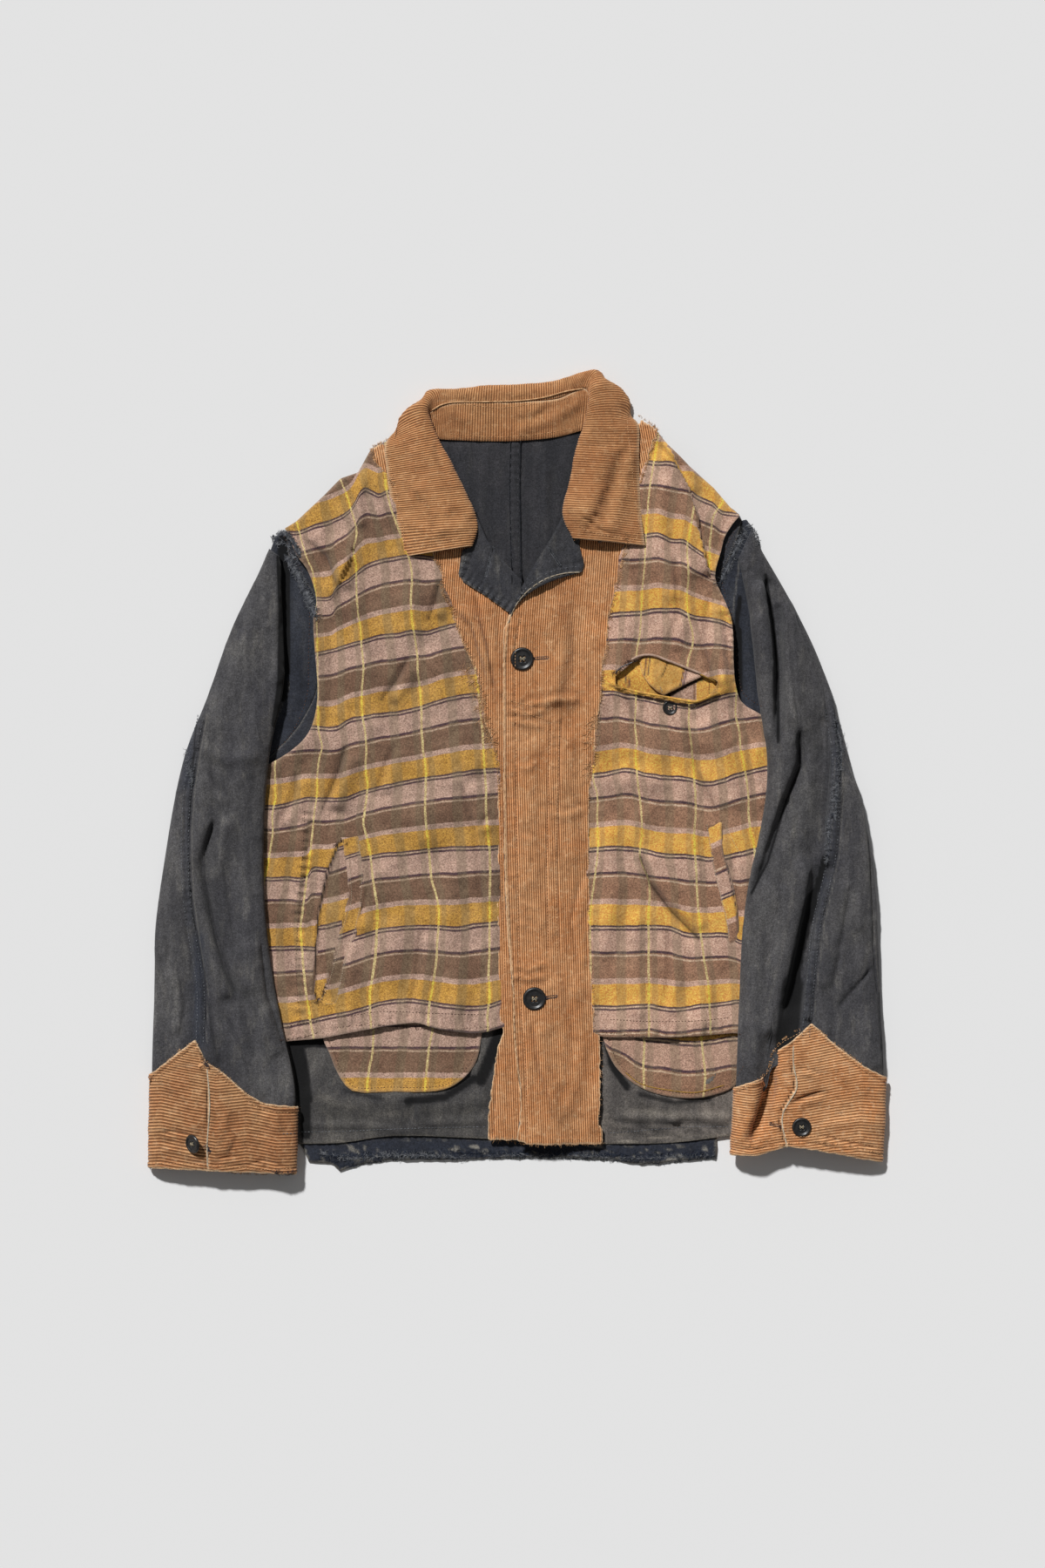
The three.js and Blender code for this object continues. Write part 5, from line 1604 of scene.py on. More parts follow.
@dataclass
class Vest:
    """The sleeveless plaid shirt front that is patched over the jacket."""

    shop: Workshop
    left_plaid: Plaid = PLAID_LEFT
    right_plaid: Plaid = PLAID_RIGHT
    mouth: Line = field(default_factory=lambda: CUTS["chest_mouth"])

    ARMHOLE_LEFT = mark("330,604 343,634 358,664 363,702 362,752 361,795 350,830 333,857 313,872")
    ARMHOLE_RIGHT = mark("844,592 832,614 820,648 824,680 834,712 840,770 847,800 870,818")
    LEFT_FORMS = (Step(mark("385,690 391,664 403,640 409,612"), 3.0, 1.3, 12),
        Crease(mark("339,889 336,915 316,948"), 3.2, 2.0, 8),
        Crease(mark("345,1055 351,1000 355,941"), 1.6, 1.2, 6, 1.2),
        Pucker(mark("353,930 350,1000 344,1060 345,1180"), 6, 9, 0.7, 51),
        Crease(mark("395,858 386,890 370,928"), 5.0, 4.0, 10, 2.4),
        Crease(mark("467,757 455,780 438,803"), 4.2, 3.0, 9, 2.2),
        Crease(mark("504,668 499,690 492,710"), 4.0, 2.6, 8, 2.0),
        Crease(mark("452,855 440,885 432,912"), 2.4, 2.0, 9),
        Crease(mark("562,933 554,945 543,951"), 2.6, 1.6, 6),
        Fold(mark("425,560 440,600 470,660 478,720"), 12, 3.0),
        Fold(mark("405,700 420,760 430,830"), 11, 3.0), Fold(mark("375,720 378,780 371,830"), 8, -2.4),
        Fold(mark("500,760 520,820 540,880"), 12, 2.6), Fold(mark("450,850 470,900 490,960"), 13, 2.8),
        Crease(mark("530,900 545,960 552,1040"), 2.0, 1.8, 10),
        Fold(mark("440,1000 455,1060 450,1120"), 13, 2.4),
        Fold(mark("520,1010 515,1080 525,1150"), 12, 2.6),
        Crease(mark("482,1070 478,1120 468,1162"), 2.2, 1.8, 9),
        Fold(mark("402,1090 405,1130 400,1165"), 9, 2.2),
        Fold(mark("330,990 325,1060 335,1130"), 9, -1.8),
        Crease(mark("350,618 374,640 390,684"), 2.6, 2.0, 8),
        Fold(mark("420,545 412,570 415,600"), 5, 2.2), Fold(mark("440,930 470,935 520,930"), 16, 1.4),
        Crease(mark("425,990 420,1030 404,1072"), 2.0, 2.0, 9),)
    RIGHT_FORMS = (Step(FLAP_FOLD, 4.2, 1.3, 20),
        Crease(mark("735,982 747,1015 770,1045 803,1078"), 5.0, 1.3, 10, 2.2),
        Crease(mark("716,794 724,812 730,832"), 3.0, 1.6, 6),
        Fold(mark("760,560 756,620 770,680"), 9, 2.8), Fold(mark("720,640 725,700 712,760"), 10, 2.2),
        Crease(mark("775,640 779,700 764,748"), 2.4, 2.0, 8),
        Crease(mark("812,690 806,740 820,794"), 3.0, 2.4, 8),
        Fold(mark("826,700 828,750 832,790"), 6, 2.6), Fold(mark("700,820 697,870 706,930"), 7, -1.6),
        Fold(mark("742,830 748,880 745,940"), 11, 2.4),
        Crease(mark("788,828 800,885 824,936"), 2.8, 2.4, 10),
        Fold(mark("815,830 830,870 845,920"), 9, 2.6),
        Crease(mark("858,846 861,890 868,935"), 2.4, 1.8, 7),
        Fold(mark("700,960 705,1020 695,1090"), 9, 2.0), Fold(mark("780,900 790,950 800,1000"), 10, 2.4),
        Fold(mark("730,1060 728,1110 735,1160"), 9, 2.4),
        Crease(mark("767,1066 768,1120 758,1168"), 2.0, 1.8, 8),
        Fold(mark("800,1090 812,1130 806,1170"), 9, 2.2),
        Crease(mark("756,508 774,530 792,574"), 2.2, 1.6, 6),
        Fold(mark("703,900 730,893 760,900"), 10, 1.6),
        Crease(mark("838,985 846,1030 848,1072"), 2.0, 1.6, 6),)
    LENS_EDGE = mark("366,1152 361,1138 362,1100 366,1050 375,1005 389,967")
    LENS = (*LENS_EDGE, *mark("399,967 404,1000 403,1030 393,1065 377,1125"))
    UNDER_LEFT = drawn("-300,60 -262,26 -253,0 -255,-60 -253,-144 -240,-236 -236,-290 -300,-290")
    UNDER_RIGHT = drawn("300,70 254,46 250,5 241,-65 227,-130 221,-228 219,-290 300,-290")

    def panel_left(self) -> Panel:
        """The left half."""
        hem = beside(self.ARMHOLE_LEFT, -4)
        forms = (*self.LEFT_FORMS, Step(self.LENS_EDGE, 1.3, 1.0, 9), Fold(hem, 4.0, 1.8),
            Fold(beside(self.ARMHOLE_LEFT, -8.5), 1.4, -1.2), Pucker(hem, 4.5, 7.5, 0.5, 61),
            Pucker(mark("330,1182 440,1166 580,1166"), 6, 9, 0.6, 62),)
        covers = (CUTS["band_left"], CUTS["welt_left"], CUTS["shoulder_patch_left"], self.collar_left(),
                  self.UNDER_LEFT)
        # The shaded line is painted shadow that the plaid's edge casts on the pocket lining beside it.
        return Panel(CUTS["vest_left"], Levels.vest, FLANNEL, Grain(2.15, 2.15), forms, covers,
            strong=2.1, rough=1.9, swell=22, loft=2.9, lowest=-3.8, rim=0.6, depth=0.85,
            shaded=((self.LENS_EDGE, 1.3, 1.2),), seed=71)

    def panel_right(self) -> Panel:
        """The right half, with the chest pocket's mouth cut out of it."""
        hem = beside(self.ARMHOLE_RIGHT, 4)
        lip = mark("703,783 726,793 760,799 794,806 823,794")
        forms = (*self.RIGHT_FORMS, Fold(hem, 3.6, 1.6), Fold(beside(self.ARMHOLE_RIGHT, 8), 1.4, -1.1),
            Pucker(hem, 4.5, 7.5, 0.5, 63), Fold(beside(lip, -5), 1.3, -1.0),
            Fold(beside(lip, -1.5), 2.4, 2.0), Pucker(mark("690,1180 760,1184 845,1180"), 6, 9, 0.6, 64),)
        covers = (CUTS["band_right"], CUTS["welt_right"], CUTS["shoulder_patch_right"], self.collar_right(),
                  self.UNDER_RIGHT)
        return Panel(CUTS["vest_right"], Levels.vest_over, FLANNEL, Grain(2.15, 2.15), forms, covers,
                     holes=(self.mouth,), strong=2.1, rough=1.9, swell=22, loft=2.9, lowest=-3.8, rim=0.6,
                     depth=0.85, seed=73)

    @staticmethod
    def collar_left() -> Line:
        """What the collar's left leaf hides."""
        return mark("459,483 445,505 453,560 462,634 530,628 545,560 500,470")

    @staticmethod
    def collar_right() -> Line:
        """What the collar's right leaf hides."""
        return mark("728,469 731,500 738,627 700,625 652,600 680,470")

    @staticmethod
    def flap(x: Array, y: Array) -> Array:
        """Whether places lie on the right shoulder's lower flap, beyond its fold."""
        away, _ = trace(FLAP_FOLD, x, y)
        return (away < 0) & (y > FLAP_FOLD[0][1]) & (y < FLAP_FOLD[-1][1])

    def pattern_left(self, x: Array, y: Array, column: Array) -> Array:
        """The plaid's place on the left half, shifted where the side pocket's lining shows."""
        values = WEAVE_LEFT.values(x, y, column)
        return values + inside(np.array(self.LENS), x, y)[:, None] * np.array((0.12, 0.27, 0.0))

    def pattern_right(self, x: Array, y: Array, column: Array) -> Array:
        """The plaid's place on the right half, which jumps at the shoulder's fold."""
        values = WEAVE_RIGHT.values(x, y, column)
        return np.where(self.flap(x, y)[:, None], WEAVE_FLAP.values(x, y, column) + (2, 0, 0), values)

    def build(self) -> None:
        """Make both halves."""
        for name, plaid, panel, pattern in (
            ("vest_left", self.left_plaid, self.panel_left(), self.pattern_left),
            ("vest_right", self.right_plaid, self.panel_right(), self.pattern_right),
        ):
            draft = panel.made(pattern)
            side = name.split("_")[1]
            piece = self.shop.add(f"{name}_cloth", draft, plaid, Slot.PLAID, [name])
            self.shop.sheet(piece, draft, 1, [f"front_{side}_cloth"])


@dataclass
class Bands:
    """The raw-edged corduroy bands down both fronts, and the patches on the shoulders."""

    shop: Workshop
    corduroy: Corduroy = Corduroy("corduroy_band", "#ec9e62", "#f7b57c", "#61381d", "#ffdcae")
    wale: float = 2.2
    rib: float = 0.65

    STITCHED = mark("632,828 630,900 628,1000 630,1095")
    EDGE_STITCH = mark("600,706 595,722 592,742 592,800 593,900 594,1000 597,1130 603,1220 606,1300")
    PIPED = mark("583,716 579.5,760 579.5,880 581.5,1010 589,1130 590.5,1190 598,1260")
    RIGHT_FORMS = (Fold(STITCHED, 1.3, -1.2), Fold(beside(STITCHED, 11), 1.3, -0.9),
        Pucker(beside(STITCHED, 5.5), 4.5, 7.2, 0.6, 84), Fold(EDGE_STITCH, 1.3, -1.1),
        Fold(PIPED, 1.4, 0.8), Pucker(beside(EDGE_STITCH, -5), 5.0, 7.2, 0.6, 81),
        Crease(mark("670,795 640,796 600,804"), 3.2, 2.6, 6, 1.6),
        Crease(mark("629,810 606,815 583,808"), 3.0, 2.2, 4, 1.3),
        Crease(mark("629,829 606,826 583,820"), 2.6, 2.0, 4, 1.3),
        Crease(mark("629,1098 606,1107 586,1100"), 2.4, 1.8, 4, 1.3),
        Crease(mark("630,1113 606,1118 587,1112"), 2.2, 1.6, 4, 1.3),
        Fold(mark("585,1121 591,1129 625,1129 632,1124"), 1.4, -1.4),
        Fold(mark("640,700 650,745 636,800"), 8, 2.6), Fold(mark("670,690 660,740 672,790"), 8, -1.2),
        Fold(mark("655,850 652,900 660,980"), 8, 2.0), Fold(mark("610,860 606,920 611,1010"), 9, 2.0),
        Crease(mark("668,1005 655,1060 664,1115"), 1.8, 1.6, 6),
        Fold(mark("660,1140 668,1200 655,1270"), 8, 2.2),
        Crease(mark("610,1176 618,1230 640,1292"), 1.8, 1.6, 6),
        Fold(mark("640,1130 650,1180 646,1240"), 7, 1.8),
        Crease(mark("626,1040 600,1030 585,1010"), 1.6, 1.2, 4),
        Crease(mark("622,1066 600,1054 586,1060"), 1.6, 1.2, 4),
        Crease(mark("676,922 650,930 622,924"), 1.8, 1.4, 5),
        Crease(mark("620,868 604,876 588,872"), 1.4, 1.0, 4),
        Crease(mark("622,962 604,957 588,960"), 1.4, 1.0, 4),)
    LEFT_FORMS = (Fold(mark("520,660 535,700 560,760"), 7, 2.4),
        Crease(mark("545,686 560,740 569,805"), 2.2, 1.8, 6),
        Crease(mark("520,700 540,720 560,790"), 1.8, 1.6, 6),
        Pucker(mark("570,1190 565,1240 562,1300"), 4.5, 7, 0.7, 83),
        Fold(mark("574,1190 570,1240 567,1304"), 1.2, -1.0),)
    FALLING = drawn("-2.0,-370.0 -7.0,-222.0 -13.0,0.0 -13.0,130.0 -4.0,260.0")

    def panel_left(self) -> Panel:
        """The band of the left front, mostly beneath the right one."""
        torn = drawn_in(ragged(CUTS["band_left"], 0.9, 85, 4), ROLL_LEFT, -2.2)
        covers = (CUTS["band_right"], CUTS["lapel_left"], Vest.collar_left())
        grain = Grain(self.wale / COLUMNS, 3.0, self.FALLING)
        return Panel(torn, Levels.band, CORDUROY, grain, self.LEFT_FORMS, covers, strong=1.7, rough=1.1,
                     loft=1.0, lowest=-1.4, depth=0.85, seed=87)

    def panel_right(self) -> Panel:
        """The band of the right front, which shows for its whole length."""
        torn = drawn_in(ragged(CUTS["band_right"], 0.8, 86, 4), ROLL_RIGHT, 2.2)
        covers = (CUTS["lapel_right"], Vest.collar_right())
        grain = Grain(self.wale / COLUMNS, 3.0, self.FALLING)
        return Panel(torn, Levels.band_over, CORDUROY, grain, self.RIGHT_FORMS, covers, strong=1.7,
                     rough=1.2, swell=20, loft=1.2, lowest=-1.8, worn=(self.PIPED,), depth=0.85, seed=88)

    def rub(self, draft: Draft) -> None:
        """Give single wales their own brightness, and the cloth its paler and dirtier places."""
        x, y = draft.points[:, 0], draft.points[:, 1]
        wave = Ripple(89)
        streak = wave.at(x, y, self.wale, 38) + 0.5 * wave.at(x, y + 300, 7, 16)
        draft.state[:, 0] = np.maximum(draft.state[:, 0], 0.28 * np.maximum(streak, 0) ** 1.2)
        draft.state[:, 1] = np.maximum(draft.state[:, 1], 0.40 * np.maximum(-streak, 0) ** 1.2)

    def build(self) -> None:
        """Make the bands and the two shoulder patches."""
        for name, panel, below in (
            ("band_left", self.panel_left(), "vest_left_cloth"),
            ("band_right", self.panel_right(), "vest_right_cloth"),
        ):
            draft = panel.made(rib=self.rib)
            self.rub(draft)
            piece = self.shop.add(f"{name}_cloth", draft, self.corduroy, Slot.CORDUROY, [name])
            self.shop.sheet(piece, draft, 1, [below])
        for name, floor, below in (
            ("shoulder_patch_left", Levels.band, "vest_left_cloth"),
            ("shoulder_patch_right", Levels.band_over, "vest_right_cloth"),
        ):
            torn = ragged(CUTS[name], 1.5, 89, 3.5)
            grain = Grain(self.wale / COLUMNS, 2.4, ((60.0, -250.0), (-60.0, 400.0)))
            panel = Panel(torn, floor, CORDUROY, grain, rough=1.0, swell=14, loft=1.0, lowest=-1.0, seed=90)
            draft = panel.made(rib=0.4)
            piece = self.shop.add(f"{name}_cloth", draft, self.corduroy, Slot.CORDUROY, [name])
            self.shop.sheet(piece, draft, 1, [below])


@dataclass
class Lapels:
    """The twill facings, turned outward at the open neck."""

    shop: Workshop
    twill: Twill = Twill("twill_lapel", "#3a3a3e", "#504f50", "#222329", 0.6)

    SLIT_LEFT = mark("566,628 562,645 557,663")
    SLIT_RIGHT = mark("630,629 636,638 644,650")

    def build(self) -> None:
        """Make both lapels."""
        rolled = ROLL_LEFT[::-1]
        left_hem = mark("533,635 527,662 558,685 583,702")
        right_hem = mark("592,696 606,679 627,665 650,658 668,656")
        left_forms = (Pucker(beside(left_hem, 4), 5, 6.5, 1.7, 91), Fold(beside(left_hem, 8), 1.2, -1.3),
            Fold(self.SLIT_LEFT, 1.6, -1.6), Fold(beside(self.SLIT_LEFT, 2.4), 2.0, 1.0),
            Crease(mark("545,628 540,645 548,668"), 1.5, 1.4, 5), Fold(rolled, 6, 2.2),)
        right_forms = (Pucker(beside(right_hem, 4), 5, 6.5, 1.7, 92),
            Fold(beside(right_hem, 8), 1.2, -1.3), Fold(self.SLIT_RIGHT, 1.6, -1.6),
            Fold(beside(self.SLIT_RIGHT, 2.4), 2.0, 1.0), Fold(mark("640,610 650,625 662,640"), 4, 1.6),
            Crease(mark("612,650 618,630 632,612"), 1.6, 1.6, 6),)
        left_lines = (self.SLIT_LEFT, left_hem, ROLL_LEFT)
        right_lines = (self.SLIT_RIGHT, right_hem, ROLL_RIGHT)
        for name, floor, forms, (slit, hem, roll), cover, seed in (
            ("lapel_left", Levels.lapel, left_forms, left_lines, Vest.collar_left(), 93),
            ("lapel_right", Levels.lapel_over, right_forms, right_lines, Vest.collar_right(), 94),
        ):
            # shaded paints shade in the buttonhole's slit and painted shadow along the turned roll.
            panel = Panel(CUTS[name], floor, TWILL, Grain(1.6, 1.6), forms, (cover,), rough=1.2, loft=1.4,
                lowest=-1.8, rim=0.7, fringe=0.0, worn=(hem,),
                shaded=((slit, 0.9, 1.2), (roll, 1.8, 0.7)), seed=seed, covered=0.05)
            draft = panel.made()
            piece = self.shop.add(f"{name}_cloth", draft, self.twill, Slot.TWILL, [name])
            self.shop.sheet(piece, draft, 1, [name.replace("lapel", "band") + "_cloth"])


@dataclass
class Pockets:
    """The side pockets' welts and hanging bags, and the gaping chest pocket."""

    shop: Workshop
    plaid: Plaid = PLAID_LEFT
    bright: Plaid = PLAID_RIGHT
    dusky: Plaid = Plaid("plaid_bag", "#b89380", "#8c6852", "#d29c44", "#bda086")
    LINING = ((700, 762, 765, 770, 797, 798.5, 825), (0.76, 0.94, 0.966, 1.04, 1.28, 1.72, 1.94))

    def build(self) -> None:
        """Make the bags, the welts and the chest pocket's inside."""
        bag_left_seam = beside(smooth(CUTS["bag_left"][1:-1], 1), 5)
        bag_right_seam = beside(smooth(CUTS["bag_right"][1:-1], 1), 5)
        bags = (("bag_left", "pocket_bag_left", WEAVE_BAG_LEFT, bag_left_seam,
                (Fold(mark("545,1190 521,1229 509,1238"), 4.5, -1.5),
                Fold(mark("400,1195 430,1225 470,1235"), 12, 0.8))),
            ("bag_right", "pocket_bag_right", WEAVE_BAG_RIGHT, bag_right_seam,
                (Fold(mark("720,1195 760,1215 790,1240"), 12, 0.8),)),)
        for cutting, node, weave, seam, forms in bags:
            side = node.split("_")[-1]
            panel = Panel(CUTS[cutting], Levels.bag, BAG, Grain(2.2, 2.2),
                          (*forms, Fold(seam, 1.3, -1.1), Pucker(seam, 4, 7, 0.5, 95)),
                          (CUTS[f"vest_{side}"],), rough=0.9, loft=0.9, lowest=-1.4, rim=0.5, seed=96)
            draft = panel.made(weave.values)
            plaid = self.plaid if side == "left" else self.dusky
            piece = self.shop.add(f"{node}_cloth", draft, plaid, Slot.PLAID, [node])
            self.shop.sheet(piece, draft, 1, [f"front_{side}_cloth"])
        self.build_welts()
        self.build_chest()

    def build_welts(self) -> None:
        """The slanted welts over the side pockets' mouths."""
        seam = mark("412,962 416,1000 415,1035 408,1068 396,1110 386,1146")
        slit = mark("830,946 830,972 834,990 841,1020 846,1045 848,1068")
        fold = mark("400,1068 392,1110 380,1140")
        left = (Fold(beside(seam, -1.6), 1.2, -0.8), Crease(fold, 1.8, 1.0, 4, 1.3))
        right = (Fold(beside(slit, -3.0), 2.4, 1.2), Fold(mark("816,985 826,984"), 3, -1.2))
        # Painted shade in the right welt's open slit.
        dark = ((slit, 1.1, 1.3),)
        for name, floor, plaid, pattern, forms, shaded, seed in (
            ("welt_left", Levels.band, self.plaid, self.pattern_left, left, (), 101),
            ("welt_right", Levels.band_over, self.bright, self.pattern_right, right, dark, 102),
        ):
            panel = Panel(CUTS[name], floor, FLANNEL, Grain(1.7, 1.7), forms, rough=0.9, swell=16, loft=1.1,
                          lowest=-1.7, rim=0.5, shaded=shaded, seed=seed)
            draft = panel.made(pattern)
            piece = self.shop.add(f"{name}_cloth", draft, plaid, Slot.PLAID, [name])
            self.shop.sheet(piece, draft, 1, [name.replace("welt", "vest") + "_cloth"])

    @staticmethod
    def pattern_left(x: Array, y: Array, column: Array) -> Array:
        """The plaid's place on the left welt, a little higher than the front's own."""
        return WEAVE_LEFT.values(x, y, column) + (0.06, 0.10, 0.0)

    @staticmethod
    def pattern_right(x: Array, y: Array, column: Array) -> Array:
        """The plaid's place on the right welt, which was cut upside down."""
        px, py = photo(x, y)
        sloped = py + 0.4 * (px - 822 - 0.2 * (py - 945))
        return np.column_stack([px * 0 + 0.25, 0.966 - (sloped - 941) / 88, px * 0])

    @staticmethod
    def pattern_inner(x: Array, y: Array, column: Array) -> Array:
        """The plaid's place on the chest pocket's lining, which was cut sideways."""
        px, _ = photo(x, y)
        v = np.interp(px, *Pockets.LINING)
        return np.column_stack([0.2 + (px - 700) / 200, v, px * 0])

    @staticmethod
    def pattern_tab(x: Array, y: Array, column: Array) -> Array:
        """The plaid's place on the chest pocket's tab: gold, but for its end."""
        px, py = photo(x, y)
        v = np.where(px + 0.2 * (py - 775) > 785, 1.13, 0.80 + (px - 740) / 400)
        return np.column_stack([0.2 + (px - 700) / 200, v, px * 0])

    def build_chest(self) -> None:
        """The chest pocket's bag and the pointed tab inside its mouth."""
        deep = mark("768,797 777,793.5 786,788.5 796,783 806,779.5")
        corner = mark("703,778 712,781")
        stripes = [(mark(f"{718 + k},776 {720 + k},789"), 0.8, 0.9) for k in (0, 3.5)]
        # Painted shadow in the gap under the tab's edge, and painted shade in the mouth's corner.
        bag = Panel(CUTS["chest_bag"], Levels.chest_bag, FLANNEL, Grain(1.8, 1.8), rough=0.8, lowest=-0.5,
                    shaded=((deep, 2.3, 1.5), (corner, 2.0, 0.7)), inked=stripes, seed=103)
        draft = bag.made(self.pattern_inner)
        piece = self.shop.add("chest_pocket_bag_cloth", draft, self.bright, Slot.PLAID,
                              ["chest_pocket_bag"])
        self.shop.sheet(piece, draft, 1, ["front_right_cloth"])
        slit = mark("767,760 764,768 760,777")
        stripes = [(mark(f"{743 + k},750 {740 + k},775"), 0.8, 0.95) for k in (0, 4)]
        stripes += [(mark(f"{786 + k},764 {781 + k},787"), 0.8, 0.95) for k in (0, 3.5)]
        outline = mark("734,757 748,751 766,755 786,764 809,775 801,779 788,785 775,792 762,798 755,794 "
            "745,785 738,775")
        forms = (Fold(slit, 1.3, -1.2), Fold(mark("770,792 788,782 806,774"), 3, 1.4),
                 Fold(mark("748,786 757,793"), 2.4, 1.0))
        # Painted shade in the tab's slit.
        tab = Panel(outline, Levels.chest_tab, FLANNEL, Grain(1.3, 1.3), forms, rough=0.9, swell=12,
                    loft=0.9, lowest=-0.8, rim=0.4, shaded=((slit, 0.7, 1.3),), inked=stripes, seed=104)
        draft = tab.made(self.pattern_tab)
        piece = self.shop.add("chest_pocket_tab_cloth", draft, self.bright, Slot.PLAID,
                              ["chest_pocket_tab"])
        self.shop.sheet(piece, draft, 1, ["chest_pocket_bag_cloth"])


@dataclass(frozen=True)
class Tube:
    """A flattened sleeve: its two folded edges from the shoulder to the hem, and its folds.

    Each outer point is x, y and the height of the crown there; each inner one x, y and the height of
    the cloth it rests on. Angles run from the outer edge over the crown, and back beneath. navy, dark
    and pale are the lines that tint it, paint shade on it, and make it paler where it is worn and, along
    lit ridges, as a painted highlight.
    """

    outer: Sequence[tuple[float, float, float]]
    inner: Sequence[tuple[float, float, float]]
    folds: Sequence[Fold]
    cuff_top: Line
    cuff_hem: Line
    creases: Sequence[Form] = ()
    navy: Sequence[tuple[Line, float, float]] = ()
    dark: Sequence[tuple[Line, float, float]] = ()
    pale: Sequence[tuple[Line, float, float]] = ()

    EDGE_HALF = 4.5
    CUFF_LIFT = CORDUROY + CUFF_GAP

    def raw(self, along: Array, angle: Array) -> tuple[Array, Array, Array, Array, Array]:
        """The section's bare points: x, y, z, and its direction across in plan."""
        shape = np.broadcast_shapes(np.shape(along), np.shape(angle))
        flat = np.broadcast_to(along, shape).ravel()
        turn = np.broadcast_to(angle, shape).ravel()
        outer = catmull(np.array(self.outer, float), flat)
        inner = catmull(np.array(self.inner, float), flat)
        run = inner[:, :2] - outer[:, :2]
        width = np.linalg.norm(run, axis=1)
        across = (1 - np.cos(turn)) / 2
        x = outer[:, 0] + across * run[:, 0]
        y = outer[:, 1] + across * run[:, 1]
        half = np.minimum(self.EDGE_HALF, 0.4 * outer[:, 2])
        lift = self.CUFF_LIFT * ease((-225 - outer[:, 1]) / 30)
        rest = inner[:, 2] * ease((across * width - width + 36) / 22) + lift + half
        arch = np.abs(np.sin(turn))
        crown = (outer[:, 2] - half) * arch**0.75 + arch * relief(self.folds, x, y)
        upper = np.sin(turn) >= 0
        z = rest + np.where(upper, crown, -half * arch**0.45)
        return (x.reshape(shape), y.reshape(shape), z.reshape(shape),
                (run[:, 0] / width).reshape(shape), (run[:, 1] / width).reshape(shape))

    def place(self, along: Array, angle: Array, out: Array | float) -> tuple[Array, Array]:
        """Points off the section's cloth, in its own upright plane.

        Args:
            along: The way along the sleeve, from 0 to 1.
            angle: The angle round it.
            out: How far out of the cloth.

        Returns:
            The points, and the way out at each.
        """
        step = 0.05
        x, y, z, ux, uy = self.raw(along, angle)
        x0, y0, z0, *_ = self.raw(along, angle - step)
        x1, y1, z1, *_ = self.raw(along, angle + step)
        run = (x1 - x0) * ux + (y1 - y0) * uy
        rise = z1 - z0
        length = np.maximum(np.hypot(run, rise), 1e-6)
        normal = np.stack([-rise / length * ux, -rise / length * uy, run / length], -1)
        return np.stack([x, y, z], -1) + normal * np.asarray(out)[..., None], normal

    def crossing(self, angle: Array, line: Line, drop: float = 0.0) -> Array:
        """How far along the sleeve each angle crosses a line drawn across it in plan."""
        points = np.array(line, float)
        low, high = np.full(np.shape(angle), 0.6), np.ones(np.shape(angle))
        for _ in range(18):
            middle = (low + high) / 2
            x, y, *_ = self.raw(middle, angle)
            above = y > np.interp(x, points[:, 0], points[:, 1]) - drop
            low, high = np.where(above, middle, low), np.where(above, high, middle)
        return (low + high) / 2

    def cuff_start(self, angle: Array, drop: float = 0.0) -> Array:
        """Where the cuff's upper edge lies: pointed above, straight beneath."""
        straight = (self.cuff_top[0], self.cuff_top[-1])
        over = self.crossing(angle, self.cuff_top, drop)
        under = self.crossing(angle, straight, drop)
        return np.where(np.sin(angle) >= -1e-9, over, under)


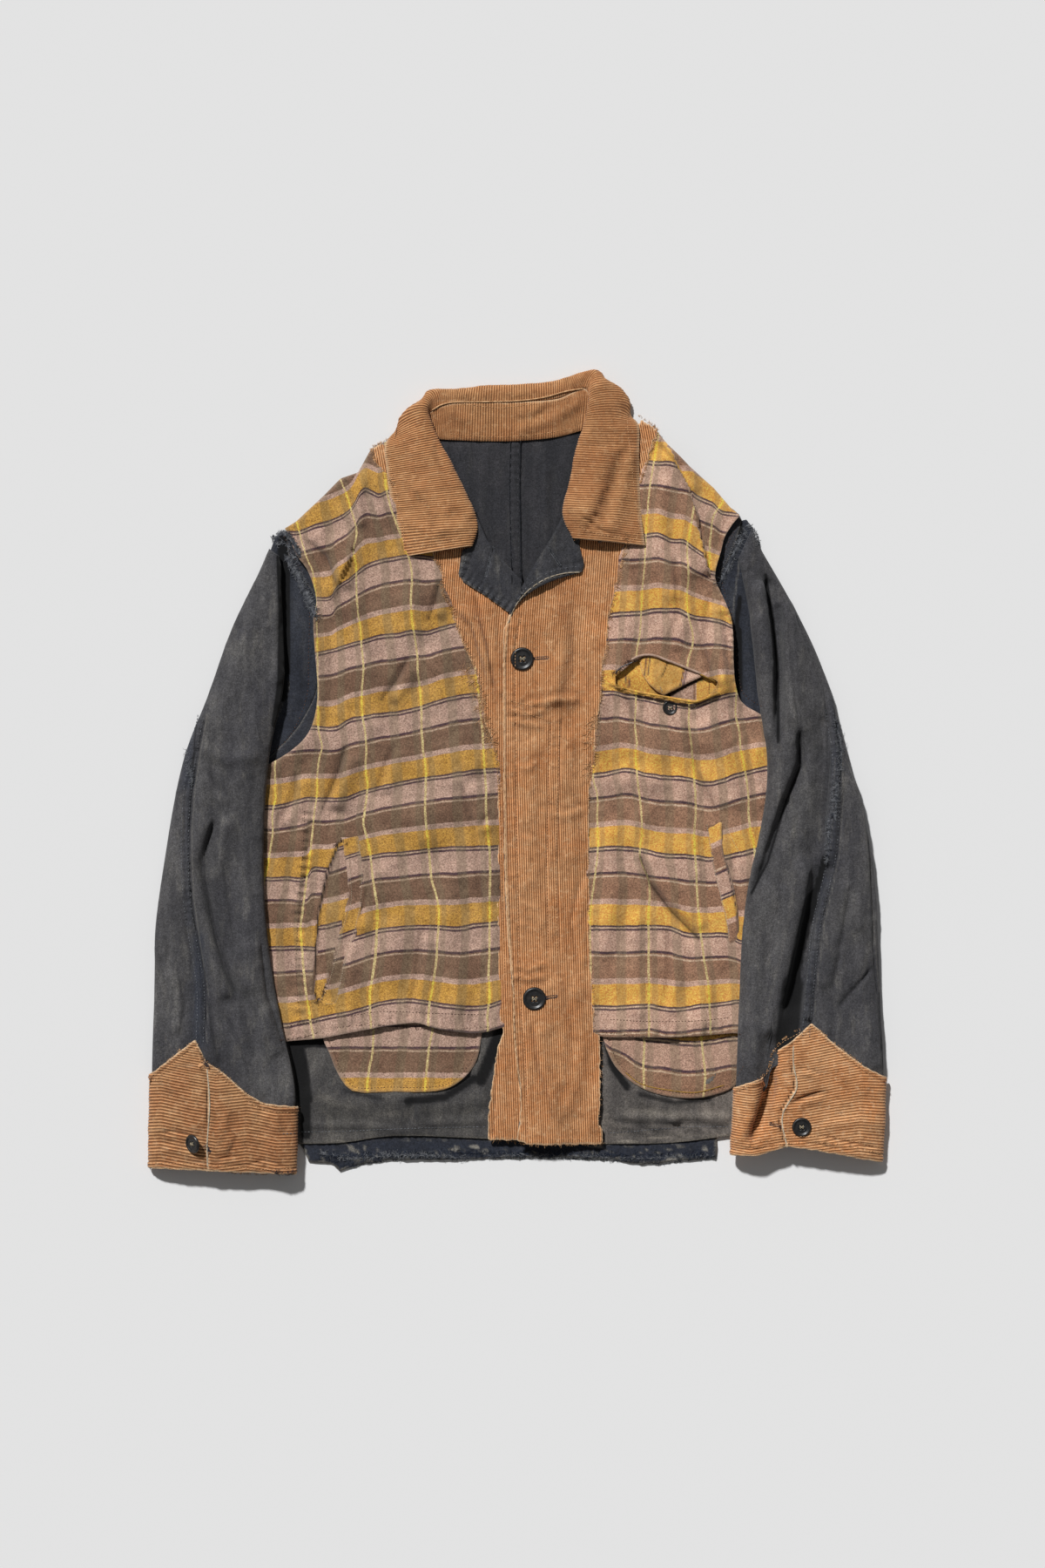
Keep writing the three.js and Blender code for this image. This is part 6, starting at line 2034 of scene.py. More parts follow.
TUBES = {"left": Tube(outer=drawn("-246,222,9 -256,199,11 -283,143,15 -307,76,19 -330,16,21 -350,-88,22 "
        "-358,-157,20 -360,-228,18 -362,-300,17 -363,-389,17"),
        inner=drawn("-235,214,3.8 -235,192,3.8 -232,143,4 -232,85,4.5 -245,20,6.5 -251,-60,6.4 "
        "-249,-144,6.4 -236,-236,6.4 -221,-310,6.4 -221,-395,6.4"),
        folds=(Fold(((-290, 60), (-300, 0)), 14, -3), Fold(drawn("-300,-20 -292,-90 -280,-170"), 10, -5),
        Fold(drawn("-318,20 -324,-60 -318,-190"), 9, -3), Fold(((-262, 120), (-268, 10)), 14, 2),),
        cuff_top=drawn("-366,-300 -318,-262 -307,-284 -290,-295 -267,-316 -251,-325 -214,-329"),
        cuff_hem=drawn("-366,-390 -305,-391 -229,-398 -214,-394"),
        creases=(Pucker(mark("232,826 226,860 218,906 216,952 217,1009 221,1067 227,1092 230,1136 "
        "231,1193"), 4.2, 7.0, 0.45, 111),
        Crease(mark("236,1196 237,1136 228,1080 221,1030 219,952 222,906 229,860 236,822"), 2.6, 1.0, 4,
        1.4),
        Fold(mark("226,862 214,906 213,952 214,1009 216,1067 221,1092 223,1136 223,1190"), 1.4, -1.4),
        Crease(mark("274,1146 260,1110 249,1072 241,1035 234,1004 233,990 240,966 248,938"), 4.6, 3.4, 9,
        2.6), Fold(mark("262,950 252,1000 264,1060 282,1130"), 9, 3.2),
        Crease(mark("256,1226 247,1185 239,1147"), 3.0, 2.0, 7, 2),
        Crease(mark("270,918 252,905 238,884"), 2.4, 2.0, 7),
        Fold(mark("238,862 262,872 290,868"), 7, 2.4), Fold(mark("300,700 270,760 250,830"), 12, 1.6),
        Fold(mark("290,905 282,960 290,1030"), 10, -2.4),
        Crease(mark("196,1104 186,1030 192,955"), 2.0, 1.8, 8),
        Crease(mark("330,1212 308,1140 300,1076"), 3.0, 2.6, 9),
        Fold(mark("318,1160 334,1210 338,1262"), 6, 2.6),
        Crease(mark("208,1194 214,1150 204,1106"), 2.0, 1.6, 7),
        Fold(mark("270,1160 280,1200 300,1250"), 9, 2.4),
        Crease(mark("296,1250 282,1210 262,1168"), 2.0, 1.4, 7),
        Fold(mark("322,650 316,720 319,780"), 5, 2.2),),
        navy=((mark("229,1078 229,1130 229,1196"), 8.0, 1.0), (mark("224,812 215,870 216,900"), 8.0, 0.9),
        (mark("216,900 215,990 219,1060"), 3.6, 0.5), (mark("320,610 326,640"), 9.0, 0.8)),
        dark=((mark("321,640 324,700 323,780 316,832"), 3.6, 1.6),
        (mark("226,820 221,900 217,950 217,1000 220,1040 227,1072 236,1120 237,1192"), 1.3, 0.85),
        (mark("246,944 235,985 236,1010 242,1040 250,1075 260,1108 270,1138"), 2.8, 0.75),
        (mark("243,1160 250,1195 257,1226"), 2.0, 0.6), (mark("304,1100 312,1160 328,1205"), 3.4, 0.5),
        (mark("194,965 188,1030 195,1096"), 3.0, 0.4)),
        pale=((mark("206,1050 212,1110"), 2.0, 0.30), (mark("241,1152 256,1205"), 1.3, 0.35),
        (mark("262,990 262,1040 276,1110"), 3.0, 0.25), (mark("228,1085 231,1185"), 2.0, 0.35)),),
    "right": Tube(outer=drawn("230,240,10 241,220,12 269,171,16 298,111,20 326,17,22 350,-88,22 "
        "356,-172,21 358,-228,19 361,-300,18 358,-383,18"),
        inner=drawn("218,213,3.8 222,192,3.8 231,143,4 237,85,4.5 246,5,6.5 238,-65,6.4 224,-130,6.4 "
        "218,-228,6.4 215,-305,6.4 212,-376,6.4"),
        folds=(Fold(drawn("247,188 256,150 258,60"), 9, -6),
        Fold(drawn("277,20 262,-40 242,-105"), 9, -7),
        Fold(drawn("302,50 300,-30 282,-160 270,-225"), 11, -8), Fold(((247, -306), (240, -345)), 9, -6),
        ),
        cuff_top=drawn("210,-311 245,-298 249,-277 267,-266 289,-246 311,-266 341,-289 366,-302"),
        cuff_hem=drawn("206,-376 236,-376 267,-367 294,-371 366,-385"),
        creases=(Pucker(mark("950,810 956,860 956,930 953,980"), 3.6, 6.4, 0.5, 122),
        Crease(mark("930,1190 932,1166 937,1114 943,1062 952,1022 961,980 965,915 965,865 957,812"), 1.8,
        0.8, 4, 1.3),
        Pucker(mark("950,990 943,1022 935,1062 929,1114 924,1166 923,1190"), 4.2, 7.0, 0.7, 121),
        Crease(mark("938,740 947,790 951,830 951,880 946,940 944,990"), 2.8, 1.8, 5, 1.5),
        Fold(mark("946,998 936,1034 927,1070 919,1112 912,1150 899,1196"), 6.0, -8),
        Fold(mark("922,1000 912,1046 900,1104 880,1180"), 9.0, 4.0),
        Fold(mark("947,1018 938,1062 931,1114 926,1166"), 3.6, 3.0),
        Crease(mark("860,1032 880,990 903,918 919,878 917,838"), 6.5, 3.0, 8, 3.2),
        Fold(mark("903,920 888,962 876,1000"), 4.5, -5),
        Crease(mark("891,856 893,800 893,760 888,712 880,662"), 7.0, 3.0, 7, 3.4),
        Fold(mark("893,700 893,800"), 4.0, -3.5), Fold(mark("868,680 870,760 868,840"), 8, 3.2),
        Fold(mark("905,700 915,770 912,830"), 9, 3.0), Fold(mark("860,880 866,940 858,990"), 8, 2.4),
        Crease(mark("916,832 910,770 905,712"), 2.0, 1.8, 8),
        Fold(mark("985,900 992,980 985,1060"), 9, 2.4),
        Crease(mark("955,1140 966,1080 978,1010"), 2.2, 2.0, 9),
        Crease(mark("960,1160 985,1130 1003,1108"), 2.6, 0.6, 9),
        Fold(mark("990,1100 996,1160 1003,1220"), 8, 2.0),
        Fold(mark("860,1120 866,1170 862,1220"), 8, 2.8),
        Crease(mark("1013,1230 1009,1160 1003,1090 998,1000 992,930 980,890"), 1.8, 1.2, 3, 1.2),
        Crease(mark("945,792 928,745 910,697"), 1.6, 1.0, 3, 1.2),
        Crease(mark("862,700 852,760 850,800"), 1.8, 1.2, 6),),
        navy=((mark("947,1010 938,1062 931,1114 927,1166 925,1192"), 5.5, 0.7),
        (mark("958,806 960,860 955,940 953,990"), 6.5, 0.6), (mark("856,610 842,640 830,668"), 8.0, 0.8)),
        dark=((mark("879,660 888,712 893,765 893,852"), 2.8, 1.05),
        (mark("918,842 919,880 903,918 881,990 862,1026"), 2.4, 0.95),
        (mark("947,985 942,1006 934,1032"), 4.2, 1.6),
        (mark("932,1032 924,1062 916,1095 910,1130"), 6.5, 2.2),
        (mark("910,1130 906,1165 902,1200"), 10.5, 2.2), (mark("868,1000 862,1030"), 3.0, 0.7),
        (mark("968,905 964,940 960,972"), 1.8, 0.8), (mark("953,862 950,900 946,950"), 1.8, 0.75),
        (mark("1010,1140 1013,1185 1015,1228"), 1.6, 1.0),
        (mark("1016,1010 1022,1080 1024,1150"), 3.0, 0.5), (mark("912,720 915,780 917,830"), 2.0, 0.5),
        (mark("856,700 850,760 848,800"), 3.0, 0.7)),
        pale=((mark("912,1000 905,1050 895,1100 882,1150"), 3.4, 0.38),
        (mark("958,850 975,880 990,925 997,1000 1003,1060 1008,1120 1010,1140"), 0.9, 0.6),
        (mark("870,690 871,760 870,830"), 3.4, 0.30), (mark("938,1050 932,1100 926,1180"), 1.6, 0.45),
        (mark("958,870 956,930 953,975"), 1.6, 0.5), (mark("900,700 905,780 904,840"), 3.0, 0.22)),),}


@dataclass
class Sleeves:
    """The two twill sleeves: flattened tubes with felled back seams."""

    shop: Workshop
    twill: Twill = Twill("twill_sleeve", "#454447", "#605e5d", "#252529", 0.7)
    rings: int = 265
    over: int = 92
    under: int = 16

    def build(self) -> None:
        """Make both sleeves, each one cloth whose edges lap beneath."""
        beneath = np.linspace(-0.5 * math.pi, 0, self.under, endpoint=False)
        upper = np.linspace(0, math.pi, self.over, endpoint=False)
        back = np.linspace(math.pi, 1.5 * math.pi + 0.12, self.under)
        angle = np.concatenate([beneath, upper, back])
        tucked = np.where(angle > 1.5 * math.pi - 0.08, -0.7, 0.0)
        for side, tube in TUBES.items():
            end = tube.cuff_start(angle, 14.0)
            share = np.linspace(0, 1, self.rings)[:, None]
            along = share * end[None, :]
            turn = np.broadcast_to(angle, along.shape)
            x, y, *_ = tube.raw(along, turn)
            arch = np.maximum(np.sin(turn), 0.0) ** 0.6
            wave = Ripple(131)
            fine = 1.9 * relief(tube.creases, x, y)
            fine = np.where(fine < 0, -7.0 * (1 - np.exp(fine / 7.0)), fine)
            rough = 2.2 * wave.cloth(x, y, 24, 60)
            calm = np.where(np.sin(turn) < 0, 0.2, 1.0) * ease(np.abs(np.sin(turn)) / 0.3)
            cuff = ease((along - (end - 0.035)) / 0.03)
            out = (arch * fine + rough * calm) * (1 - cuff) - 0.2 * cuff + tucked
            points, _ = tube.place(along, turn, out)
            middle = points[0].mean(axis=0)
            points[0] = middle + (points[0] - middle) * (1.0, 1.0, 0.3)
            faces = triangles_of(self.rings, len(angle))
            head = np.arange(len(angle) - 1)
            cap = np.stack([np.full(len(head), self.rings * len(angle)), head + 1, head], -1)
            flat = np.concatenate([points.reshape(-1, 3), [points[0].mean(axis=0)]])
            draft = Draft.plain(flat, np.concatenate([faces, cap]))
            draft.weave[:, :2] = flat[:, :2]
            over = np.append(np.sin(turn).ravel() > 0, True)
            x, y = flat[:, 0], flat[:, 1]
            away, _ = trace(tube.creases[1].line, x, y)
            seam = 0.6 * np.exp(-(((away + 2.0) / 1.3) ** 2))
            # Wear along the felled seam and on the pale lines, these partly a painted highlight along lit
            # ridges.
            draft.state[:, 0] = np.where(over, np.maximum(seam, streaked(tube.pale, x, y)), 0.0)
            # Painted shade in the deep creases and along the dark lines.
            shade = np.maximum(painted_fold_shade(tube.creases, x, y, 0.62), streaked(tube.dark, x, y))
            draft.state[:, 1] = np.where(over, shade, 0.0)
            draft.state[:, 2] = streaked(tube.navy, x, y)
            self.facing_up(draft)
            piece = self.shop.add(f"sleeve_{side}_cloth", draft, self.twill, Slot.TWILL, [f"sleeve_{side}"])
            self.shop.sheet(piece, draft, 1, ["back_cloth"], (0.30, 0.62))

    @staticmethod
    def facing_up(draft: Draft) -> None:
        """Turn a draft's faces over if its uppermost ones look down."""
        a, b, c = (draft.points[draft.faces[:, k]] for k in range(3))
        lift = np.cross(b - a, c - a)[:, 2]
        high = (a[:, 2] + b[:, 2] + c[:, 2]) / 3 > np.median(draft.points[:, 2])
        if lift[high].sum() < 0:
            draft.faces = draft.faces[:, ::-1].copy()


@dataclass
class Cuffs:
    """The corduroy cuffs: pointed tubes, slit at the back seam, with piped slits."""

    shop: Workshop
    left: Corduroy = Corduroy("corduroy_cuff_left", "#d08c5b", "#e3aa76", "#4c2c17", "#f8d0a2")
    right: Corduroy = Corduroy("corduroy_cuff_right", "#f9a96a", "#ffc086", "#5f371d", "#ffe2b8")
    wale: float = 2.7
    rib: float = 0.6
    wall: float = CUFF_GAP + CORDUROY
    LENGTH = 690.0
    LEANS = {"left": drawn("7.0,0.0 1.0,45.0 4.0,70.0 1.5,95.0 5.0,125.0 7.5,150.0 3.0,180.0 6.0,210.0 "
            "0.0,330.0"),
        "right": drawn("0.0,0.0 2.0,45.0 -1.0,75.0 -4.0,110.0 -1.0,135.0 4.0,165.0 6.0,190.0 12.0,220.0 "
            "0.0,330.0"),}
    SLITS = {"left": mark("234.6,1193 238,1226 241,1267 238,1314 239,1347"),
        "right": mark("909,1199 909,1220 913,1247 905,1262 898,1274 896,1287 902,1316"),}
    CREASES = {"left": (Crease(mark("224,1303 205,1298 183,1300"), 2.2, 1.6, 4),
            Fold(mark("178,1322 200,1318 228,1326"), 4, 1.4),
            Crease(mark("262,1327 268,1316 271,1302"), 1.8, 1.2, 5),
            Crease(mark("332,1339 305,1331 283,1336"), 2.0, 1.4, 4),
            Crease(mark("284,1329 268,1325 248,1331"), 1.8, 1.2, 4),
            Fold(mark("254,1250 262,1275 256,1300"), 6, 1.6),
            Fold(mark("196,1240 214,1260 226,1290"), 8, 1.6),
            Crease(mark("330,1300 322,1280 306,1268"), 1.6, 1.6, 8),),
        "right": (Fold(mark("886,1202 882,1256 864,1303"), 6.0, -6.0),
            Fold(mark("863,1240 860,1280 850,1306"), 7, 3.4),
            Crease(mark("946,1251 925,1257 908,1264"), 4.5, 1.8, 5, 1.6),
            Crease(mark("946,1236 932,1228 916,1224"), 1.6, 1.2, 4),
            Fold(mark("940,1218 965,1230 990,1250"), 8, 1.6),
            Crease(mark("1010,1317 975,1311 938,1301"), 2.0, 1.6, 5),
            Fold(mark("955,1290 985,1285 1010,1290"), 6, 1.6),),}

    def build(self) -> None:
        """Make both cuffs."""
        for side, tube in TUBES.items():
            draft = self.draft(side, tube)
            piece = self.shop.add(f"cuff_{side}_cloth", draft, getattr(self, side), Slot.CORDUROY,
                                  [f"cuff_{side}"])
            self.shop.sheet(piece, draft, 1, [f"sleeve_{side}_cloth"], (0.31, 0.14))

    def draft(self, side: str, tube: Tube) -> Draft:
        """One cuff, its wales running round it, its ends lapped beneath.

        Args:
            side: Which cuff it is.
            tube: Its sleeve.

        Returns:
            The draft.
        """
        angle = np.linspace(-0.5 * math.pi, 1.5 * math.pi + 0.1, 260)
        middle, _ = tube.place(np.full(len(angle), 0.9), angle, self.wall)
        gone = np.concatenate([[0], np.cumsum(np.linalg.norm(np.diff(middle, axis=0), axis=1))])
        start = tube.cuff_start(angle) * self.LENGTH
        end = tube.crossing(angle, tube.cuff_hem) * self.LENGTH
        wave = Ripple(141)
        start = start + 0.5 * wave.at(gone, gone * 0, 3.1)
        end = end + 0.6 * wave.at(gone, gone * 0 + 9, 4.3)
        outline = [*zip(gone, start), *zip(gone[::-1], end[::-1])]
        grain = Grain(self.wale / COLUMNS, 2.3, self.LEANS[side], turned=True)
        s, t, column, faces = cut_cloth(outline, grain)
        turn, along = np.interp(s, gone, angle), t / self.LENGTH
        x, y, *_ = tube.raw(along, turn)
        over = np.where(np.sin(turn) > 0, 1.0, 0.0)
        arch = np.maximum(np.sin(turn), 0.0) ** 0.5
        phase = np.mod(column, COLUMNS) / COLUMNS
        rib = wales(phase, self.rib)
        slit, _ = trace(self.SLITS[side], x, y)
        lap = over * 2.0 * ease((slit + 0.5) / 1.0) * np.exp(-np.maximum(slit, 0) / 16)
        groove = -over * 1.6 * np.exp(-(((slit + 1.4) / 0.9) ** 2))
        piping = over * 0.8 * np.exp(-(((slit - 0.9) / 0.9) ** 2))
        fine = 1.6 * arch * relief(self.CREASES[side], x, y) + 1.3 * over * wave.cloth(x, y, 24)
        edge = np.minimum(t - np.interp(s, gone, start), np.interp(s, gone, end) - t)
        tucked = np.where(turn > 1.5 * math.pi - 0.06, -0.7, 0.0)
        rolled = 0.7 * np.exp(-(((edge - 3.0) / 2.0) ** 2)) - 0.5 * np.exp(-(((edge - 6.0) / 1.2) ** 2))
        out = self.wall + rib + fine + lap + groove + piping + tucked + over * rolled
        out = np.where(over > 0, out, np.maximum(out, 1.2))
        points, normal = tube.place(along, turn, out)
        draft = Draft.plain(points, faces)
        draft.weave = np.column_stack([s, t, phase])
        piped = over * np.exp(-(((slit - 0.7) / 1.0) ** 2))
        draft.state[:, 0] = np.maximum(np.exp(-np.maximum(edge, 0) / 1.4), piped)
        # Painted shade in the groove beside the slit and in the creases; the darker wales are random.
        dark = over * np.exp(-(((slit + 1.6) / 1.1) ** 2))
        streak = wave.at(s, t, 30, 2.6) + 0.5 * wave.at(s, t + 70, 12, 9)
        draft.state[:, 0] = np.maximum(draft.state[:, 0], 0.4 * over * np.maximum(streak, 0) ** 1.2)
        dark = np.maximum(dark, 0.36 * over * np.maximum(-streak, 0) ** 1.2)
        draft.state[:, 1] = np.maximum(dark, over * painted_fold_shade(self.CREASES[side], x, y, 0.8))
        if self.inward(points, faces, normal):
            draft.faces = faces[:, ::-1].copy()
        return draft.hemmed([(0.3, 0.6), (0.2, 1.5), (-1.0, 1.9), (-9.0, 2.1)], normal, drop=0.1)

    @staticmethod
    def inward(points: Array, faces: Array, normal: Array) -> bool:
        """Whether most faces turn their backs on the cloth's outer side."""
        a, b, c = (points[faces[:, k]] for k in range(3))
        return bool((np.cross(b - a, c - a) * normal[faces[:, 0]]).sum() < 0)


@dataclass
class Collar:
    """The corduroy collar: a stand round the back of the neck, and a fall that turns over it."""

    shop: Workshop
    corduroy: Corduroy = Corduroy("corduroy_collar", "#cf8c58", "#dda26c", "#6a4228", "#f2c998")
    wale: float = 2.4
    rib: float = 0.6

    FORMS = (Crease(mark("688,604 703,556 716,512"), 5.5, 1.8, 9, 2.4),
        Fold(mark("726,520 716,560 702,605"), 6, 2.2),
        Crease(mark("673,612 688,585 701,556"), 3.0, 1.0, 6),
        Fold(mark("690,520 680,560 668,590"), 8, 2.2), Fold(mark("700,470 715,500 722,540"), 7, 1.8),
        Fold(mark("478,500 500,540 520,580"), 8, 2.4),
        Crease(mark("470,556 492,590 504,622"), 2.2, 2.0, 8),
        Crease(mark("498,516 515,560 534,604"), 2.2, 2.0, 8),
        Fold(mark("465,600 500,612 530,606"), 8, 1.8), Fold(mark("655,578 672,600 700,610"), 7, 1.8),
        Crease(mark("706,616 682,606 664,590"), 2.0, 0.6, 5),
        Fold(mark("520,474 540,484 548,498"), 5, 1.4),
        Crease(mark("586,482 612,479 634,466"), 1.6, 1.2, 5),
        Fold(mark("600,492 640,478 664,462"), 6, 2.0),
        Crease(mark("466,510 470,545 464,585"), 1.4, 1.2, 6),)
    SEAM = mark("501,460 527,459 574,463 600,460 636,456 667,448 680,444")

    @staticmethod
    def leaf(roll: Point, edge: Point, under: float, top: float, tip: float) -> list[tuple[float, ...]]:
        """A station where the fall lies on the fronts, the stand folded flat beneath it."""
        length = math.dist(edge, roll)
        ux, uy = (edge[0] - roll[0]) / length, (edge[1] - roll[1]) / length
        steps = ((32, under), (8, under), (2, under + 0.7), (0, (under + top) / 2), (7, top),
                 (length / 2, top - 1.2))
        return [*((roll[0] + ux * d, roll[1] + uy * d, z) for d, z in steps), (*edge, tip)]

    @classmethod
    def stations(cls) -> Array:
        """The cloth's middle at places along the collar, each from the neck seam to the outer edge."""
        return np.array([cls.leaf((-46, 225), (-114, 214), 10.5, 17, 9.5),
                cls.leaf((-41, 245), (-119, 241), 9.5, 16.5, 8.5),
                cls.leaf((-53, 278), (-126, 272), 7.6, 15, 7.5),
                cls.leaf((-71, 312), (-130, 303), 7.2, 14.5, 9),
                cls.leaf((-82, 336), (-131, 324), 7.2, 14.5, 9),
                drawn("-108,340,4.6 -97,350,8.5 -92,354,10.5 -90,356,12.5 -96,357,15 -117,347,8 "
                "-119,339,1.3"),
                drawn("-95,341,3.6 -90,355,8 -88,361,10.5 -89,365,13 -93,367,14 -103,363,7.5 -101,344,1"),
                drawn("-82,332,3 -80,362,7.5 -81,371,9.5 -84,377,9.5 -89,378,6 -88,364,1.4 -85,342,0.95"),
                drawn("-62,330,2.8 -60,367,7.5 -59,375,8.4 -58,380,5 -58,374,1.3 -59,357,0.95 "
                "-60,338,0.95"),
                drawn("-6,329,2.8 -6,368,7.5 -6,377,8.6 -6,384,5 -6,377,1.3 -6,358,0.95 -6,337,0.95"),
                drawn("38,333,2.8 39,371,7.5 39,380,8.8 39,388,5 39,381,1.3 38,362,0.95 38,342,0.95"),
                drawn("62,339,3 66,381,8 70,391,10 76,397,9.5 81,395,5.5 79,376,1.4 74,351,0.95"),
                drawn("76,342,3.6 72,370,8 72,378,11 74,384,13.5 81,386,14.5 96,383,8 91,353,1"),
                drawn("86,344,4.8 74,356,8.5 71,361,10.5 70,364,12.5 77,368,15 109,367,8.5 109,352,1.3"),
                cls.leaf((66, 345), (118, 345), 7.2, 14.5, 9),
                cls.leaf((57, 316), (119, 312), 7.2, 14.5, 9), cls.leaf((50, 282), (120, 278), 8, 15, 8),
                cls.leaf((45, 256), (122, 250), 11, 18, 9), cls.leaf((54, 232), (125, 225), 12.5, 19, 10),
                ])

    def strip(self, first: int, last: int, columns: int, pulled: float = 0.0) -> tuple[Array, Array]:
        """The collar's middle between two of the points listed at each station.

        Args:
            first: The first of the points across it.
            last: The last of them.
            columns: How many points each row has.
            pulled: How far the last point of each row is drawn back.

        Returns:
            The rows of points, four to a wale, and the wale's phase at each row.
        """
        stations = self.stations()
        fine = catmull(stations, np.linspace(0, 1, 600))
        span = np.linalg.norm(np.diff(fine[:, 4], axis=0), axis=1)
        gone = np.concatenate([[0], np.cumsum(np.maximum(span, 0.25))])
        count = int(gone[-1] / (self.wale / COLUMNS))
        at = np.interp(np.arange(count + 1) * gone[-1] / count, gone, np.linspace(0, 1, 600))
        rows = catmull(stations, at)[:, first : last + 1]
        lines = catmull(np.swapaxes(rows, 0, 1), np.linspace(0, 1, columns))
        grid = np.swapaxes(lines, 0, 1)
        grid[..., 2] = np.maximum(grid[..., 2], CORDUROY / 2)
        if pulled:
            inward = grid[:, -2] - grid[:, -1]
            inward /= np.maximum(np.linalg.norm(inward, axis=1, keepdims=True), 1e-6)
            grid[:, -1] += inward * pulled
        return grid, np.mod(np.arange(count + 1), COLUMNS) / COLUMNS

    def draft(self, grid: Array, phase: Array) -> Draft:
        """Give a strip its outer face, its wales and its creases.

        Args:
            grid: The strip's middle.
            phase: The phase of the wale at each row.

        Returns:
            The draft, with its rim.
        """
        along = np.gradient(grid, axis=0)
        across = np.gradient(grid, axis=1)
        normal = np.cross(along, across)
        normal /= np.maximum(np.linalg.norm(normal, axis=2, keepdims=True), 1e-9)
        x, y = grid[..., 0], grid[..., 1]
        wave = Ripple(151)
        up = np.clip(normal[..., 2], 0, 1)
        rib = wales(phase, self.rib)[:, None]
        fine = 1.45 * relief(self.FORMS, x, y) * up + 1.2 * wave.cloth(x, y, 20)
        seam, _ = trace(self.SEAM, x, y)
        fine = fine - 0.3 * np.exp(-((seam / 1.0) ** 2)) * up
        fine = np.where(fine < 0, -2.4 * (1 - np.exp(fine / 2.4)), fine)
        outer = grid + normal * (CORDUROY / 2 + rib + fine)[..., None]
        rows, columns = x.shape
        draft = Draft.plain(outer.reshape(-1, 3), triangles_of(rows, columns))
        draft.weave[:, 2] = np.broadcast_to(phase[:, None], x.shape).ravel()
        run = np.arange(columns)[None, :] / (columns - 1)
        length = np.linalg.norm(across, axis=2).sum(axis=1, keepdims=True)
        ends = np.minimum(np.arange(rows), np.arange(rows)[::-1])[:, None] * self.wale / COLUMNS
        edge = np.minimum((1 - run) * length, ends)
        sewn = 0.6 * np.exp(-((seam / 0.8) ** 2)) * up
        draft.state[:, 0] = np.maximum(0.75 * np.exp(-edge / 0.9), sewn).ravel()
        row = np.arange(rows)[:, None] * self.wale / COLUMNS
        streak = wave.at(row, run * length, self.wale, 34) + 0.4 * wave.at(row + 50, run * length, 9, 14)
        draft.state[:, 0] = np.maximum(draft.state[:, 0], (0.32 * np.maximum(streak, 0) ** 1.2).ravel())
        # Painted shade in the creases, with random darker wales.
        shade = np.maximum(painted_fold_shade(self.FORMS, x, y, 0.5) * up, 0.4 * np.maximum(-streak, 0) ** 1.2)
        draft.state[:, 1] = shade.ravel()
        draft.faces = draft.faces[:, ::-1].copy()
        profile = [(0.3, 0.5), (0.2, 1.4), (-1.0, 1.8), (-7.0, 1.8)]
        return draft.hemmed(profile, normal.reshape(-1, 3), drop=0.1)

    def build(self) -> None:
        """Make the stand and the fall."""
        grid, phase = self.strip(0, 1, 11, 1.1)
        draft = self.draft(grid, phase)
        piece = self.shop.add("collar_stand_cloth", draft, self.corduroy, Slot.CORDUROY, ["collar_stand"])
        self.shop.sheet(piece, draft, 1, ["back_cloth"], (0.52, 0.04))
        grid, phase = self.strip(1, 6, 34)
        draft = self.draft(grid, phase)
        piece = self.shop.add("collar_fall_cloth", draft, self.corduroy, Slot.CORDUROY, ["collar_fall"])
        self.shop.sheet(piece, draft, 1, ["vest_left_cloth", "vest_right_cloth"], (0.56, 0.085))


@dataclass(frozen=True)
class Stud:
    """One button: where it is sewn, how wide it is, and how it lies."""

    node: str
    at: Point
    width: float
    tilt: tuple[float, float] = (0.0, 0.0)


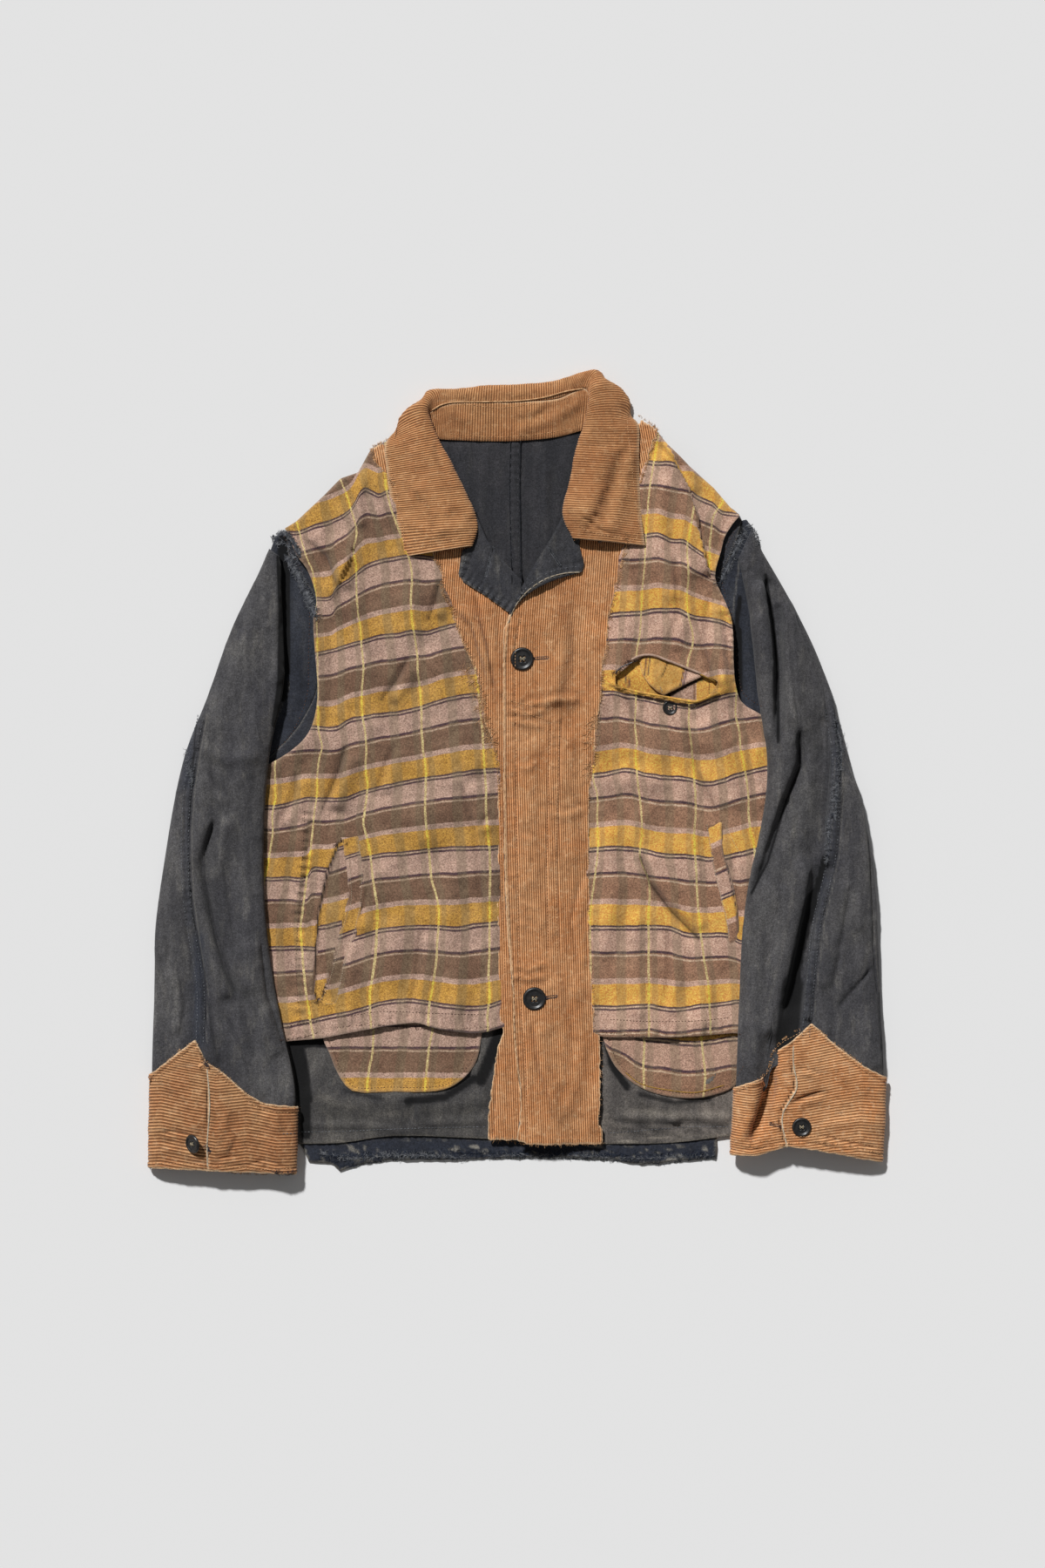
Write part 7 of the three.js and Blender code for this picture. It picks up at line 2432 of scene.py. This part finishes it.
@dataclass
class Buttons:
    """The dark four-hole buttons, sewn on with pale thread."""

    shop: Workshop
    horn: Horn = Horn("button_horn")
    yarn: Yarn = Yarn("yarn_button", "#b9ab90", "#7d7463")
    STUDS = (
        Stud("button_front_top", (4, 113), 23),
        Stud("button_front_low", (16, -222), 23),
        Stud("button_chest", (150, 65), 15),
        Stud("button_cuff_left", (-319, -364), 19, (-0.78, 0.25)),
        Stud("button_cuff_right", (279, -348), 19),
    )
    THICK = 3.4

    def face(self, x: Array, y: Array, radius: float) -> Array:
        """The height of a button's upper face: a rounded rim, a dish and four holes."""
        far = np.hypot(x, y) / radius
        rim = self.THICK - 1.5 * np.maximum(far - 0.84, 0) ** 2 / 0.16**2
        dish = self.THICK - 1.05 * ease((0.84 - far) / 0.22)
        swell = 0.25 * np.exp(-((far / 0.35) ** 2))
        high = np.where(far > 0.84, rim, dish + swell)
        for quarter in range(4):
            turn = math.pi / 4 + quarter * math.pi / 2
            hole = np.hypot(x - 0.24 * radius * math.cos(turn), y - 0.24 * radius * math.sin(turn))
            high = high - 2.0 * ease((0.125 * radius - hole) / (0.05 * radius))
        return high

    @staticmethod
    def tilted(points: Array, stud: Stud) -> Array:
        """A button's points, turned on its long axis and lifted clear of the cloth."""
        turn, lean = stud.tilt
        if not turn:
            return points
        x, y, z = points.T
        x, z = x * math.cos(turn) + z * math.sin(turn), z * math.cos(turn) - x * math.sin(turn)
        x, y = x * math.cos(lean) - y * math.sin(lean), x * math.sin(lean) + y * math.cos(lean)
        return np.column_stack([x, y, z + 0.32 * stud.width * abs(math.sin(turn))])

    def build(self) -> None:
        """Make every button and its thread."""
        for stud in self.STUDS:
            low, high = (np.array(corner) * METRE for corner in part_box(stud.node))
            centre = (low + high) / 2 - self.shop.shift
            base = low[2] - 0.5
            radius = stud.width / 2
            turns = np.linspace(0, 2 * math.pi, 73)[:-1]
            ring = [(radius * math.cos(turn), radius * math.sin(turn)) for turn in turns]
            x, y, _, faces = cut_cloth(ring, Grain(0.42, 0.42))
            draft = Draft.plain(np.column_stack([x, y, self.face(x, y, radius)]), faces)
            draft = draft.hemmed([(0.0, 0.5), (-0.5, 1.2), (-1.6, 1.4), (-radius * 0.8, 1.4)])
            draft.points = self.tilted(draft.points, stud) + (*centre[:2], base)
            self.shop.add(f"{stud.node}_horn", draft, self.horn, Slot.BUTTON, [stud.node])
            threads = []
            reach = 0.24 * radius
            for a, b in ((1, 5), (3, 7), (1, 7), (3, 5)):
                p, q = (
                    np.array([reach * math.cos(k * math.pi / 4), reach * math.sin(k * math.pi / 4)])
                    for k in (a, b)
                )
                at = np.linspace(-0.12, 1.12, 9)[:, None]
                flat = p + (q - p) * at
                arched = 0.75 * np.sin(np.clip(at, 0, 1) * math.pi)
                rise = self.THICK - 1.0 + arched - 1.5 * (np.abs(at - 0.5) > 0.5)
                line = self.tilted(np.column_stack([flat, rise]), stud) + (*centre[:2], base)
                threads.append(tube_along(line, 0.34, 5))
            self.shop.add(f"{stud.node}_thread", Draft.joined(threads), self.yarn, Slot.BUTTON)


def tube_along(line: Array, radius: float, sides: int = 4) -> Draft:
    """A thread's mesh round a line of points.

    Args:
        line: The points that its middle follows.
        radius: Its half thickness.
        sides: How many sides it has.

    Returns:
        The draft, open at its ends.
    """
    run = np.gradient(line, axis=0)
    run /= np.maximum(np.linalg.norm(run, axis=1, keepdims=True), 1e-9)
    side = np.cross(run, (0.13, 0.21, 0.97))
    side /= np.maximum(np.linalg.norm(side, axis=1, keepdims=True), 1e-9)
    rise = np.cross(side, run)
    turns = np.arange(sides) * 2 * math.pi / sides
    width = np.full(len(line), radius)
    width[[0, -1]] *= 0.35
    offset = side[:, None] * np.cos(turns)[None, :, None] + rise[:, None] * np.sin(turns)[None, :, None]
    points = (line[:, None] + offset * width[:, None, None]).reshape(-1, 3)
    return Draft.plain(points, triangles_of(len(line), sides, closed=True))


@dataclass(frozen=True)
class Row:
    """A row of stitches: its line, how long each stitch and each gap is, and its thread."""

    line: Line
    long: float = 2.0
    gap: float = 1.1
    thick: float = 0.30


@dataclass(frozen=True)
class Torn:
    """A raw edge that frays: its line, threads to a millimetre, how long they are and how they lie.

    The threads point to the line's right; curl bends them, and lean tips them along the line.
    """

    line: Line
    dense: float = 0.8
    long: tuple[float, float] = (1.5, 5.0)
    curl: float = 0.8
    lean: float = 0.0
    back: float = 1.0
    thick: float = 0.17


class Needle:
    """Lays threads on whatever cloth is uppermost."""

    AROUND = ((0, 0), (0.8, 0), (-0.8, 0), (0, 0.8), (0, -0.8))

    def __init__(self, shop: Workshop) -> None:
        """Look at all cloth made so far from above."""
        starts = np.cumsum([0, *(len(points) for points, _ in shop.made[:-1])])
        points = np.concatenate([points for points, _ in shop.made])
        faces = np.concatenate([faces + start for (_, faces), start in zip(shop.made, starts)])
        self.tree = BVHTree.FromPolygons(points.tolist(), faces.tolist())

    def top(self, x: Array, y: Array) -> Array:
        """The height of the uppermost cloth at places in plan."""
        down = Vector((0, 0, -1))
        hits = (self.tree.ray_cast(Vector((a, b, 90.0)), down)[0] for a, b in zip(x.tolist(), y.tolist()))
        return np.array([0.0 if hit is None else hit.z for hit in hits])

    @staticmethod
    def heading(line: Array, run: Array, at: Array, reach: float) -> tuple[Array, Array]:
        """Which way a line runs at places along it, taken over a reach to both sides of each."""
        dx, dy = (np.interp(at + reach, run, side) - np.interp(at - reach, run, side) for side in line.T)
        return dx, dy

    def sewn(self, row: Row) -> Draft:
        """A row of stitches.

        Args:
            row: Where and how they are sewn.

        Returns:
            The stitches' mesh.
        """
        line = spaced(smooth(row.line, 4), 0.5)
        run = np.arange(len(line)) * 0.5
        starts = np.arange(0.4, run[-1] - row.long, row.long + row.gap)
        wobble = Ripple(7)
        steps = np.linspace(0, 1, 5)
        at = starts[:, None] + row.long * steps[None, :]
        x, y = (np.interp(at, run, line[:, k]) for k in (0, 1))
        dx, dy = self.heading(line, run, at, 0.3)
        size = np.maximum(np.hypot(dx, dy), 1e-6)
        aside = 0.28 * wobble.at(at, at * 0, 5.0)
        x, y = x - dy / size * aside, y + dx / size * aside
        height = self.top(x.ravel(), y.ravel()).reshape(x.shape)
        level = np.median(height, axis=1, keepdims=True)
        height = np.clip(height, level - 0.5, level + 0.5) + 0.55 * row.thick
        height[:, [0, -1]] -= 1.6 * row.thick
        return threads(np.stack([x, y, height], -1), row.thick, 4)

    def frayed(self, edge: Torn, seed: int) -> Draft:
        """The loose threads of a raw edge.

        Args:
            edge: The edge.
            seed: Which threads they are.

        Returns:
            Their mesh.
        """
        rng = np.random.default_rng(seed)
        line = spaced(smooth(edge.line, 3), 0.5)
        run = np.arange(len(line)) * 0.5
        count = max(4, int(run[-1] * edge.dense))
        clumps = Ripple(seed + 5)
        at = rng.uniform(0, run[-1], count)
        at = at[clumps.at(at, at * 0, 9.0) > rng.uniform(-1.3, 0.3, count)]
        count = len(at)
        x, y = (np.interp(at, run, line[:, k]) for k in (0, 1))
        dx, dy = self.heading(line, run, at, 0.6)
        heading = np.arctan2(-dx, dy) + edge.lean + rng.normal(0, 0.5, count)
        long = rng.uniform(*edge.long, count) * rng.uniform(0.5, 1.0, count)
        bend = rng.normal(0, edge.curl, count)
        steps = 6
        x = x - np.cos(heading) * edge.back
        y = y - np.sin(heading) * edge.back
        px, py = [x], [y]
        for k in range(steps - 1):
            heading = heading + bend / (steps - 1) + rng.normal(0, 0.12, count)
            stride = (long + edge.back) / (steps - 1)
            px.append(px[-1] + np.cos(heading) * stride)
            py.append(py[-1] + np.sin(heading) * stride)
        x, y = np.stack(px, 1), np.stack(py, 1)
        below = self.top(x.ravel(), y.ravel()).reshape(x.shape)
        share = np.linspace(0, 1, steps)[None, :]
        spring = below[:, :1] + (below[:, -1:] - below[:, :1]) * share**1.5
        fallen = below[:, :1] - 0.45 * (long[:, None] + edge.back) * share
        loose = rng.uniform(0.1, 0.8, (count, 1)) * np.sin(share * math.pi * 0.8)
        z = np.maximum(np.maximum(below, spring), fallen) + 0.15 + loose
        return threads(np.stack([x, y, z], -1), edge.thick, 3)

    def corded(self, line: Line, thick: float, lift: float) -> Draft:
        """A cord, a rolled edge or a long thread laid along a line.

        Args:
            line: The line.
            thick: Its half thickness.
            lift: How far over the cloth its middle lies.

        Returns:
            Its mesh.
        """
        points = spaced(smooth(line, 4), 2.0)
        x, y = points.T
        heights = np.stack([self.top(x + a, y + b) for a, b in self.AROUND])
        z = heights.max(axis=0)
        z = np.convolve(np.pad(z, 2, mode="edge"), np.ones(5) / 5, mode="valid")
        sides = 7 if thick > 0.4 else 4
        return tube_along(np.column_stack([x, y, z + lift]), thick, sides)

    def buttonhole(self, start: Point, end: Point, wide: float, thick: float = 0.26) -> Draft:
        """A worked slit: close stitches across both of its lips and its ends.

        Args:
            start: One end of the slit.
            end: Its other end.
            wide: How long the stitches are.
            thick: The thread's half thickness.

        Returns:
            The stitches' mesh.
        """
        run = np.array(end, float) - np.array(start, float)
        length = float(np.hypot(*run))
        run /= length
        side = np.array([-run[1], run[0]])
        lines = []
        for sign in (-1.0, 1.0):
            for k, at in enumerate(np.arange(0, length, 0.62)):
                inner = np.array(start) + run * at + side * sign * 0.35
                reach = wide + 0.3 * math.sin(2.3 * k)
                outer = inner + side * sign * reach + run * 0.2 * math.cos(1.7 * k)
                lines.append(np.linspace(inner, outer, 4))
        for corner, sign in ((start, -1.0), (end, 1.0)):
            for spread in (-0.8, -0.3, 0.3, 0.8):
                base = np.array(corner) + side * spread
                lines.append(np.linspace(base, base + run * sign * 1.3 + side * spread * 0.6, 4))
        flat = np.stack(lines)
        z = self.top(flat[..., 0].ravel(), flat[..., 1].ravel()).reshape(flat.shape[:2])
        level = np.median(z)
        z = np.clip(z, level - 0.6, level + 0.9) + 0.2
        z[:, [0, -1]] -= 0.3
        return threads(np.concatenate([flat, z[..., None]], axis=-1), thick, 3)


def threads(lines: Array, radius: float, sides: int) -> Draft:
    """Many short threads' meshes at once.

    Args:
        lines: The points that their middles follow, thread by thread.
        radius: Their half thickness.
        sides: How many sides they have.

    Returns:
        The draft.
    """
    count, steps = lines.shape[:2]
    run = np.gradient(lines, axis=1)
    run /= np.maximum(np.linalg.norm(run, axis=2, keepdims=True), 1e-9)
    side = np.cross(run, (0.13, 0.21, 0.97))
    side /= np.maximum(np.linalg.norm(side, axis=2, keepdims=True), 1e-9)
    rise = np.cross(side, run)
    turns = np.arange(sides) * 2 * math.pi / sides
    width = np.full(steps, radius)
    width[-1] *= 0.4
    ring = side[:, :, None] * np.cos(turns)[:, None] + rise[:, :, None] * np.sin(turns)[:, None]
    points = (lines[:, :, None] + ring * width[None, :, None, None]).reshape(-1, 3)
    face = triangles_of(steps, sides, closed=True)
    faces = (face[None] + (np.arange(count) * steps * sides)[:, None, None]).reshape(-1, 3)
    return Draft.plain(points, faces)


@dataclass
class Threads:
    """Everything sewn or frayed: rows of stitches, piped edges, buttonholes, binding and loose threads."""

    shop: Workshop
    tan: Yarn = Yarn("yarn_tan", "#e0b68a", "#a97c54")
    pale: Yarn = Yarn("yarn_pale", "#cdbfa8", "#9b8d78")
    silver: Yarn = Yarn("yarn_silver", "#8a8c90", "#33363e")
    slate: Yarn = Yarn("yarn_slate", "#5f6166", "#2b2d33")
    mauve: Yarn = Yarn("yarn_mauve", "#b89d8c", "#957a69")
    navy: Yarn = Yarn("yarn_navy", "#1f242f", "#3a4150")
    plum: Yarn = Yarn("yarn_plum", "#3b2a2c", "#6b5144")
    gold: Yarn = Yarn("yarn_gold", "#a5803c", "#7c5f30")
    # Near-black yarn for the cords on the centre back seam, which stand for the seam's painted shadow.
    seam_shadow: Yarn = Yarn("yarn_seam_shadow", "#131417", "#25262b")

    BAND_TORN = drawn("107,240 105,222 98,190 94,173 89,152 87,119 83,108 81,71 76,38 75,7")
    BAND_LOW = drawn("75,7 70,-18 70,-131 71,-183 75,-236 74,-252 80,-258 81,-319 79,-347 83,-366")
    LEFT_TORN = drawn("-20,-20 -20,0 -25,31 -33,52 -38,86 -43,104 -55,131 -62,149 -69,168 -76,180 "
        "-76,199 -83,212")

    def stitches(self) -> dict[str, list[Draft]]:
        """The rows of stitches, by their yarn."""
        sew = self.needle.sewn
        plum = [Row(beside(Vest.ARMHOLE_LEFT, -7), 1.5, 2.0, 0.34),
            Row(beside(Vest.ARMHOLE_RIGHT, 7), 1.5, 2.0, 0.34),
            Row(mark("322,1180 360,1172 400,1166 440,1161 500,1163 560,1165"), 1.8, 1.4),
            Row(mark("700,1170 740,1172 790,1172 840,1168"), 1.8, 1.4),
            Row(mark("350,930 347,990 342,1060 340,1120 345,1172"), 1.6, 1.6),
            Row(mark("824,783 815,782"), 1.2, 0.5), Row(mark("815,782 814,796"), 1.2, 0.5),
            Row(mark("814,796 824,794"), 1.2, 0.5), Row(mark("824,783 824,794"), 1.2, 0.5),]
        for name in ("bag_left", "bag_right"):
            plum.append(Row(beside(CUTS[name][1:-1], 4.5), 1.8, 1.4))
        tan = [Row(Bands.EDGE_STITCH), Row(Bands.STITCHED), Row(beside(Bands.STITCHED, 9)),
            Row(mark("586,1121 591,1129 606,1131 625,1129 632,1124")),
            Row(mark("583,803 600,808 629,812")), Row(mark("584,813 604,819 629,827")),
            Row(mark("572,890 575,960 577,1050 580,1120")), Row(mark("641,1307 660,1308 688,1307")),
            Row(mark("446,520 452,552 463,600 467,626 500,626 528,618")),
            Row(mark("664,604 680,612 700,616 731,618 728,560 722,505 720,480")),
            Row(mark("503,466 530,464 574,468 600,465 636,461 664,453")),
            Row(mark("517,497 560,501 610,499 660,491")),]
        grey = [Row(mark("325,1300 400,1299 460,1296 560,1294"), 2.2, 1.2),
            Row(mark("700,1301 740,1298 790,1294 838,1294"), 2.2, 1.2),
            Row(mark("536,638 531,661 559,680 582,695")),
            Row(mark("594,689 607,673 628,659 650,652 666,650")),]
        slate = [Row(mark("595.5,515 594.5,560 595.5,620 597,664"), thick=0.22),
            Row(mark("587,515 586,560 587,620 589,650"), thick=0.22),]
        pale = [Row(mark("401,985 403,1035 394,1065 386,1100 377,1130 368,1150"), 0.9, 0.9, 0.26),
            Row(mark("411,963 415,1000 414,1035 407,1068 396,1105 388,1140"), 1.6, 0.8, 0.26),
            Row(mark("374,1152 385,1151 392,1128"), 0.9, 0.9, 0.26),
            Row(mark("832,945 840,962 850,980"), 0.9, 0.9, 0.26),
            Row(mark("812,946 816,975 823,1010 833,1050 838,1078"), 1.6, 0.7, 0.28),
            Row(mark("758,788 761,795"), 1.0, 0.3, 0.4),]
        for tube in TUBES.values():
            grey += [Row(beside(tube.creases[1].line, 1.5), 1.9, 1.3),
                Row(beside(tube.creases[1].line, 8.5), 1.9, 1.3)]
        cuff = [Row(mark("175,1243 225,1202 234,1224 258,1238 284,1262 303,1273 341,1277")),
            Row(mark("174,1334 240,1336 300,1341 338,1340")), Row(mark("841,1254 880,1232 888,1214")),
            Row(mark("886,1206 905,1192 931,1182 965,1208 1012,1244")),
            Row(mark("842,1305 876,1309 905,1304 960,1305 1014,1318")),]
        rows = {"plum": plum, "tan": (*tan, *cuff), "silver": grey, "slate": slate, "pale": pale}
        return {yarn: [sew(row) for row in listed] for yarn, listed in rows.items()}

    def edges(self) -> dict[str, list[Draft]]:
        """The piped and bound edges and the buttonholes, by their yarn."""
        cord, hole = self.needle.corded, self.needle.buttonhole
        slits = Cuffs.SLITS
        pale = [cord(mark("666,657 650,658 627,665 606,679 592,696 583,717"), 0.45, -0.1),
            cord(beside(slits["left"][1:], 0.9), 0.7, -0.2), cord(beside(slits["right"], 0.9), 0.7, -0.2),
            ]
        tan = [cord(Bands.PIPED, 0.5, -0.2),
            cord(mark("496,471 506,465 518,462 560,461 594,460 625,456 651,449 670,446"), 0.7, 0.5),]
        silver = [hole(*mark("566,629 558,661"), 1.0, 0.2), hole(*mark("630,630 643,649"), 1.0, 0.2),
            cord(mark("706,773 712,767 722,762 733,758"), 0.5, 0.1),]
        mauve = [cord(mark("724,758 735,753 749,752 766,758 789,767 806,774"), 1.3, -0.4),]
        dark = [hole(*mark("614,756 629,755"), 1.5), hole(*mark("627,1145 639,1143"), 1.5),
            hole(*mark("884,1289 896,1292"), 1.3),]
        # Near-black cords on the centre back seam, as its painted shadow.
        seam_shadow = [cord(mark("598,503 597,560 598,620 599,688"), 0.8, -0.3),
            cord(mark("586.5,504 585.5,560 586.5,620 588,672"), 0.45, -0.2),]
        slate = [cord(mark("334,650 345,668 353,688 363,708"), 1.7, -0.4),
            cord(mark("328,640 340,662 349,684 357,704"), 1.2, -0.3),
            cord(mark("314,618 325,613 336,622 342,636"), 1.5, -0.3),
            cord(mark("856,610 846,630 836,652 826,672"), 1.4, -0.4),]
        gold = [cord(mark("718,1231 735,1244 772,1252 800,1254 832,1246"), 0.6, -0.2),
            cord(mark("803,774 812,778 823,783"), 0.9, -0.3),
            cord(mark("703,784 726,794 760,800 790,806 800,806 823,797"), 0.7, -0.3),]
        return {"pale": pale, "tan": tan, "silver": silver, "slate": slate, "mauve": mauve, "navy": dark,
            "gold": gold, "seam_shadow": seam_shadow}

    def fraying(self) -> dict[str, list[Draft]]:
        """The loose threads of the raw edges, by their yarn."""
        tan = [Torn(self.BAND_TORN[::-1], 1.5, (2, 7), 1.4),
            Torn(mark("686,820 678,840 679,855"), 3.0, (5, 15), 2.4, 0.4),
            Torn(mark("678,876 676,896"), 3.0, (4, 13), 2.4, -0.3),
            Torn(self.BAND_LOW[::-1], 0.5, (1, 3.5), 1.0), Torn(self.LEFT_TORN, 1.5, (2, 8), 1.4),
            Torn(mark("565,860 556,835 545,790 533,770"), 1.6, (6, 18), 2.6, 0.8),
            Torn(mark("560,1309 604,1313 642,1314 692,1313"), 1.0, (1, 4), 1.0),
            Torn(mark("427,512 446,503")[::-1], 2.2, (1, 3.2), 1.4),
            Torn(mark("426,514 432,530 443,545 453,556"), 1.8, (1.5, 5), 1.4),
            Torn(mark("734,476 751,488 755,496 749,515 742,535 735,555")[::-1], 2.6, (1, 3.2), 1.4),
            Torn(mark("171,1238 225,1195 238,1218 258,1231 284,1255 303,1266 344,1271"), 0.8, (0.8, 2.6),
                1.0), Torn(mark("171,1341 240,1344 290,1349 340,1347")[::-1], 0.9, (0.8, 3.2), 1.0),
            Torn(mark("841,1252 880,1230 886,1208 905,1188 931,1178 965,1203 1014,1240"), 0.8, (0.8, 2.6),
                1.0),
            Torn(mark("838,1312 876,1316 905,1311 960,1312 1014,1325")[::-1], 0.9, (0.8, 3), 1.0),]
        silver = [Torn(mark("335,648 348,668 356,690 363,706")[::-1], 5.5, (3, 8), 2.2, 0.0, 3.0, 0.22),
            Torn(mark("328,640 341,662 350,684 358,702"), 4.5, (2, 6), 2.2, 0.0, 3.0, 0.22),
            Torn(mark("312,617 325,610 340,628 344,640"), 5.0, (2, 6), 2.0, 0.0, 2.0, 0.22),
            Torn(mark("318,624 328,622 338,640")[::-1], 4.0, (2, 6), 2.0, 0.0, 2.0, 0.22),
            Torn(mark("856,608 846,628 836,650 824,672"), 4.0, (3, 8), 1.8, 0.0, 3.0, 0.2),
            Torn(mark("858,600 868,612 872,626"), 2.6, (2, 6), 1.6, 0.0, 2.0, 0.2),
            Torn(mark("366,1324 400,1330 460,1326 540,1330")[::-1], 3.0, (2, 8), 1.8, 1.0, 2.0, 0.2),
            Torn(mark("560,1328 640,1326 720,1330 823,1326")[::-1], 1.6, (2, 6), 1.8, 1.0, 2.0, 0.2),
            Torn(mark("214,862 218,880 222,902"), 2.4, (2, 7), 1.6, 1.0, 3.0),
            Torn(mark("960,830 964,860 960,900 956,940"), 5.0, (2, 7), 2.0, 0.6, 3.0),
            Torn(mark("950,940 949,965 948,990"), 3.0, (2, 5), 1.8, 0.6, 2.0),]
        navy = [Torn(mark("366,1331 381,1334 394,1340 420,1336 462,1331 540,1330 620,1330 700,1332 "
                "760,1336 800,1331 823,1329")[::-1], 1.3, (1.5, 6), 1.3, 0.0, 1.5),
            Torn(mark("366,1326 400,1328 460,1325 540,1324 620,1325 700,1326 823,1326")[::-1], 1.4,
                (2, 7), 1.8, 0.8, 1.5, 0.22),
            Torn(mark("316,1344 326,1350 338,1347")[::-1], 2.0, (3, 9), 1.6),
            Torn(mark("238,1312 243,1322"), 2.4, (3, 7), 2.0),
            Torn(mark("236,1214 242,1226"), 2.4, (3, 7), 2.0),]
        plum = [Torn(mark("703,773 711,768 720,760 733,756"), 2.6, (2, 7), 1.4),
            Torn(mark("361,1150 366,1153 374,1130"), 1.2, (1.5, 4), 1.2),
            Torn(mark("400,970 391,966 384,972"), 1.4, (1.5, 4), 1.2),
            Torn(mark("316,1194 350,1190 380,1180 430,1176 500,1182 570,1178")[::-1], 0.5, (0.8, 2.4),
                1.0), Torn(mark("690,1184 740,1190 800,1190 855,1186")[::-1], 0.5, (0.8, 2.4), 1.0),]
        made = {}
        edges = {"tan": tan, "silver": silver, "navy": navy, "plum": plum}
        for k, (yarn, torn) in enumerate(edges.items()):
            made[yarn] = [self.needle.frayed(edge, 200 + 20 * k + n) for n, edge in enumerate(torn)]
        return made

    def build(self) -> None:
        """Sew and fray."""
        self.needle = Needle(self.shop)
        slots = {"tan": Slot.CORDUROY, "plum": Slot.PLAID, "gold": Slot.PLAID, "mauve": Slot.PLAID}
        work = {"stitches": self.stitches(), "edges": self.edges(), "fray": self.fraying()}
        for kind, made in work.items():
            for yarn, drafts in made.items():
                draft = Draft.joined(drafts)
                self.shop.add(f"{kind}_{yarn}", draft, getattr(self, yarn), slots.get(yarn, Slot.TWILL))


@dataclass
class Studio:
    """The pale ground, the light from the upper left and the camera above."""

    shop: Workshop
    ground: str = "#e7e7e7"
    lens: float = 100.0
    SENSOR = 36.0

    def build(self) -> None:
        """Set up the ground, the lights and the camera."""
        scene = bpy.context.scene
        scene.view_settings.view_transform = "Standard"
        self.build_ground()
        self.build_lights()
        self.build_camera()

    def build_ground(self) -> None:
        """A plain pale ground, a hair beneath the cloth."""
        mesh = bpy.data.meshes.new("ground")
        far = 6.0
        corners = [(-far, -far, -0.0004), (far, -far, -0.0004), (far, far, -0.0004), (-far, far, -0.0004)]
        mesh.from_pydata(corners, [], [(0, 1, 2, 3)])
        graph = Graph("ground_paper")
        mesh.materials.append(graph.finish(paint(self.ground), 0.95, [], Specular_IOR_Level=0.1))
        ground = bpy.data.objects.new("ground", mesh)
        bpy.context.scene.collection.objects.link(ground)

    def build_lights(self) -> None:
        """One sun from the upper left, and an even sky."""
        sun = bpy.data.lights.new("sun", "SUN")
        sun.energy = 3.55
        sun.angle = math.radians(4.5)
        lamp = bpy.data.objects.new("sun", sun)
        lamp.rotation_euler = Vector((-0.46, 0.89, 1.0)).to_track_quat("Z", "Y").to_euler()
        bpy.context.scene.collection.objects.link(lamp)
        world = bpy.data.worlds.new("sky")
        world.use_nodes = True
        world.node_tree.nodes["Background"].inputs["Color"].default_value = (1.0, 1.0, 1.0, 1.0)
        world.node_tree.nodes["Background"].inputs["Strength"].default_value = 0.16
        bpy.context.scene.world = world

    def build_camera(self) -> None:
        """Look straight down, with the photograph's framing."""
        camera = bpy.data.cameras.new("camera")
        camera.lens = self.lens
        camera.sensor_width = self.SENSOR
        camera.sensor_height = self.SENSOR
        camera.sensor_fit = "AUTO"
        wide, tall = PHOTO_SIZE
        height = tall * PIXEL / METRE * self.lens / self.SENSOR
        x, y = (wide / 2 - PHOTO_X) * PIXEL, (PHOTO_Y - tall / 2) * PIXEL
        holder = bpy.data.objects.new("camera", camera)
        shift = self.shop.shift
        holder.location = ((x + shift[0]) / METRE, (y + shift[1]) / METRE, height + 0.01)
        bpy.context.scene.collection.objects.link(holder)
        bpy.context.scene.camera = holder


def main(nodes: dict[str, bpy.types.Object]) -> None:
    """Build the jacket, from the surface upwards.

    Args:
        nodes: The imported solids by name.
    """
    logging.basicConfig(level=logging.INFO, format="%(message)s")
    shop = Workshop(nodes)
    Studio(shop).build()
    for kind in (Body, Vest, Bands, Lapels, Pockets, Sleeves, Cuffs, Collar, Buttons, Threads):
        kind(shop).build()
    log.info("in all %d triangles", shop.faces)


if __name__ == "__main__":
    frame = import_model()
    main(frame["nodes"])
